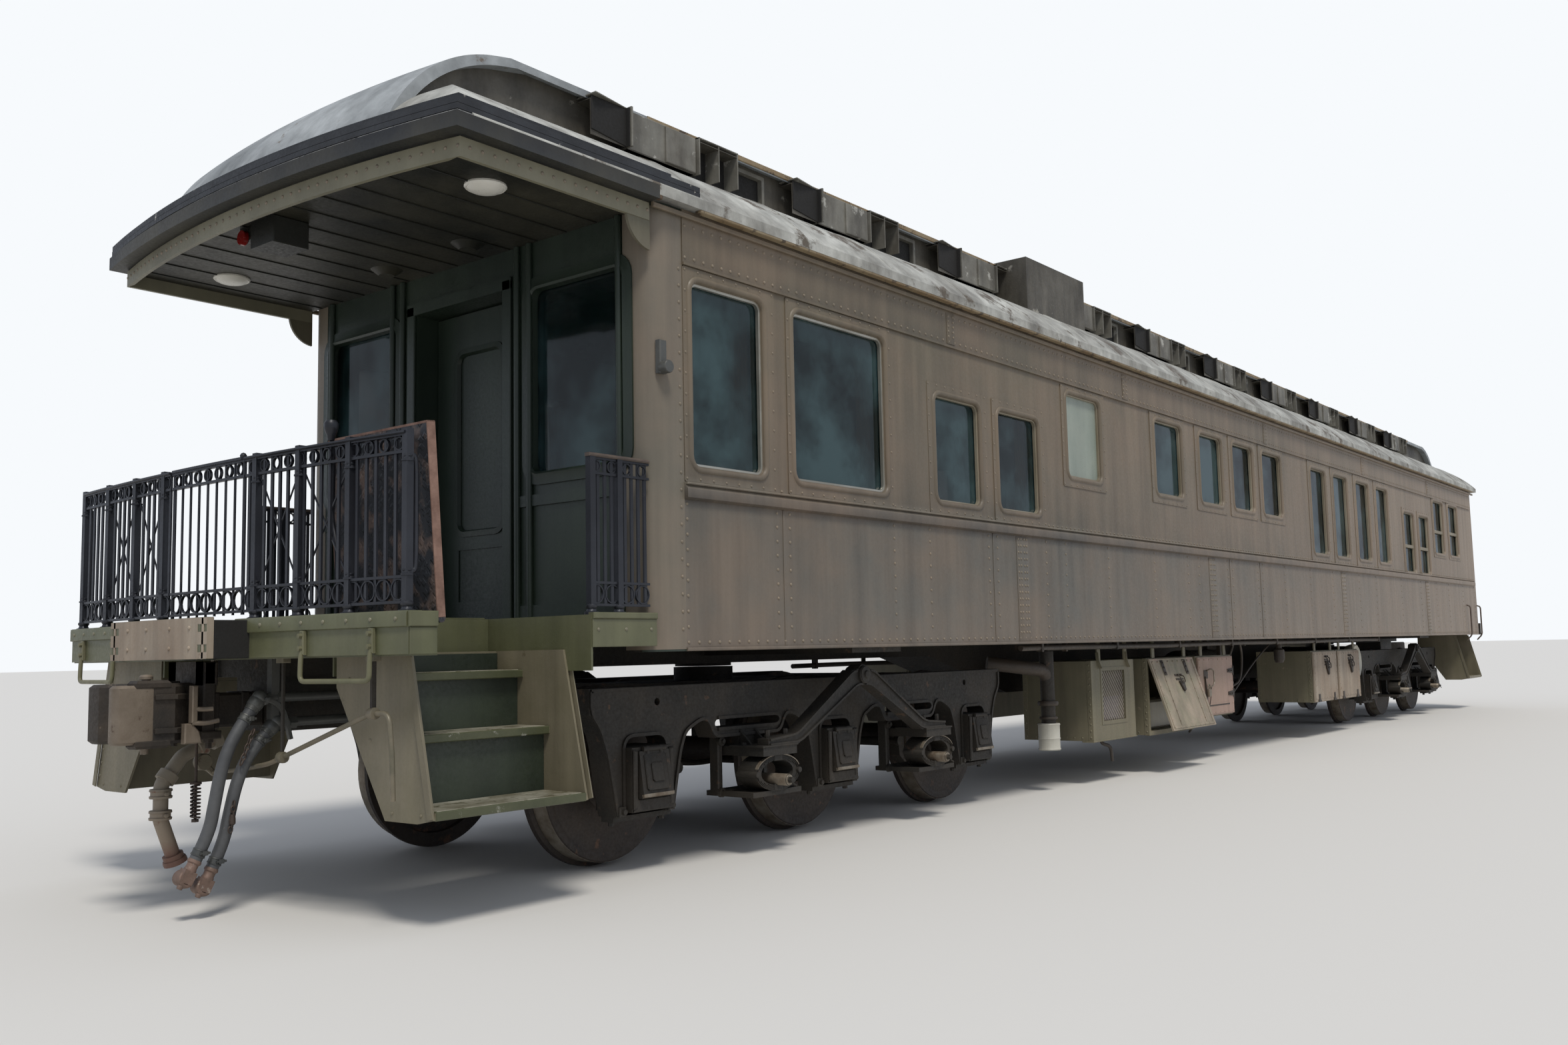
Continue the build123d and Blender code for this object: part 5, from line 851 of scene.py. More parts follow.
def carried(section, line, closed=False):
    """A closed section carried along a line. Each ring stands square to the line's run, and turns no more
    than the line does: the side direction is passed on from ring to ring."""
    line = np.asarray(line, float)
    run = np.gradient(line, axis=0)
    if closed:
        run = np.roll(line, -1, 0) - np.roll(line, 1, 0)
    run /= np.linalg.norm(run, axis=1, keepdims=True)
    side = np.cross(run[0], (0.0, 0.0, 1.0) if abs(run[0][2]) < 0.9 else (1.0, 0.0, 0.0))
    rings = []
    for spot, way in zip(line, run):
        side = side - way * side.dot(way)
        side /= np.linalg.norm(side)
        rings.append(spot + np.outer(section[:, 0], side) + np.outer(section[:, 1], np.cross(way, side)))
    return looped(rings) if closed else loft(rings)


def round_section(radius, sides=10):
    """A circle as a section."""
    turn = np.linspace(0, 2 * math.pi, sides, endpoint=False)
    return np.stack([radius * np.cos(turn), radius * np.sin(turn)], -1)


def rod(radius, points, ease, sides=10, start=BULK):
    """A round bar along points with eased corners, their x counted from a start along the car."""
    return carried(round_section(radius, sides), bent(np.array(points, float) + (start, 0, 0), ease))


def flat_section(wide, thick):
    """A flat bar as a section."""
    return np.array([(-wide / 2, -thick / 2), (wide / 2, -thick / 2), (wide / 2, thick / 2),
        (-wide / 2, thick / 2)])


handles = []
for side in (-1, 1):
    x0, x1 = float(end_x(0.868)), float(end_x(1.318))
    handles.append(carried(round_section(0.011),
        bent([(x0 - 0.03, side * 0.868, 1.176), (x0 - 0.034, side * 0.868, 1.14), (x0 - 0.036, side * 0.868,
        1.045), (x1 - 0.036, side * 1.318, 1.045), (x1 - 0.034, side * 1.318, 1.14),
        (x1 - 0.03, side * 1.318, 1.176)], 0.03)))
    for x, y in ((x0, 0.868), (x1, 1.318)):
        handles.append(slab([(side * (y - 0.017), 1.158), (side * (y + 0.017), 1.158),
            (side * (y + 0.015), 1.262), (side * (y - 0.015), 1.262)], x - 0.034, x - 0.013, "x", 0.004))
        for z in (1.186, 1.24):
            handles.append(turned([(0.0, -0.05), (0.012, -0.048), (0.013, -0.03), (0.0, -0.03)], (x, side * y, z),
                "x", 6))
piece("stirrup_handles", handles, olive)

# Steps: green risers darkened with painted shade, rolled nosings, tread tops pale from wear and painted sunlight,
# rivets down the side plates
nosings, risers, worn_and_lit_tops, step_heads, step_way, plates = [], [], [], [], [], []
for side in (-1, 1):
    for z, inner, outer in ((0.5, 1.2, 1.5), (0.8, 1.01, 1.25), (1.065, 0.86, 1.06)):
        nosings.append(block(-1.266, -0.434, side * (outer - 0.03), side * (outer + 0.004), z - 0.034, z + 0.003,
            0.004))
        worn_and_lit_tops.append(block(-1.25, -0.45, side * (inner + 0.02), side * (outer - 0.012), z, z + 0.005, 0.002))
        risers += [block(-1.266, -0.434, side * (inner + 0.007), side * (inner + 0.011), z, min(z + 0.266, 1.15),
                0.001),
            block(-1.266, -0.434, side * inner, side * (outer - 0.03), z - 0.034, z - 0.031, 0.001)]
    for x, way in ((-1.28, -1), (-0.42, 1)):
        spot = BULK + x
        edge_line = [(spot + way * 0.012, side * 1.345, 1.16), (spot + way * 0.012, side * 1.5, 0.475)]
        plates.append(carried(flat_section(0.036, 0.006), edge_line))
        for t in np.linspace(0.04, 0.95, 9):
            y, z = 1.32 + t * (1.468 - 1.32), 1.13 - t * (1.13 - 0.5)
            step_heads.append((spot, side * y, z))
            step_way.append((way, 0, 0))
        for y, z in ((1.22, 0.485), (1.42, 0.485), (1.06, 0.785), (1.2, 0.785), (0.9, 1.05)):
            step_heads.append((spot, side * y, z))
            step_way.append((way, 0, 0))
# Tread tops: pale from wear, and paler still as a painted highlight where the sun catches them
step_edge = weathered("step_edge", ((176, 172, 156), (118, 112, 92)), rough=(0.35, 0.6), metallic=0.4, cloud=6.0,
    spots=((96, 92, 70), 14.0, 0.55))
piece("step_nosings", nosings, weathered("nosing_green", ((62, 66, 44), (78, 80, 56)), rough=(0.35, 0.55),
    cloud=5.0, spots=((168, 166, 156), 9.0, 0.62)))
piece("step_risers", risers, step_green_and_shade)
piece("step_tops", worn_and_lit_tops, step_edge)
piece("step_edges", plates, stringer_olive)
rivets("step_rivets", step_heads, step_way, stringer_olive, 0.009)

# Traps: raised-pattern plate, rusted at the rim
tread = bpy.data.materials.new("pattern_plate")
tread.use_nodes = True
tree = tread.node_tree
tread_skin = tree.nodes["Principled BSDF"]
where = shader(tree, "ShaderNodeTexCoord").outputs["Object"]
turned_map = shader(tree, "ShaderNodeMapping", {"Vector": where, "Rotation": (math.radians(45), math.radians(45),
    0.0)}).outputs[0]
checks = shader(tree, "ShaderNodeTexVoronoi", {"Vector": turned_map, "Scale": 30.0},
    distance="CHEBYCHEV").outputs["Distance"]
mask = ranged(tree, noise(tree, where, 9.0, 6.0, 0.5), 0.5, 0.62)
colour = mixed_colour(tree, mask, tone(52, 54, 58), tone(112, 96, 88))
lift = ranged(tree, checks, 0.25, 0.4, 1.0, 0.0)
relief = shader(tree, "ShaderNodeBump", {"Height": lift, "Strength": 0.8, "Distance": 0.004}).outputs[0]
tree.links.new(colour, tread_skin.inputs["Base Color"])
tree.links.new(relief, tread_skin.inputs["Normal"])
tread_skin.inputs["Roughness"].default_value = 0.42
tread_skin.inputs["Metallic"].default_value = 0.5
dress(tread, "trap_right", "trap_left")
rust_edge = weathered("rust_edge", ((142, 112, 98), (92, 66, 54)), rough=(0.6, 0.85), cloud=8.0, bump=0.3)
lean = math.radians(94)
hinge = np.array((BULK - 1.252, 0, 1.3))


def raised(points):
    """Points of a closed lid turned up about the hinge line at the end sill."""
    p = np.asarray(points, float) - hinge
    x = p[..., 0] * math.cos(lean) - p[..., 2] * math.sin(lean)
    z = p[..., 0] * math.sin(lean) + p[..., 2] * math.cos(lean)
    return np.stack([x, p[..., 1], z], -1) + hinge


for name, side, up_turned in (("trap_right", -1, True), ("trap_left", 1, False)):
    rim_parts = [block(-0.436, -0.426, side * 0.788, side * 1.517, 1.2795, 1.3205, 0.002),
        block(-1.25, -0.43, side * 1.509, side * 1.5185, 1.2795, 1.3205, 0.002),
        block(-1.25, -0.43, side * 0.7865, side * 0.796, 1.2795, 1.3205, 0.002)]
    ribs = [block(-1.22, -0.46, side * (0.9 + 0.25 * n), side * (0.915 + 0.25 * n), 1.272, 1.281, 0.002)
        for n in range(3)]
    shells = rim_parts + ribs
    if up_turned:
        shells = [(raised(p), q) for p, q in shells]
    piece(f"{name}_rim", shells, rust_edge, body=name)


# Railings and gate
# Black wrought iron: flat bars and rows of rings between flat rails, a moulded hand rail, posts on turned
# feet and crossed stay wires. The gate in the middle swings on its post.
iron = weathered("black_iron", ((34, 35, 40), (52, 54, 60)), rough=(0.28, 0.5), metallic=0.35, bump=0.12,
    spots=((96, 84, 76), 16.0, 0.68))
hand_brown = weathered("hand_rail", ((96, 82, 70), (70, 60, 54)), rough=(0.4, 0.6), cloud=9.0)
dress(iron, "railing_right", "railing_left", "side_railing_right", "side_railing_left", "gate")
RING_BANDS = ((1.36 + 0.012, 1.465), (1.985 + 0.012, 2.057))


def rail_x(y):
    """The bowed line of the end railing."""
    return BULK - 1.47 + np.asarray(y, float) ** 2 / 26.0


def ring_shell(centre, way, radius, wide, thick, steps=14):
    """A ring of flat bar round a horizontal direction: a small oblong section turned about the centre."""
    way = np.array(way, float) / np.linalg.norm(way)
    across = np.cross((0, 0, 1.0), way)
    turn = np.linspace(0, 2 * math.pi, steps, endpoint=False)
    out = np.outer(np.cos(turn), across) + np.outer(np.sin(turn), (0, 0, 1.0))
    corners = ((radius - thick, -wide / 2), (radius, -wide / 2), (radius, wide / 2), (radius - thick, wide / 2))
    rings = [np.array(centre) + out * r + way * w for r, w in corners]
    points = np.concatenate(rings)
    quads = []
    for k in range(4):
        a, b = k * steps, ((k + 1) % 4) * steps
        quads += [[a + i, a + (i + 1) % steps, b + (i + 1) % steps, b + i] for i in range(steps)]
    return points, quads


FOOT = [(0.0, 0.0), (0.036, 0.0), (0.036, 0.012), (0.026, 0.016), (0.022, 0.026), (0.028, 0.034), (0.028, 0.042),
    (0.02, 0.05), (0.0, 0.052)]


def railing_parts(ys, posts):
    """Rings, moulded hand rail and post feet between two distances from the centre line."""
    parts = []
    y0, y1 = ys
    count = max(round(abs(y1 - y0) / 0.092), 1)
    step = (y1 - y0) / count
    middles = y0 + step * (np.arange(count) + 0.5)
    for low, high in RING_BANDS:
        radius = (high - low) / 2
        for y in middles:
            x = float(rail_x(y))
            parts.append(ring_shell((x, y, (low + high) / 2), (1, -y / 13.0, 0), radius, 0.014, 0.006))
    line = np.linspace(y0, y1, 13)
    parts.append(carried(np.array([(-0.022, -0.004), (0.022, -0.004), (0.024, 0.004), (0.012, 0.013),
        (-0.012, 0.013), (-0.024, 0.004)]), np.stack([rail_x(line), line, np.full(13, 2.073)], -1)))
    for y in posts:
        parts.append(turned([(r, 1.3205 + h) for r, h in FOOT], (float(rail_x(y)), y, 0), "z", 12))
        for z in (1.475, 1.95):
            parts.append(turned([(r * 0.75, z + h * 0.6) for r, h in FOOT], (float(rail_x(y)), y, 0), "z", 10))
    return parts


for name, side in (("right", -1), ("left", 1)):
    parts = railing_parts((side * 0.35, side * 1.467), [side * y for y in (0.43, 0.76, 1.11, 1.467)])
    for y0, y1 in ((0.45, 0.74), (0.78, 1.09)):
        for z0, z1 in ((1.48, 1.97), (1.97, 1.48)):
            ends = np.array([(float(rail_x(y0)) + 0.008, side * y0, z0), (float(rail_x(y1)) + 0.008, side * y1,
                z1)])
            parts.append(carried(round_section(0.0045, 6), ends))
    piece(f"railing_iron_{name}", parts, iron)
    y = side * 1.49
    short = []
    for x in np.linspace(-0.353, -0.047, 4):
        for low, high in RING_BANDS:
            short.append(ring_shell((BULK + x, y, (low + high) / 2), (0, 1, 0), (high - low) / 2, 0.014, 0.006))
    for x in (-0.383, -0.205):
        short.append(turned([(r, 1.3205 + h) for r, h in FOOT], (BULK + x, y, 0), "z", 12))
    piece(f"side_railing_iron_{name}", short, iron)
    piece(f"side_hand_rail_{name}", [block(-0.405, -0.002, y - 0.022, y + 0.022, 2.0685, 2.086, 0.006)],
        hand_brown)
parts = []
middles = np.linspace(-0.29, 0.29, 7)
for low, high in RING_BANDS:
    for y in middles:
        parts.append(ring_shell((float(rail_x(y)), y, (low + high) / 2), (1, 0, 0), (high - low) / 2, 0.014,
            0.006))
line = np.linspace(-0.325, 0.325, 9)
parts += [carried(flat_section(0.04, 0.012), np.stack([rail_x(line), line, np.full(9, 2.074)], -1)),
    turned([(0.0, 2.078), (0.014, 2.079), (0.016, 2.09), (0.01, 2.1), (0.0, 2.104)], (float(rail_x(-0.31)), -0.31,
        0), "z", 10)]
piece("gate_iron", parts, iron, body="gate")

# Corner grab iron and the stay pipes and cock that stand by the railing
grabs = []
for side in (-1, 1):
    grabs.append(rod(0.012, [(-1.385, side * 1.468, 1.5), (-1.352, side * 1.468, 1.49),
        (-1.347, side * 1.468, 1.56), (-1.347, side * 1.468, 1.91), (-1.352, side * 1.468, 1.98),
        (-1.385, side * 1.468, 1.97)], 0.03))
pipe = [(BULK - 1.4, -0.98, 1.325), (BULK - 1.4, -0.98, 1.62), (BULK - 1.395, -0.93, 1.74),
    (BULK - 1.39, -0.93, 2.0), (BULK - 1.4, -0.93, 2.1), (BULK - 1.42, -0.95, 2.13)]
grabs += [carried(round_section(0.01), bent(pipe, 0.06)),
    turned([(0.0, 0.0), (0.014, 0.0), (0.018, 0.02), (0.03, 0.05), (0.032, 0.075), (0.022, 0.09), (0.0, 0.094)],
        (BULK - 1.42, -0.955, 2.09), "z", 12)]
piece("corner_grabs", grabs, iron)


# Trucks
# Cast-steel six-wheel trucks, black-brown with grease and rust: rims along the castings, journal boxes with
# slanted lids, full elliptic springs under the bolster ends, and arches that carry the side bearings.
truck_dark = weathered("truck_black", ((34, 32, 28), (52, 46, 38)), rough=(0.55, 0.8), streak=0.1, cloud=3.0,
    spots=((84, 64, 48), 11.0, 0.62), bump=0.35)
dress(truck_dark, "truck_frame_rear", "truck_frame_front", "truck_gear_rear", "truck_gear_front")
wheel_brown = weathered("wheel_brown", ((58, 48, 40), (40, 34, 30)), rough=(0.5, 0.75), cloud=4.0,
    spots=((92, 66, 48), 8.0, 0.6), bump=0.3)
# Bare steel: worn on the wheel treads and the padlock; on the trucks' spring leaves, pins and box lips it is a
# painted sunlit highlight
worn_and_sunlit_steel = weathered("worn_and_sunlit_steel", ((150, 142, 128), (104, 90, 74)), rough=(0.35, 0.6), metallic=0.5, cloud=9.0,
    bump=0.2)
dress(wheel_brown, *[f"wheelset_{n}" for n in range(1, 7)])
dress(truck_dark, "underframe", "underbody_tanks")
WHEEL_Z = 0.482
TRUCK_REAR, TRUCK_FRONT, AXLE_STEP = BULK + 2.035, BULK + 15.6, 1.676


def truck_details(x_mid):
    """The dark details of one truck, on its -Y side, and the ones painted bright as if sunlit."""
    dark, bright = [], []
    face = -1.095
    # Rolled rims along the side frame: chord, pedestal legs, box arches, bay tops and slots
    lines = [[(-2.06, 0.948), (2.06, 0.948)],
        [(-2.058, 0.945), (-2.058, 0.84), (-1.99, 0.75), (-1.94, 0.61), (-1.878, 0.31)],
        [(2.058, 0.945), (2.058, 0.84), (1.99, 0.75), (1.94, 0.61), (1.878, 0.31)]]
    for bay in (-AXLE_STEP / 2, AXLE_STEP / 2):
        lines += [[(bay - 0.636, 0.31), (bay - 0.574, 0.602), (bay - 0.53, 0.71), (bay - 0.41, 0.766),
                (bay - 0.345, 0.766), (bay - 0.287, 0.664), (bay + 0.287, 0.664), (bay + 0.345, 0.766),
                (bay + 0.41, 0.766), (bay + 0.53, 0.71), (bay + 0.574, 0.602), (bay + 0.636, 0.31)],
            [(bay - 0.26, 0.765), (bay + 0.27, 0.765), (bay + 0.295, 0.732), (bay + 0.27, 0.702),
                (bay - 0.26, 0.702)]]
    for axle in (-AXLE_STEP, 0.0, AXLE_STEP):
        lines.append([(axle - 0.16, 0.31), (axle - 0.16, 0.67), (axle - 0.12, 0.71), (axle + 0.12, 0.71),
            (axle + 0.16, 0.67), (axle + 0.16, 0.31)])
    for line in lines:
        dark.append(carried(flat_section(0.016, 0.018), bent([(x_mid + x, face - 0.003, z) for x, z in line],
            0.04)))
    for axle in (-AXLE_STEP, 0.0, AXLE_STEP):
        x = x_mid + axle
        # Journal box: ribs beside the slanted lid, its hinge, its raised middle and its lip, painted bright as
        # sunlit
        for hand in (-1, 1):
            dark += [slab([(x + hand * 0.148, 0.335), (x + hand * 0.118, 0.345), (x + hand * 0.118, 0.635),
                    (x + hand * 0.148, 0.64)], -1.166, -1.148, "y", 0.006),
                turned([(0.0, 0.25), (0.017, 0.252), (0.017, 0.285), (0.0, 0.285)], (x + hand * 0.185, -1.03, 0),
                    "z", 6),
                bar(x + hand * 0.156, x + hand * 0.205, -1.118, -1.094, 0.302, 0.352, 0.006),
                turned([(0.0, -1.135), (0.015, -1.133), (0.015, -1.116), (0.0, -1.116)],
                    (x + hand * 0.18, 0, 0.327), "y", 6)]
        dark.append(turned([(0.0, -0.085), (0.015, -0.083), (0.015, 0.083), (0.0, 0.085)], (x, -1.16, 0.64), "x",
            10))
        for hand in (-0.05, 0.05):
            dark.append(bar(x + hand - 0.012, x + hand + 0.012, -1.172, -1.15, 0.6, 0.655, 0.005))
        dark += [slab([(-1.162, 0.622), (-1.174, 0.61), (-1.204, 0.432), (-1.19, 0.425)], x - 0.082, x + 0.082,
                "x", 0.01),
            slab([(-1.178, 0.575), (-1.19, 0.565), (-1.206, 0.475), (-1.195, 0.47)], x - 0.045, x + 0.045, "x",
                0.01)]
        bright.append(slab([(-1.186, 0.392), (-1.204, 0.398), (-1.202, 0.414), (-1.18, 0.41)], x - 0.112,
            x + 0.112, "x", 0.003))
        dark.append(slab([(x - 0.145, 0.322), (x + 0.145, 0.322), (x + 0.125, 0.385), (x - 0.125, 0.385)], -1.16,
            -1.148, "y", 0.005))
    for middle in (-AXLE_STEP / 2, AXLE_STEP / 2):
        x = x_mid + middle
        # Elliptic spring: leaves that part towards the ends, held by the band round their middle
        for leaf in range(5):
            reach = 1.02 - 0.16 * leaf
            for hand in (-1, 1):
                t = np.linspace(-0.5 * math.pi * reach, 0.5 * math.pi * reach, 17)
                a, b = 0.192 - 0.0105 * leaf, 0.0985 - 0.0062 * leaf
                arc_x, arc_z = x + a * np.sin(t), 0.451 + hand * b * np.cos(t)
                for y0, y1 in ((-1.318, -1.306), (-1.184, -1.174)):
                    dark.append(loft([np.array([(px, y0, pz - 0.0022), (px, y1, pz - 0.0022),
                        (px, y1, pz + 0.0022), (px, y0, pz + 0.0022)]) for px, pz in zip(arc_x, arc_z)]))
        dark += [bar(x - 0.036, x + 0.036, -1.322, -1.168, 0.515, 0.55, 0.004),
            bar(x - 0.036, x + 0.036, -1.322, -1.168, 0.352, 0.388, 0.004)]
        # Main leaf with its rolled eyes, painted bright as sunlit
        t = np.linspace(-0.5 * math.pi, 0.5 * math.pi, 21)
        line = np.stack([x + 0.194 * np.sin(t), np.full(21, -1.245), 0.451 + 0.1 * np.cos(t)], -1)
        bright.append(loft([np.array([(px, -1.322, pz - 0.003), (px, -1.3, pz - 0.003), (px, -1.3, pz + 0.003),
            (px, -1.322, pz + 0.003)]) for px, _, pz in line[2:-2]]))
        for hand in (-1, 1):
            dark.append(turned([(0.0, -1.328), (0.016, -1.326), (0.018, -1.3), (0.018, -1.18), (0.0, -1.165)],
                (x + hand * 0.188, 0, 0.451), "y", 12))
            # Swing hangers: eyes with pins at the top and the bottom
            for z in (0.345, 0.63):
                dark += [turned([(0.0, -1.078), (0.026, -1.075), (0.028, -1.052), (0.0, -1.052)],
                        (x + hand * 0.198, 0, z), "y", 12),
                    turned([(0.0, -1.092), (0.013, -1.09), (0.013, -1.07), (0.0, -1.07)],
                        (x + hand * 0.198, 0, z), "y", 6)]
            dark.append(bar(x + hand * 0.198 - 0.02, x + hand * 0.198 + 0.02, -1.06, -0.99, 0.33, 0.66, 0.007))
        # Long pin under the spring, painted bright as sunlit, with its washer, its six-sided nut and its split
        # pin
        bright.append(turned([(0.0, -1.398), (0.029, -1.397), (0.0335, -1.39), (0.0335, -1.18), (0.0, -1.17)],
            (x, 0, 0.412), "y", 20))
        dark += [turned([(0.0, -1.424), (0.017, -1.422), (0.019, -1.396), (0.0, -1.396)], (x, 0, 0.412), "y", 6),
            rod(0.004, [(-0.012, -1.416, 0.425), (0.006, -1.416, 0.392), (0.028, -1.424, 0.38)], 0.01, 6,
                start=x)]
        # Seat: cover plate with its bolts, and gussets down from the slotted chord
        dark.append(bar(x - 0.158, x + 0.158, -1.343, -1.09, 0.596, 0.606, 0.003))
        for step in (-0.12, 0.12):
            dark += [turned([(0.0, 0.622), (0.014, 0.62), (0.014, 0.604), (0.0, 0.604)], (x + step, -1.17, 0),
                    "z", 6),
                slab([(-1.096, 0.6), (-1.19, 0.6), (-1.096, 0.69)], x + step * 0.55 - 0.008,
                    x + step * 0.55 + 0.008, "x", 0.003)]
    # Side bearing arch: ribs along both edges, foot bolts and the roller's cap
    for hand in (-1, 1):
        upper = [(x_mid + hand * 0.07, -1.329, 0.998), (x_mid + hand * 0.11, -1.329, 0.994),
            (x_mid + hand * 0.676, -1.329, 0.656), (x_mid + hand * 0.922, -1.329, 0.636)]
        lower = [(x_mid + hand * 0.02, -1.329, 0.918), (x_mid + hand * 0.07, -1.329, 0.916),
            (x_mid + hand * 0.652, -1.329, 0.612), (x_mid + hand * 0.922, -1.329, 0.61)]
        dark += [carried(flat_section(0.016, 0.012), bent(upper, 0.05)),
            carried(flat_section(0.016, 0.012), bent(lower, 0.05))]
        for x in (0.73, 0.89):
            dark.append(turned([(0.0, 0.69), (0.014, 0.688), (0.016, 0.652), (0.0, 0.62)],
                (x_mid + hand * x, -1.285, 0), "z", 6))
    dark += [turned([(0.0, -1.364), (0.022, -1.362), (0.026, -1.352), (0.046, -1.35), (0.054, -1.342),
            (0.054, -1.228), (0.0, -1.22)], (x_mid, 0, 0.975), "y", 24),
        bar(x_mid - 0.07, x_mid + 0.07, -1.33, -1.24, 1.002, 1.012, 0.003)]
    # Brake hangers: pins through the shoes, and wear plates on the shoes' backs
    for axle, hand in ((-AXLE_STEP, 1), (0.0, 1), (AXLE_STEP, -1)):
        x = x_mid + axle + hand * 0.545
        for y0, y1 in ((-0.83, -0.8), (-0.735, -0.7)):
            dark.append(turned([(0.0, y0), (0.034, y0 + 0.002), (0.034, y1 - 0.002), (0.0, y1)], (x, 0, 0.482),
                "y", 12))
        dark.append(turned([(0.0, -0.815), (0.02, -0.813), (0.02, -0.7), (0.0, -0.7)], (x, 0, 0.81), "y", 10))
    # Pull rod along the middle
    dark.append(rod(0.017, [(-1.13, -0.3, 0.5), (-0.4, -0.3, 0.43), (0.545, -0.3, 0.47), (1.13, -0.3, 0.5)], 0.1,
        8, start=x_mid))
    return dark, bright


for label, x_mid in (("rear", TRUCK_REAR), ("front", TRUCK_FRONT)):
    dark, bright = truck_details(x_mid)
    piece(f"truck_{label}_dark", dark + other_side(dark), truck_dark, body=f"truck_{label}")
    # The bright pieces are painted highlight: parts the sun reaches beyond the body's shadow
    piece(f"truck_{label}_worn", bright + other_side(bright), worn_and_sunlit_steel, body=f"truck_{label}")

# Wheels: spokeless plates with a raised rim, a hub boss, a polished tread band and the axle end
for number in range(6):
    x = (TRUCK_REAR if number < 3 else TRUCK_FRONT) + (number % 3 - 1) * AXLE_STEP
    rims, treads = [], []
    for side in (-1, 1):
        rims += [turned([(0.4, side * 0.8165), (0.41, side * 0.821), (0.445, side * 0.821),
                (0.449, side * 0.817)], (x, 0, WHEEL_Z), "y", 48),
            turned([(0.14, side * 0.858), (0.15, side * 0.85), (0.18, side * 0.815), (0.26, side * 0.793),
                (0.2, side * 0.78)], (x, 0, WHEEL_Z), "y", 40)]
        treads.append(turned([(0.4525, side * 0.815), (0.4555, side * 0.76), (0.4585, side * 0.72),
            (0.44, side * 0.72), (0.44, side * 0.815)], (x, 0, WHEEL_Z), "y", 56))
    piece(f"wheel_rims_{number + 1}", rims, wheel_brown, body=f"wheelset_{number + 1}")
    piece(f"wheel_treads_{number + 1}", treads, worn_and_sunlit_steel, body=f"wheelset_{number + 1}")


# Cabinets and tanks under the floor
# Riveted sheet cabinets in faded olive and beige paint: one behind a screen of slanting wires, one with
# its door hanging open on bent hinges, one with a padlock, and a pair whose doors fold down.
box_olive = weathered("box_olive", ((104, 100, 80), (118, 110, 90)), rough=(0.45, 0.7), streak=0.15, bump=0.12,
    spots=((140, 128, 108), 6.0, 0.64))
ice_paint = weathered("ice_door_paint", ((128, 122, 102), (154, 138, 122)), rough=(0.5, 0.75), streak=0.2,
    cloud=4.0, bump=0.15, spots=((168, 140, 128), 4.0, 0.58))
pink_paint = weathered("lock_door_paint", ((158, 132, 120), (146, 124, 108)), rough=(0.5, 0.7), streak=0.12,
    bump=0.1, spots=((112, 84, 66), 18.0, 0.66))
dress(box_olive, "underbody_boxes")
dress(ice_paint, "box_door_ice")
dress(pink_paint, "box_door_lock")
dress(beige, "box_door_pair_1", "box_door_pair_2")
dark_fitting = weathered("dark_fittings", ((46, 42, 38), (66, 56, 46)), rough=(0.45, 0.7), bump=0.2)
white_enamel = weathered("white_enamel", ((196, 194, 184), (170, 166, 152)), rough=(0.35, 0.55), streak=0.1,
    bump=0.08, spots=((138, 104, 78), 10.0, 0.66))

# Riveted angles down the corners of every cabinet: start, length, bottom, which side
CABINETS = ((5.25, 0.81, 0.35, -1), (6.34, 1.0, 0.33, -1), (7.45, 0.9, 0.42, -1), (10.9, 0.9, 0.41, -1),
    (11.84, 0.9, 0.41, -1), (5.6, 1.3, 0.41, 1), (7.0, 1.3, 0.41, 1), (9.9, 1.9, 0.38, 1))
angles, rivet_spots, rivet_way = [], [], []
for start, length, low, side in CABINETS:
    x0, x1 = BULK + start, BULK + start + length
    for x, way in ((x0, -1), (x1, 1)):
        angles += [bar(x, x + way * 0.004, side * 1.258, side * 1.3, low, 0.99, 0.001),
            bar(x, x + way * 0.004, side * 0.68, side * 0.72, low, 0.99, 0.001)]
        for z in np.linspace(low + 0.03, 0.96, 12):
            rivet_spots += [(x + way * 0.004, side * 1.279, z), (x + way * 0.004, side * 0.7, z)]
            rivet_way += [(way, 0, 0)] * 2
        for y in np.linspace(0.78, 1.2, 7):
            rivet_spots.append((x, side * y, low + 0.025))
            rivet_way.append((way, 0, 0))
    angles += [bar(x0, x1, side * 1.262, side * 1.3, low - 0.004, low, 0.001),
        bar(x0, x1, side * 1.26, side * 1.3, 0.99, 0.994, 0.001)]
    if side > 0:
        for z in (low + 0.03, 0.96):
            rivet_spots += [(x, 1.3, z) for x in np.linspace(x0 + 0.05, x1 - 0.05, 14)]
            rivet_way += [(0, 1, 0)] * 14
        angles.append(bar(x0 + 0.06, x1 - 0.06, 1.3, 1.306, low + 0.07, 0.92, 0.003))
        for x in (x0 + 0.25, x1 - 0.25):
            angles.append(bar(x - 0.02, x + 0.02, 1.306, 1.322, 0.86, 0.9, 0.004))
piece("cabinet_angles", angles, box_olive)
rivets("cabinet_rivets", rivet_spots, rivet_way, box_olive, 0.0085)

# Screen of the first cabinet: parallel wires slanting up to the front, in a flat frame over the recess
wires = []
left, right, low, high = BULK + 5.442, BULK + 5.868, 0.502, 0.908
for c in np.arange(low - right + 0.015, high - left, 0.036):
    xa, xb = max(left, low - c), min(right, high - c)
    if xb - xa > 0.01:
        wires.append(slab([(xa, xa + c - 0.0075), (xb, xb + c - 0.0075), (xb, xb + c + 0.0075),
            (xa, xa + c + 0.0075)], -1.287, -1.28, "y", 0.002))
screen = piece("screen_wires", wires, weathered("screen_wire", ((150, 142, 130), (120, 110, 98)),
    rough=(0.4, 0.6)))
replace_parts(screen, "box_grille")
piece("screen_back", [bar(left, right, -1.2445, -1.2405, low, low + 0.19, 0.001)], weathered("screen_back_sheet",
    ((128, 122, 140), (98, 94, 112)), rough=(0.4, 0.6)))
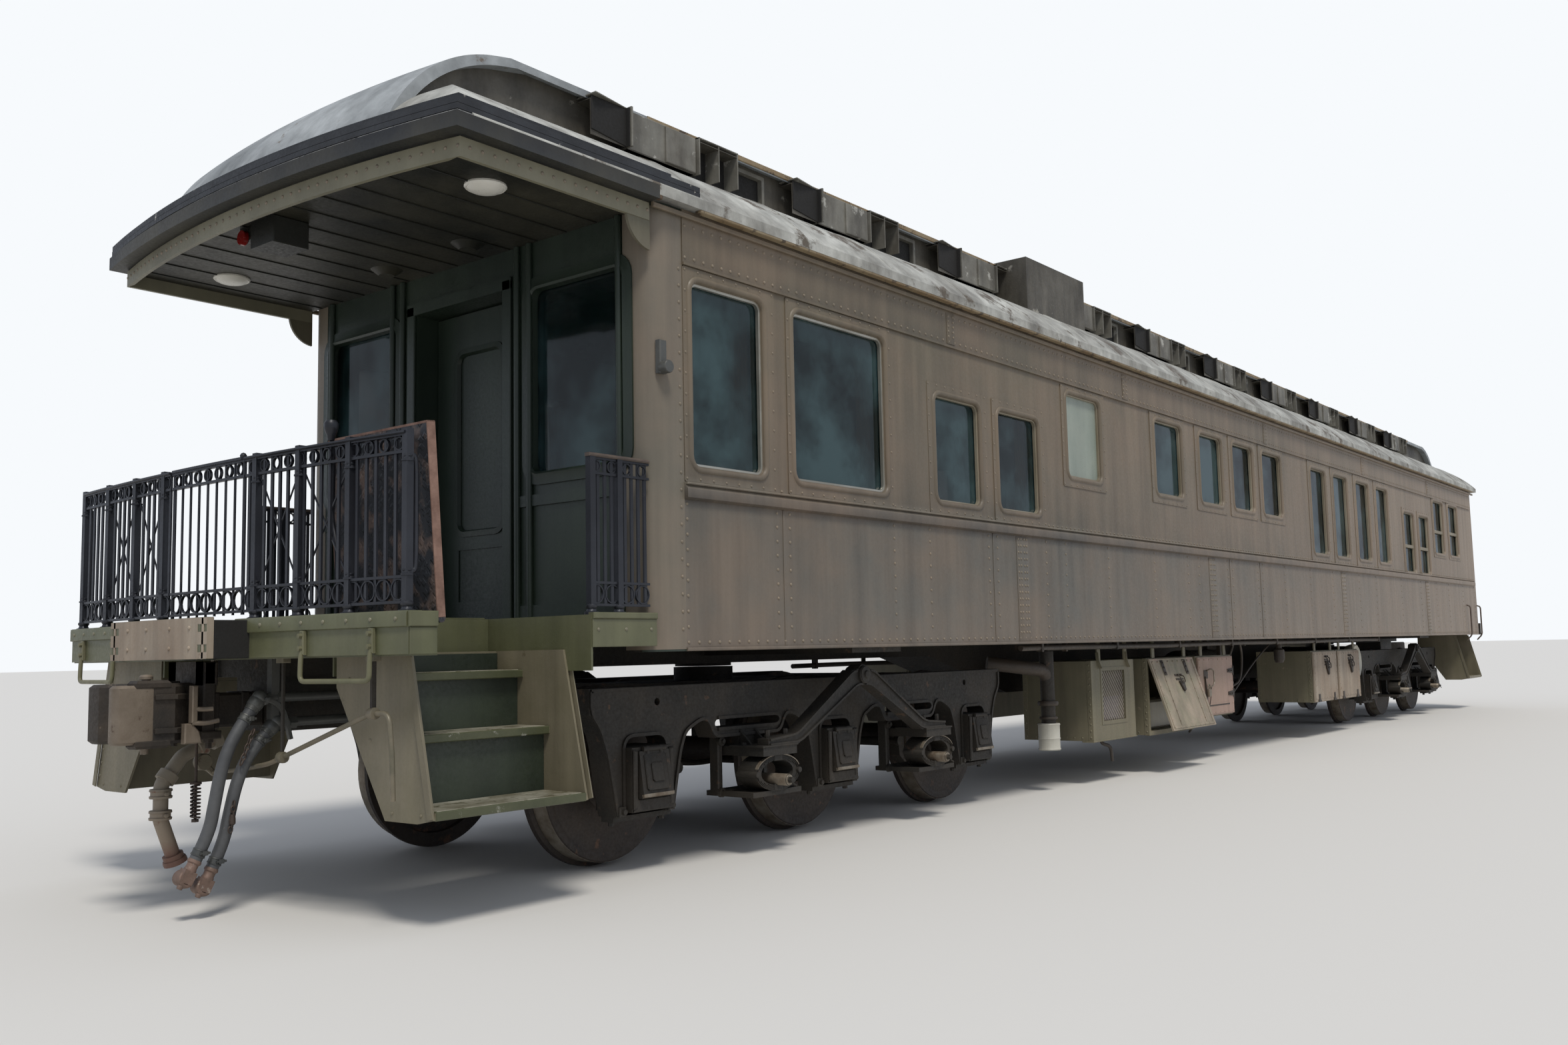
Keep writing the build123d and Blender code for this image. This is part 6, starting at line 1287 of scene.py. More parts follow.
trim = [hoop([(left - 0.03, right + 0.03, low - 0.03, high + 0.03, 0.006, -1.2995), (left - 0.03, right + 0.03,
    low - 0.03, high + 0.03, 0.006, -1.304), (left, right, low, high, 0.004, -1.304),
    (left, right, low, high, 0.004, -1.2995)])]
for x in (5.36, 5.9):
    trim.append(carried(flat_section(0.028, 0.006), bent([(BULK + x, -1.303, 1.06), (BULK + x, -1.308, 0.985),
        (BULK + x + 0.035, -1.318, 0.93)], 0.03)))
trim.append(block(5.24, 6.07, -1.306, -1.2, 0.34, 0.352, 0.004))
piece("screen_trim", trim, box_olive)


def swung(shells, y, z, degrees):
    """Shells turned about a line along the car through (y, z), outwards at their foot."""
    a = math.radians(degrees)
    turned_shells = []
    for points, faces in shells:
        p = np.array(points, float)
        dy, dz = p[:, 1] - y, p[:, 2] - z
        p[:, 1] = y + dy * math.cos(a) + dz * math.sin(a)
        p[:, 2] = z - dy * math.sin(a) + dz * math.cos(a)
        turned_shells.append((p, faces))
    return turned_shells


def rim_rivets(x0, x1, z0, z1, y, across, up):
    """Rivet spots round the edge of a door."""
    level = [(x, y, z) for z in (z0, z1) for x in np.linspace(x0, x1, across)]
    return level + [(x, y, z) for x in (x0, x1) for z in np.linspace(z0, z1, up)[1:-1]]


def hasp(x, z, y, wide):
    """A lever latch: staple, handle plate and the dark keeper below it."""
    shells = [bar(x - wide, x + wide, y - 0.006, y, z + 0.016, z + 0.034, 0.002),
        bar(x - wide, x + wide, y - 0.006, y, z - 0.02, z - 0.004, 0.002),
        slab([(x - 0.045, z - 0.03), (x + 0.045, z - 0.03), (x + 0.03, z - 0.12), (x - 0.005, z - 0.13)],
            y - 0.022, y - 0.004, "y", 0.005)]
    loop = [(x - 0.05, y - 0.004, z + 0.02), (x - 0.045, y - 0.03, z + 0.005), (x - 0.035, y - 0.032, z - 0.05),
        (x + 0.035, y - 0.032, z - 0.05), (x + 0.045, y - 0.03, z + 0.005), (x + 0.05, y - 0.004, z + 0.02)]
    shells.append(carried(round_section(0.005, 6), bent(loop, 0.015)))
    for step in (-0.03, 0.03):
        shells.append(turned([(0.0, y - 0.018), (0.008, y - 0.017), (0.009, y - 0.004), (0.0, y)],
            (x + step, 0, z + 0.025), "y", 8))
    return shells


# Open door: strap hinges bent over its top edge, ribs pressed along its sides and its latch
DOOR_Y = -1.321
ICE_HINGE, ICE_OPEN = (-1.314, 0.98), 18
x0, x1 = BULK + 6.35, BULK + 7.33
ice = [slab([(x0 + 0.03, 0.36), (x0 + 0.055, 0.36), (x0 + 0.055, 0.955), (x0 + 0.03, 0.955)], DOOR_Y - 0.005,
        DOOR_Y, "y", 0.002),
    slab([(x1 - 0.055, 0.36), (x1 - 0.03, 0.36), (x1 - 0.03, 0.955), (x1 - 0.055, 0.955)], DOOR_Y - 0.005, DOOR_Y,
        "y", 0.002),
    bar(x0 + 0.03, x1 - 0.03, DOOR_Y - 0.005, DOOR_Y, 0.352, 0.372, 0.002),
    bar(x0 + 0.2, x0 + 0.206, DOOR_Y - 0.004, DOOR_Y, 0.38, 0.95, 0.001),
    bar(x1 - 0.206, x1 - 0.2, DOOR_Y - 0.004, DOOR_Y, 0.38, 0.95, 0.001)]
ice_dark = hasp((x0 + x1) / 2 + 0.02, 0.8, DOOR_Y, 0.085)
for x in (x0 + 0.24, x1 - 0.24):
    ice_dark += [bar(x - 0.028, x + 0.028, DOOR_Y - 0.007, DOOR_Y, 0.83, 0.968, 0.003),
        turned([(0.0, x - 0.034), (0.009, x - 0.033), (0.009, x + 0.033), (0.0, x + 0.034)], (0, -1.314, 0.98),
            "x", 10)]
    for z in (0.85, 0.9, 0.945):
        ice_dark.append(turned([(0.0, DOOR_Y - 0.016), (0.009, DOOR_Y - 0.015), (0.01, DOOR_Y - 0.006),
            (0.0, DOOR_Y)], (x, 0, z), "y", 6))
spots = rim_rivets(x0 + 0.043, x1 - 0.043, 0.362, 0.955, DOOR_Y - 0.005, 9, 9)
spots += [(x, DOOR_Y - 0.004, z) for x in (x0 + 0.2 + 0.003, x1 - 0.203) for z in np.linspace(0.42, 0.78, 5)]
piece("ice_door_trim", swung(ice, *ICE_HINGE, ICE_OPEN), ice_paint, body="box_door_ice")
piece("ice_door_fittings", swung(ice_dark, *ICE_HINGE, ICE_OPEN), dark_fitting, body="box_door_ice")
piece("ice_door_rivets", swung([scatter(RIVET, spots, (0, -1, 0), 0.0085)], *ICE_HINGE, ICE_OPEN), ice_paint,
    body="box_door_ice", closed=False)
piece("ice_load", [block(6.42, 7.25, -1.21, -0.8, 0.366, 0.62, 0.02)], white_enamel)

# Padlocked door: a long lever latch at the rear, hinges at the front and a pressed slot low down
x0, x1 = BULK + 7.46, BULK + 8.34
lock = [bar(x0 + 0.17, x1 - 0.13, DOOR_Y - 0.004, DOOR_Y, 0.545, 0.553, 0.001),
    slab([(x0 + 0.012, 0.44), (x1 - 0.012, 0.44), (x1 - 0.012, 0.97), (x0 + 0.012, 0.97)], DOOR_Y - 0.003, DOOR_Y,
        "y", 0.001)]
lock_dark = [bar(x0 + 0.15, x1 - 0.12, DOOR_Y - 0.0055, DOOR_Y - 0.002, 0.515, 0.527, 0.001)]
for z in (0.62, 0.84):
    lock_dark += [slab([(x1 - 0.15, z - 0.016), (x1 - 0.01, z - 0.026), (x1 - 0.01, z + 0.026),
            (x1 - 0.15, z + 0.016)], DOOR_Y - 0.01, DOOR_Y - 0.003, "y", 0.003),
        turned([(0.0, z - 0.045), (0.011, z - 0.044), (0.011, z + 0.044), (0.0, z + 0.045)],
            (x1 - 0.002, -1.322, 0), "z", 10)]
    for x in (x1 - 0.12, x1 - 0.06):
        lock_dark.append(turned([(0.0, DOOR_Y - 0.02), (0.008, DOOR_Y - 0.019), (0.009, DOOR_Y - 0.009),
            (0.0, DOOR_Y)], (x, 0, z), "y", 6))
latch_x, latch_z = x0 + 0.17, 0.8
lock_dark.append(bar(latch_x - 0.05, latch_x + 0.05, DOOR_Y - 0.008, DOOR_Y - 0.002, latch_z - 0.02,
    latch_z + 0.06, 0.003))
lock_bright = [rod(0.007, [(0.02, DOOR_Y - 0.006, latch_z + 0.05), (0.02, DOOR_Y - 0.04, latch_z + 0.07),
        (0.1, DOOR_Y - 0.045, latch_z + 0.06), (0.105, DOOR_Y - 0.045, latch_z - 0.07),
        (0.03, DOOR_Y - 0.045, latch_z - 0.1), (0.0, DOOR_Y - 0.03, latch_z - 0.09)], 0.035, 8, start=latch_x),
    slab([(latch_x - 0.03, latch_z - 0.19), (latch_x + 0.03, latch_z - 0.19), (latch_x + 0.034, latch_z - 0.12),
        (latch_x - 0.034, latch_z - 0.12)], DOOR_Y - 0.045, DOOR_Y - 0.02, "y", 0.006),
    rod(0.006, [(-0.02, DOOR_Y - 0.032, latch_z - 0.125), (-0.02, DOOR_Y - 0.032, latch_z - 0.075),
        (0.02, DOOR_Y - 0.032, latch_z - 0.075), (0.02, DOOR_Y - 0.032, latch_z - 0.125)], 0.018, 8,
        start=latch_x)]
lock_dark += [slab([(latch_x - 0.025, latch_z - 0.27), (latch_x - 0.005, latch_z - 0.17),
        (latch_x - 0.04, latch_z)], DOOR_Y - 0.02, DOOR_Y - 0.004, "y", 0.003),
    rod(0.004, [(0.06, DOOR_Y - 0.03, latch_z - 0.1), (0.065, DOOR_Y - 0.02, latch_z - 0.2),
        (0.06, DOOR_Y - 0.008, latch_z - 0.27)], 0.03, 6, start=latch_x)]
spots = rim_rivets(x0 + 0.03, x1 - 0.03, 0.455, 0.955, DOOR_Y - 0.003, 8, 8)
piece("lock_door_panel", lock, pink_paint, body="box_door_lock")
piece("lock_door_fittings", lock_dark, dark_fitting, body="box_door_lock")
piece("lock_door_padlock", lock_bright, worn_and_sunlit_steel, body="box_door_lock")
rivets("lock_door_rivets", spots, (0, -1, 0), pink_paint, 0.008, body="box_door_lock")

# Pair of doors that fold down, each with its latch near the top
for number, start in ((1, 10.9), (2, 11.84)):
    x0, x1 = BULK + start + 0.01, BULK + start + 0.89
    panel = [slab([(x0 + 0.02, 0.44), (x1 - 0.02, 0.44), (x1 - 0.02, 0.965), (x0 + 0.02, 0.965)], DOOR_Y - 0.003,
        DOOR_Y, "y", 0.001)]
    spots = rim_rivets(x0 + 0.035, x1 - 0.035, 0.455, 0.95, DOOR_Y - 0.003, 9, 8)
    fittings = hasp((x0 + x1) / 2 + 0.06, 0.84, DOOR_Y - 0.003, 0.1)
    fittings += hasp((x0 + x1) / 2 + 0.02, 0.9, DOOR_Y - 0.003, 0.07)
    for x in (x0 + 0.15, x1 - 0.15):
        fittings += [turned([(0.0, x - 0.05), (0.012, x - 0.048), (0.012, x + 0.048), (0.0, x + 0.05)],
                (0, -1.322, 0.421), "x", 10),
            bar(x - 0.03, x + 0.03, DOOR_Y - 0.008, DOOR_Y - 0.002, 0.425, 0.5, 0.003)]
    piece(f"pair_door_panel_{number}", panel, beige, body=f"box_door_pair_{number}")
    piece(f"pair_door_fittings_{number}", fittings, dark_fitting, body=f"box_door_pair_{number}")
    rivets(f"pair_door_rivets_{number}", spots, (0, -1, 0), beige, 0.008, body=f"box_door_pair_{number}")

# Downpipe with its elbow, flanges and pale sleeve; drains of the first and the third cabinet
pipe_x = BULK + 4.72
pipes = [rod(0.052, [(-0.47, -0.92, 1.0), (-0.28, -1.14, 0.96), (0.0, -1.18, 0.93), (0.0, -1.18, 0.72)], 0.14, 20,
        start=pipe_x),
    turned([(0.0, 0.66), (0.075, 0.66), (0.08, 0.67), (0.08, 0.685), (0.075, 0.695), (0.0, 0.7)],
        (pipe_x, -1.18, 0), "z", 24),
    turned([(0.0, 0.555), (0.068, 0.556), (0.072, 0.565), (0.068, 0.575), (0.0, 0.576)], (pipe_x, -1.18, 0), "z",
        24),
    rod(0.014, [(5.56, -1.2, 0.36), (5.56, -1.22, 0.31), (5.66, -1.25, 0.285), (5.68, -1.25, 0.16)], 0.05),
    rod(0.012, [(7.72, -1.1, 0.43), (7.72, -1.12, 0.36), (7.69, -1.14, 0.3), (7.63, -1.14, 0.28)], 0.05, 8)]
piece("drain_pipes", pipes, dark_fitting)
piece("downpipe_sleeve", [turned([(0.0, 0.318), (0.083, 0.318), (0.088, 0.326), (0.083, 0.336), (0.083, 0.4),
    (0.087, 0.408), (0.083, 0.416), (0.083, 0.505), (0.088, 0.514), (0.083, 0.524), (0.0, 0.524)],
    (pipe_x, -1.18, 0), "z", 28)], white_enamel)

# Water tank across the car: flanged white ends with a shallow dish
TANK = (BULK + 13.04, 0, 0.83)
tank = []
for side in (-1, 1):
    tank.append(turned([(0.0, side * 1.168), (0.1, side * 1.17), (0.165, side * 1.182), (0.19, side * 1.205),
        (0.205, side * 1.212), (0.22, side * 1.204), (0.224, side * 1.17), (0.216, side * 1.13),
        (0.205, side * 1.1), (0.0, side * 1.1)], TANK, "y", 40))
piece("tank_ends", tank, white_enamel)
bands = []
for y in (-0.9, -0.35, 0.35, 0.9):
    bands.append(turned([(0.203, y - 0.03), (0.206, y - 0.03), (0.206, y + 0.03), (0.203, y + 0.03),
        (0.198, y + 0.03), (0.198, y - 0.03), (0.203, y - 0.03)], TANK, "y", 32))
for place, y, z, half in ((9.3, 0.47, 0.83, 0.75), (9.0, -0.7, 0.85, 0.5)):
    for end in (-1, 1):
        x = BULK + place + end * half
        bands.append(turned([(0.0, x + end * 0.05), (0.1, x + end * 0.044), (0.165, x + end * 0.02), (0.19, x),
            (0.19, x - end * 0.01), (0.0, x - end * 0.01)], (0, y, z), "x", 32))
        x = BULK + place + end * half * 0.6
        bands.append(turned([(0.192, x - 0.02), (0.195, x - 0.02), (0.195, x + 0.02), (0.192, x + 0.02),
            (0.187, x + 0.02), (0.187, x - 0.02), (0.192, x - 0.02)], (0, y, z), "x", 32))
piece("tank_bands", bands, dark_fitting)

# Pipes and cables along the sills, the brake valve with its looped pipe, and rods between the tanks
lines = []
for y, z, r, x0, x1 in ((-1.405, 1.108, 0.021, 3.9, 13.3), (-1.355, 1.098, 0.014, 4.4, 12.8),
        (1.4, 1.105, 0.021, 3.9, 13.3), (0.62, 1.0, 0.02, 3.8, 13.2)):
    lines.append(carried(round_section(r, 10), [(BULK + x, y, z + 0.004 * math.sin(x * 1.7))
        for x in np.linspace(x0, x1, 24)]))
    for x in np.arange(x0 + 0.3, x1, 1.3):
        lines.append(bar(BULK + x - 0.015, BULK + x + 0.015, y - r - 0.004, y + r + 0.004, z - r - 0.006,
            1.145 if abs(y) > 1 else 1.26, 0.003))
valve = BULK + 8.66
lines += [turned([(0.0, 0.5), (0.05, 0.505), (0.062, 0.53), (0.062, 0.6), (0.045, 0.62), (0.045, 0.68),
        (0.06, 0.7), (0.06, 0.72), (0.0, 0.73)], (valve, -1.15, 0), "z", 18),
    rod(0.013, [(0.0, -1.15, 0.72), (-0.02, -1.17, 0.92), (0.02, -1.24, 1.14)], 0.1, 8, start=valve),
    rod(0.011, [(0.05, -1.16, 0.66), (0.24, -1.2, 0.72), (0.26, -1.22, 0.98), (0.1, -1.26, 1.1),
        (0.02, -1.28, 1.15)], 0.14, 8, start=valve),
    rod(0.009, [(0.06, -1.14, 0.55), (0.8, -1.16, 0.92), (1.3, -1.2, 1.13)], 0.3, 8, start=valve),
    rod(0.008, [(-0.25, -1.22, 1.14), (-0.22, -1.24, 0.84), (-0.05, -1.22, 0.78), (-0.01, -1.16, 0.7)], 0.1, 6,
        start=valve),
    bar(valve - 0.1, valve + 0.1, -1.1, -1.02, 0.56, 0.6, 0.006),
    bar(valve - 0.02, valve + 0.02, -1.1, -1.06, 0.58, 1.14, 0.004),
    turned([(0.0, 0.88), (0.04, 0.885), (0.055, 0.92), (0.055, 1.02), (0.03, 1.04), (0.03, 1.14), (0.0, 1.14)],
        (valve + 1.22, -1.28, 0), "z", 16)]
piece("underfloor_lines", lines, dark_fitting)


# Hoses
# Two rubber air hoses hang from screwed elbows beside the coupler, each held by a clamp at both ends. The
# route's points are the control points of one smooth spline.
rubber = weathered("hose_rubber", ((66, 67, 69), (82, 83, 84)), rough=(0.42, 0.62), cloud=7.0, bump=0.2,
    spots=((112, 106, 100), 20.0, 0.66))
casting_rust = weathered("coupling_casting", ((128, 104, 92), (96, 80, 70)), rough=(0.5, 0.75), metallic=0.25,
    cloud=9.0, bump=0.35, spots=((148, 136, 126), 24.0, 0.6))
dress(grey_iron, "train_pipes")
dress(casting_rust, "coupling_brake", "coupling_signal")


def lathe(profile, at, way, sides=16):
    """A turned piece on any axis: rings of (radius, place) square to the way, counted from a point."""
    way = np.array(way, float) / np.linalg.norm(way)
    across = np.cross(way, (0.0, 1.0, 0.0))
    across /= np.linalg.norm(across)
    upright = np.cross(way, across)
    turn = np.linspace(0, 2 * math.pi, sides, endpoint=False)
    spokes = np.outer(np.cos(turn), across) + np.outer(np.sin(turn), upright)
    return loft([np.array(at, float) + way * place + spokes * max(r, 1e-4) for r, place in profile])


def hose_line(name, points):
    """A hanging hose: a NURBS spline through space with a round section."""
    line = bpy.data.curves.new(name, "CURVE")
    line.dimensions = "3D"
    run = line.splines.new("NURBS")
    run.points.add(len(points) - 1)
    for knot, (x, y, z) in zip(run.points, points):
        knot.co = (BULK + x, y, z, 1.0)
    run.order_u = 3
    run.use_endpoint_u = True
    run.resolution_u = 10
    made = bpy.data.objects.new(name, line)
    bpy.context.scene.collection.objects.link(made)
    bare = bpy.data.meshes.new_from_object(made)
    spots = np.array([v.co for v in bare.vertices])
    bpy.data.meshes.remove(bare)
    line.bevel_depth = 0.028
    line.bevel_resolution = 6
    line.use_fill_caps = True
    line.materials.append(rubber)
    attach(made, "car")
    return made, spots


def band(at, way, radius, bolt):
    """A hose clamp: a rolled strap with raised edges and a bolted lug on one side."""
    shells = [lathe([(radius - 0.004, -0.016), (radius + 0.001, -0.015), (radius + 0.002, -0.01),
        (radius, -0.008), (radius, 0.008), (radius + 0.002, 0.01), (radius + 0.001, 0.015),
        (radius - 0.004, 0.016)], at, way, 24)]
    spot = np.array(at) + np.array(bolt) * (radius + 0.006)
    shells += [bar(spot[0] - 0.012, spot[0] + 0.012, spot[1] - 0.008, spot[1] + 0.008, spot[2] - 0.01,
            spot[2] + 0.01, 0.003),
        turned([(0.0, spot[0] - 0.024), (0.006, spot[0] - 0.023), (0.006, spot[0] + 0.023),
            (0.0, spot[0] + 0.024)], (0, spot[1], spot[2]), "x", 6)]
    return shells


HOSES = (
    ("brake", ((-1.42, -0.33, 0.91), (-1.5, -0.325, 0.8), (-1.55, -0.32, 0.66), (-1.575, -0.315, 0.51),
    (-1.592, -0.3, 0.37), (-1.65, -0.29, 0.26))),
    ("signal", ((-1.345, -0.33, 0.8), (-1.425, -0.325, 0.715), (-1.475, -0.32, 0.595), (-1.505, -0.315, 0.46),
    (-1.522, -0.3, 0.325), (-1.572, -0.29, 0.215))),
)
for label, route in HOSES:
    tube, spots = hose_line(f"hose_{label}_line", route)
    way_in, way_out = spots[1] - spots[0], spots[-1] - spots[-2]
    clamps = band(spots[2], spots[3] - spots[1], 0.0305, (0.3, -0.95, 0))
    clamps += band(spots[-3], spots[-2] - spots[-4], 0.0305, (0.3, -0.95, 0))
    back = spots[0] - way_in / np.linalg.norm(way_in) * 0.05
    clamps.append(lathe([(0.029, 0.045), (0.0325, 0.043), (0.0325, 0.03), (0.035, 0.028), (0.037, 0.016),
        (0.037, -0.004), (0.033, -0.012), (0.033, -0.02)], back, way_in, 24))
    clamp = piece(f"hose_{label}_clamps", clamps, grey_iron)
    # Half coupling: serrated nipple, bell, flat head with its gasket ring and the hooked lug
    foot, down = spots[-1], way_out / np.linalg.norm(way_out)
    head = [lathe([(0.029, -0.008), (0.031, 0.0), (0.031, 0.006), (0.025, 0.012), (0.025, 0.03), (0.028, 0.036),
            (0.026, 0.052), (0.019, 0.064), (0.0, 0.066)], foot, down, 24),
        lathe([(0.0, -0.024), (0.03, -0.022), (0.038, -0.014), (0.0385, 0.006), (0.034, 0.012), (0.026, 0.013),
            (0.024, 0.008), (0.017, 0.008), (0.015, 0.012), (0.0, 0.012)], foot + down * 0.082 + (0, -0.006, 0),
            (0.18, -0.96, 0.2), 28),
        lathe([(0.0, -0.012), (0.012, -0.01), (0.014, 0.0), (0.012, 0.012), (0.0, 0.014)],
            foot + down * 0.112 + (-0.012, -0.012, 0), down, 14)]
    coupling = piece(f"coupling_{label}_head", head, casting_rust)
    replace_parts(tube, f"hose_{label}")

# Cut-out cock of the brake pipe: flat bent handle on a square stem, and the collars of both elbows
cock = [carried(flat_section(0.026, 0.016), bent([(BULK - 1.362, -0.372, 0.958), (BULK - 1.325, -0.374, 0.944),
        (BULK - 1.288, -0.376, 0.912), (BULK - 1.266, -0.378, 0.845), (BULK - 1.249, -0.38, 0.772)], 0.04)),
    turned([(0.0, -0.392), (0.011, -0.39), (0.013, -0.38), (0.013, -0.36), (0.024, -0.356), (0.026, -0.338),
        (0.0, -0.33)], (BULK - 1.362, 0, 0.958), "y", 8),
    turned([(0.0, BULK - 1.3), (0.031, BULK - 1.298), (0.031, BULK - 1.262), (0.0, BULK - 1.26)],
        (0, -0.33, 0.968), "x", 6),
    turned([(0.0, BULK - 1.235), (0.031, BULK - 1.233), (0.031, BULK - 1.197), (0.0, BULK - 1.195)],
        (0, -0.33, 0.846), "x", 6)]
piece("brake_cock", cock, grey_iron)

# Dummy chains: short welded links from an eye on the elbow, and a loose one by the couplings
chain_iron = weathered("chain_iron", ((60, 54, 50), (92, 76, 66)), rough=(0.5, 0.7), metallic=0.5, bump=0.2)


def chain(start, end, count):
    """Links in a row from one point to another, each an oval of round bar turned a quarter from the last."""
    start, end = np.array(start, float), np.array(end, float)
    way = (end - start) / np.linalg.norm(end - start)
    across = np.cross(way, (0.0, 1.0, 0.0))
    across /= np.linalg.norm(across)
    upright = np.cross(way, across)
    turn = np.linspace(0, 2 * math.pi, 10, endpoint=False)
    long_half = np.linalg.norm(end - start) / count * 0.68
    shells = []
    for n, centre in enumerate(start + np.outer((np.arange(count) + 0.5) / count, end - start)):
        wide = across if n % 2 else upright
        oval = centre + np.outer(long_half * np.cos(turn), way) + np.outer(0.01 * np.sin(turn), wide)
        shells.append(carried(round_section(0.0034, 5), oval, closed=True))
    return shells


links = chain((BULK - 1.425, -0.368, 0.826), (BULK - 1.482, -0.362, 0.672), 7)
links += chain((BULK - 1.505, -0.352, 0.51), (BULK - 1.52, -0.35, 0.375), 6)
links.append(lathe([(0.0, -0.03), (0.011, -0.028), (0.014, -0.01), (0.014, 0.012), (0.008, 0.018), (0.0, 0.02)],
    (BULK - 1.511, -0.352, 0.425), (0, 0, -1), 10))
piece("dummy_chains", links, chain_iron)


# Couplers
# A cast steel head on a square shank: a swinging knuckle on its pin, a guard arm opposite and a horn on
# top. The heads are painted dark for the shade that lies on them, the knuckles are bare and brown.
coupler_painted_shade = weathered("coupler_casting_shade", ((44, 40, 36), (64, 56, 48)), rough=(0.5, 0.75), metallic=0.3,
    cloud=5.0, bump=0.35, spots=((112, 98, 84), 12.0, 0.62))
knuckle_brown = weathered("knuckle_brown", ((126, 114, 100), (104, 92, 78)), rough=(0.42, 0.65), metallic=0.3,
    cloud=6.0, bump=0.25, spots=((82, 66, 54), 14.0, 0.62))


def cast(plan, low, high, edge):
    """A slab with an upright edge, its plan counted from the bulkhead."""
    return slab([(BULK + x, y) for x, y in plan], low, high, "z", edge)


def knuckle_head():
    """Head and knuckle in plan, metres from the bulkhead, for the rear coupler."""
    low, high = 0.76, 1.06
    wall = [(-1.562, -0.094), (-1.7, -0.186), (-1.8, -0.176), (-1.815, -0.15), (-1.79, -0.075), (-1.805, 0.0),
        (-1.8, 0.06), (-1.838, 0.088), (-1.896, 0.124), (-1.899, 0.175), (-1.895, 0.228), (-1.83, 0.222),
        (-1.722, 0.198), (-1.64, 0.15), (-1.562, 0.094)]
    lug = [(-1.72, -0.188), (-1.87, -0.178), (-1.885, -0.12), (-1.85, -0.06), (-1.78, -0.04), (-1.7, -0.06)]
    hook = [(-1.745, -0.165), (-1.8, -0.178), (-1.9, -0.172), (-1.935, -0.16), (-1.95, -0.13), (-1.949, -0.09),
        (-1.935, -0.064), (-1.905, -0.052), (-1.868, -0.052), (-1.836, -0.038), (-1.8, -0.03), (-1.762, -0.05),
        (-1.745, -0.1)]
    head = [cast(wall, low + 0.016, high - 0.016, 0.014)]
    for z0, z1 in ((low, low + 0.042), (high - 0.042, high)):
        head.append(cast(lug, z0, z1, 0.012))
    for z in (0.835, 0.985):
        head.append(cast(((-1.58, -0.1), (-1.7, -0.184), (-1.79, -0.174), (-1.79, -0.19), (-1.695, -0.199),
            (-1.57, -0.112)), z - 0.013, z + 0.013, 0.004))
    head += [cast(((-1.72, 0.196), (-1.88, 0.228), (-1.88, 0.236), (-1.71, 0.214)), 0.9, 0.93, 0.005),
        slab([(BULK - 1.7, 1.052), (BULK - 1.6, 1.052), (BULK - 1.585, 0.985), (BULK - 1.56, 0.985),
            (BULK - 1.56, 0.96), (BULK - 1.72, 0.96)], -0.035, 0.035, "y", 0.008),
        block(-1.61, -1.2, -0.0695, 0.0695, 0.8305, 0.9895, 0.012)]
    for x in (-1.45, -1.3):
        head.append(bar(BULK + x - 0.02, BULK + x + 0.02, -0.075, 0.075, 0.826, 0.994, 0.006))
    knuckle = [cast(hook, low + 0.02, high - 0.02, 0.012),
        turned([(0.0, low - 0.028), (0.017, low - 0.026), (0.019, low - 0.006), (0.019, high + 0.004),
            (0.029, high + 0.006), (0.029, high + 0.018), (0.02, high + 0.026), (0.0, high + 0.027)],
            (BULK - 1.8, -0.115, 0), "z", 16)]
    return head, knuckle


head, knuckle = knuckle_head()
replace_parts(piece("coupler_rear_head", head, coupler_painted_shade), "coupler_rear")
piece("coupler_rear_knuckle", knuckle, knuckle_brown)


def end_for_end(shells):
    """The same casting at the car's other end: turned half round about the upright axis."""
    moved = []
    for points, faces in shells:
        p = np.array(points, float)
        moved.append((np.stack([-p[:, 0], -p[:, 1], p[:, 2]], -1), faces))
    return moved


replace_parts(piece("coupler_front_head", end_for_end(head), coupler_painted_shade), "coupler_front")
piece("coupler_front_knuckle", end_for_end(knuckle), knuckle_brown)

# Rear draft rigging: striker round the shank, carrier iron on two bolts, lock lifter with its two prongs,
# a spring hung on an eye bolt, and the clevis that joins the lever to the lock
rigging = [block(-1.56, -1.5, -0.17, -0.085, 0.8, 1.14, 0.008),
    block(-1.56, -1.5, 0.085, 0.17, 0.8, 1.14, 0.008),
    block(-1.56, -1.49, -0.17, 0.17, 1.03, 1.14, 0.008),
    block(-1.575, -1.48, -0.19, 0.19, 0.785, 0.822, 0.006)]
for y in (-0.16, 0.16):
    rigging.append(turned([(0.0, 0.742), (0.016, 0.744), (0.016, 0.768), (0.024, 0.77), (0.024, 0.786),
        (0.0, 0.79)], (BULK - 1.528, y, 0), "z", 6))
# The rigging takes the coupler's dark, painted shade
piece("draft_rigging", rigging, coupler_painted_shade)
lifter = [block(-1.645, -1.618, -0.235, -0.196, 0.865, 1.032, 0.005),
    rod(0.011, [(-1.625, -0.225, 0.926), (-1.59, -0.235, 0.924), (-1.556, -0.25, 0.926)], 0.03, 8),
    rod(0.011, [(-1.64, -0.222, 0.866), (-1.585, -0.235, 0.86), (-1.528, -0.25, 0.872)], 0.03, 8),
    slab([(BULK - 1.672, 0.863), (BULK - 1.635, 0.863), (BULK - 1.604, 0.826), (BULK - 1.59, 0.772),
        (BULK - 1.673, 0.772)], -0.225, -0.185, "y", 0.006)]
piece("lock_lifter", lifter, knuckle_brown)
turns = np.linspace(0, 9 * 2 * math.pi, 118)
helix = np.stack([BULK - 1.5 + 0.02 * np.cos(turns), 0.02 * np.sin(turns), 0.565 - 0.15 * turns / turns[-1]], -1)
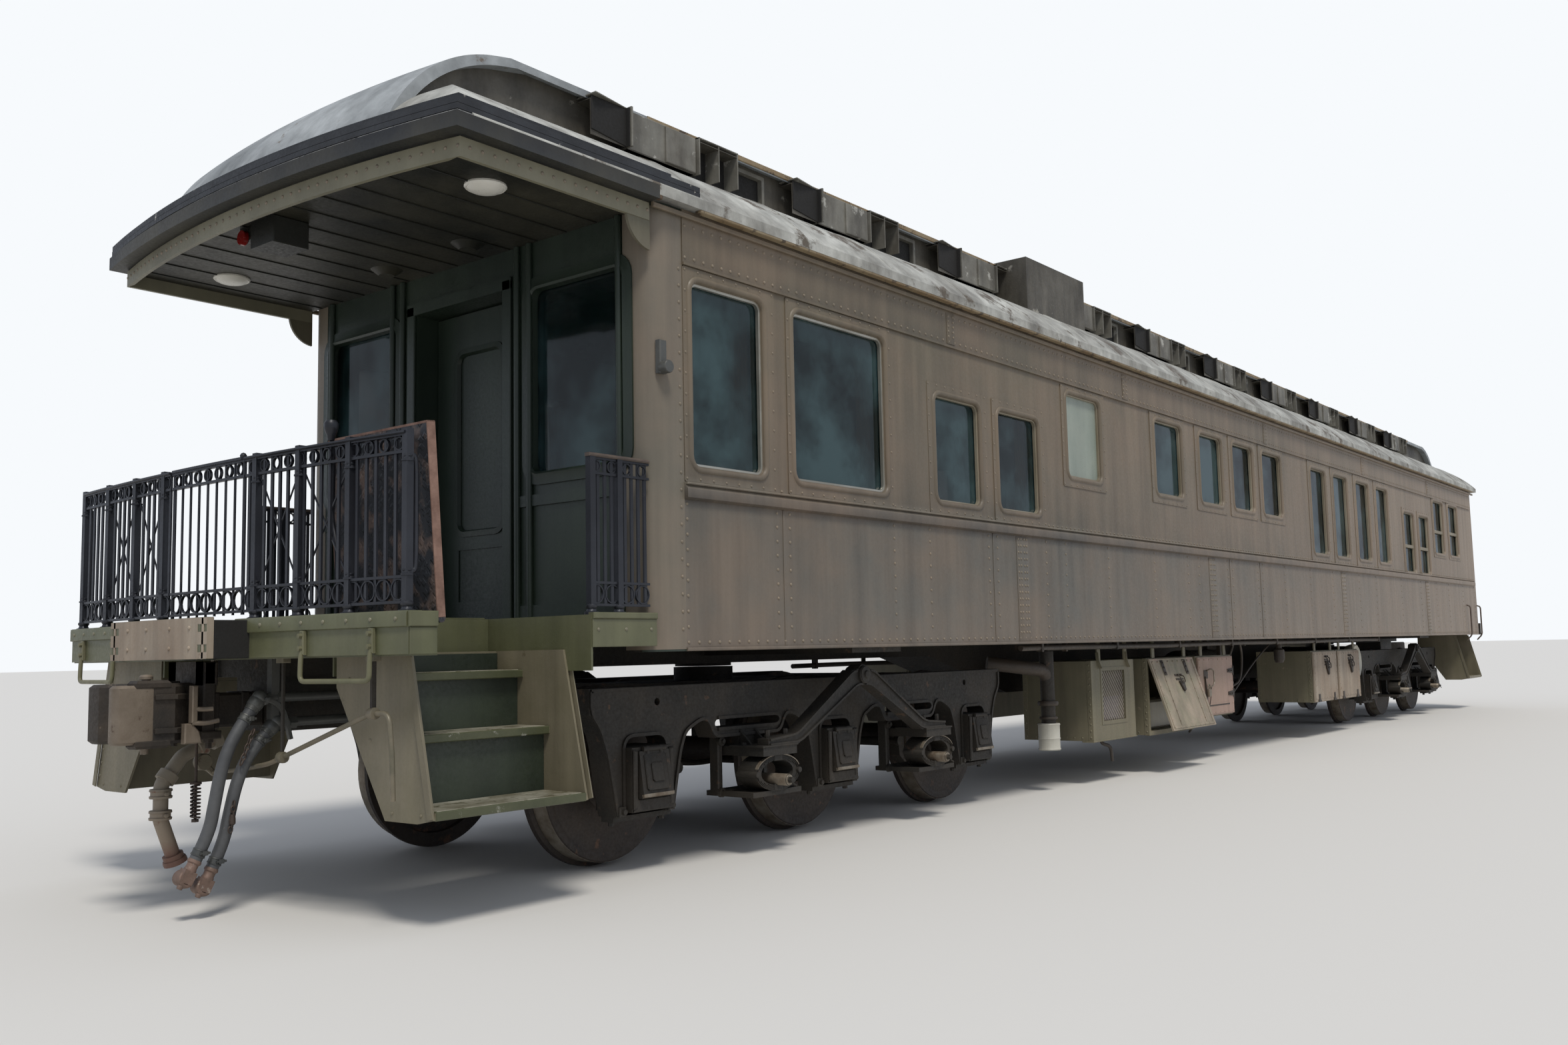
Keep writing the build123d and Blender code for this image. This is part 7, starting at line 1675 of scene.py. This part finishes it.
hung = [carried(round_section(0.0045, 6), helix),
    carried(round_section(0.007, 8), np.array([(BULK - 1.5, 0.0, 0.4), (BULK - 1.5, 0.0, 0.78)])),
    turned([(0.0, 0.395), (0.018, 0.397), (0.018, 0.41), (0.0, 0.412)], (BULK - 1.5, 0, 0), "z", 6),
    turned([(0.0, 0.568), (0.026, 0.57), (0.026, 0.58), (0.0, 0.582)], (BULK - 1.5, 0, 0), "z", 14)]
piece("eye_bolt_spring", hung, chain_iron)
worn_olive_bar = weathered("worn_bar", ((96, 92, 76), (124, 114, 96)), rough=(0.35, 0.6), metallic=0.2, cloud=7.0,
    bump=0.15, spots=((82, 68, 54), 20.0, 0.62))
clevis = [turned([(0.0, 0.012), (0.036, 0.014), (0.04, 0.022), (0.04, 0.052), (0.036, 0.06), (0.0, 0.062)],
        (BULK - 1.45, 0, 0.668), "y", 20),
    slab([(BULK - 1.47, 0.66), (BULK - 1.43, 0.66), (BULK - 1.375, 0.612), (BULK - 1.4, 0.598)], 0.022, 0.05, "y",
        0.005),
    rod(0.01, [(-1.395, -0.03, 0.622), (-1.402, 0.03, 0.618), (-1.42, 0.075, 0.632), (-1.45, 0.08, 0.668)], 0.03,
        8)]
for y, z in ((-0.55, 0.704), (-1.24, 0.908)):
    clevis += [turned([(0.012, y - 0.022), (0.024, y - 0.02), (0.026, y - 0.012), (0.026, y + 0.012),
            (0.024, y + 0.02), (0.012, y + 0.022)], (BULK - 1.39, 0, z), "y", 14),
        block(-1.412, -1.368, y - 0.028, y + 0.028, 1.125, 1.15, 0.004)]
piece("lever_fittings", clevis, worn_olive_bar)
lever = piece("lever_bar", [carried(round_section(0.011, 12),
    bent([(BULK - 1.39, y, z) for y, z in ((-0.03, 0.622), (-0.205, 0.637), (-0.444, 0.672), (-1.217, 0.905),
    (-1.352, 0.912), (-1.375, 0.744), (-1.384, 0.554))], 0.05))], worn_olive_bar)
straps = [block(-1.397, -1.383, -0.557, -0.543, 0.69, 1.145, 0.002),
    block(-1.402, -1.378, -1.247, -1.233, 0.905, 1.145, 0.002)]
hangers = piece("lever_hangers", straps, truck_dark)
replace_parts(lever, "uncoupling_lever")

# Steam connector: a cast pipe with a swivelling joint, clamped collars and a rusted foot
steam_cast = weathered("steam_casting", ((150, 140, 122), (124, 112, 98)), rough=(0.45, 0.7), metallic=0.1,
    cloud=4.0, bump=0.25, spots=((118, 82, 66), 9.0, 0.6), levels=((0.19, (110, 74, 62)), (0.24, (122, 92, 78)),
    (0.3, (146, 130, 112)), (0.6, (142, 134, 118))))
dress(steam_cast, "steam_connector")
joints = [lathe([(0.034, -0.024), (0.05, -0.022), (0.052, -0.012), (0.046, -0.008), (0.046, 0.008),
    (0.052, 0.012), (0.05, 0.022), (0.034, 0.024)], (BULK - 1.55, 0.23, z), (0, 0, 1), 28) for z in (0.52, 0.42)]
joints += [lathe([(0.034, -0.02), (0.049, -0.018), (0.049, 0.018), (0.034, 0.02)], (BULK - 1.36, 0.23, 0.729),
        (0.9, 0, 0.4), 24),
    lathe([(0.0, -0.012), (0.052, -0.01), (0.055, 0.0), (0.055, 0.014), (0.044, 0.018), (0.038, 0.014),
        (0.0, 0.014)], (BULK - 1.4755, 0.23, 0.2), (0.35, 0, -0.94), 24)]
for z in (0.52, 0.42):
    joints.append(turned([(0.0, 0.165), (0.01, 0.167), (0.01, 0.185), (0.0, 0.19)], (BULK - 1.55, 0, z), "y", 6))
piece("steam_joints", joints, steam_cast)


# Front end
# The plain end has a framed door, rows of rivets over its stiffeners, two upright grab irons and small
# steps with pale rails; its sill is a rolled channel with a buffer block on each side of the coupler.
frame_bars = [bar(FRONT, FRONT + 0.012, side * 0.4, side * 0.47, 1.322, 3.2, 0.004) for side in (-1, 1)]
frame_bars += [bar(FRONT, FRONT + 0.014, *sorted((side * 0.46, side * 1.4)), 1.984, 1.996, 0.004)
    for side in (-1, 1)]
frame_bars += [bar(FRONT, FRONT + 0.012, -0.47, 0.47, 3.152, 3.22, 0.004),
    bar(FRONT, FRONT + 0.01, -1.4, 1.4, 3.3, 3.36, 0.003)]
piece("front_trim", frame_bars, side_paint)
front_heads = [row((FRONT, side * y, 1.4), (FRONT, side * y, 3.25), 24) for side in (-1, 1)
    for y in (0.56, 0.95, 1.36)]
front_heads += [row((FRONT, side * 0.6, z), (FRONT, side * 1.32, z), 9) for side in (-1, 1) for z in (2.03, 3.33)]
rivets("front_rivets", np.concatenate(front_heads), (1, 0, 0), rivet_paint)
irons = []
for side in (-1, 1):
    irons.append(rod(0.012, [(0.0, side * 0.66, 1.52), (0.065, side * 0.66, 1.52), (0.065, side * 0.66, 2.62),
        (0.0, side * 0.66, 2.62)], 0.05, start=FRONT))
    for z in (1.52, 2.62):
        irons.append(turned([(0.0, FRONT), (0.028, FRONT + 0.002), (0.028, FRONT + 0.01), (0.0, FRONT + 0.012)],
            (0, side * 0.66, z), "x", 10))
    for x in (9.2, 9.92):
        irons.append(rod(0.011, [(0.0, side * 1.528, 1.6), (0.0, side * 1.575, 1.58), (0.0, side * 1.575, 1.14),
            (0.0, side * 1.5, 1.06)], 0.04, start=x))
piece("front_irons", irons, hand_brown)
front_steps = []
for side in (-1, 1):
    for x, way in ((9.13, -1), (9.99, 1)):
        front_steps.append(carried(flat_section(0.03, 0.006), [(x + way * 0.004, side * 1.345, 1.13),
            (x + way * 0.004, side * 1.5, 0.475)]))
    for z, inner, outer in ((0.5, 1.2, 1.5), (0.8, 1.01, 1.25)):
        front_steps.append(bar(9.142, 9.978, side * (outer - 0.03), side * (outer + 0.004), z - 0.034, z + 0.003,
            0.004))
piece("front_step_edges", front_steps, stringer_olive)
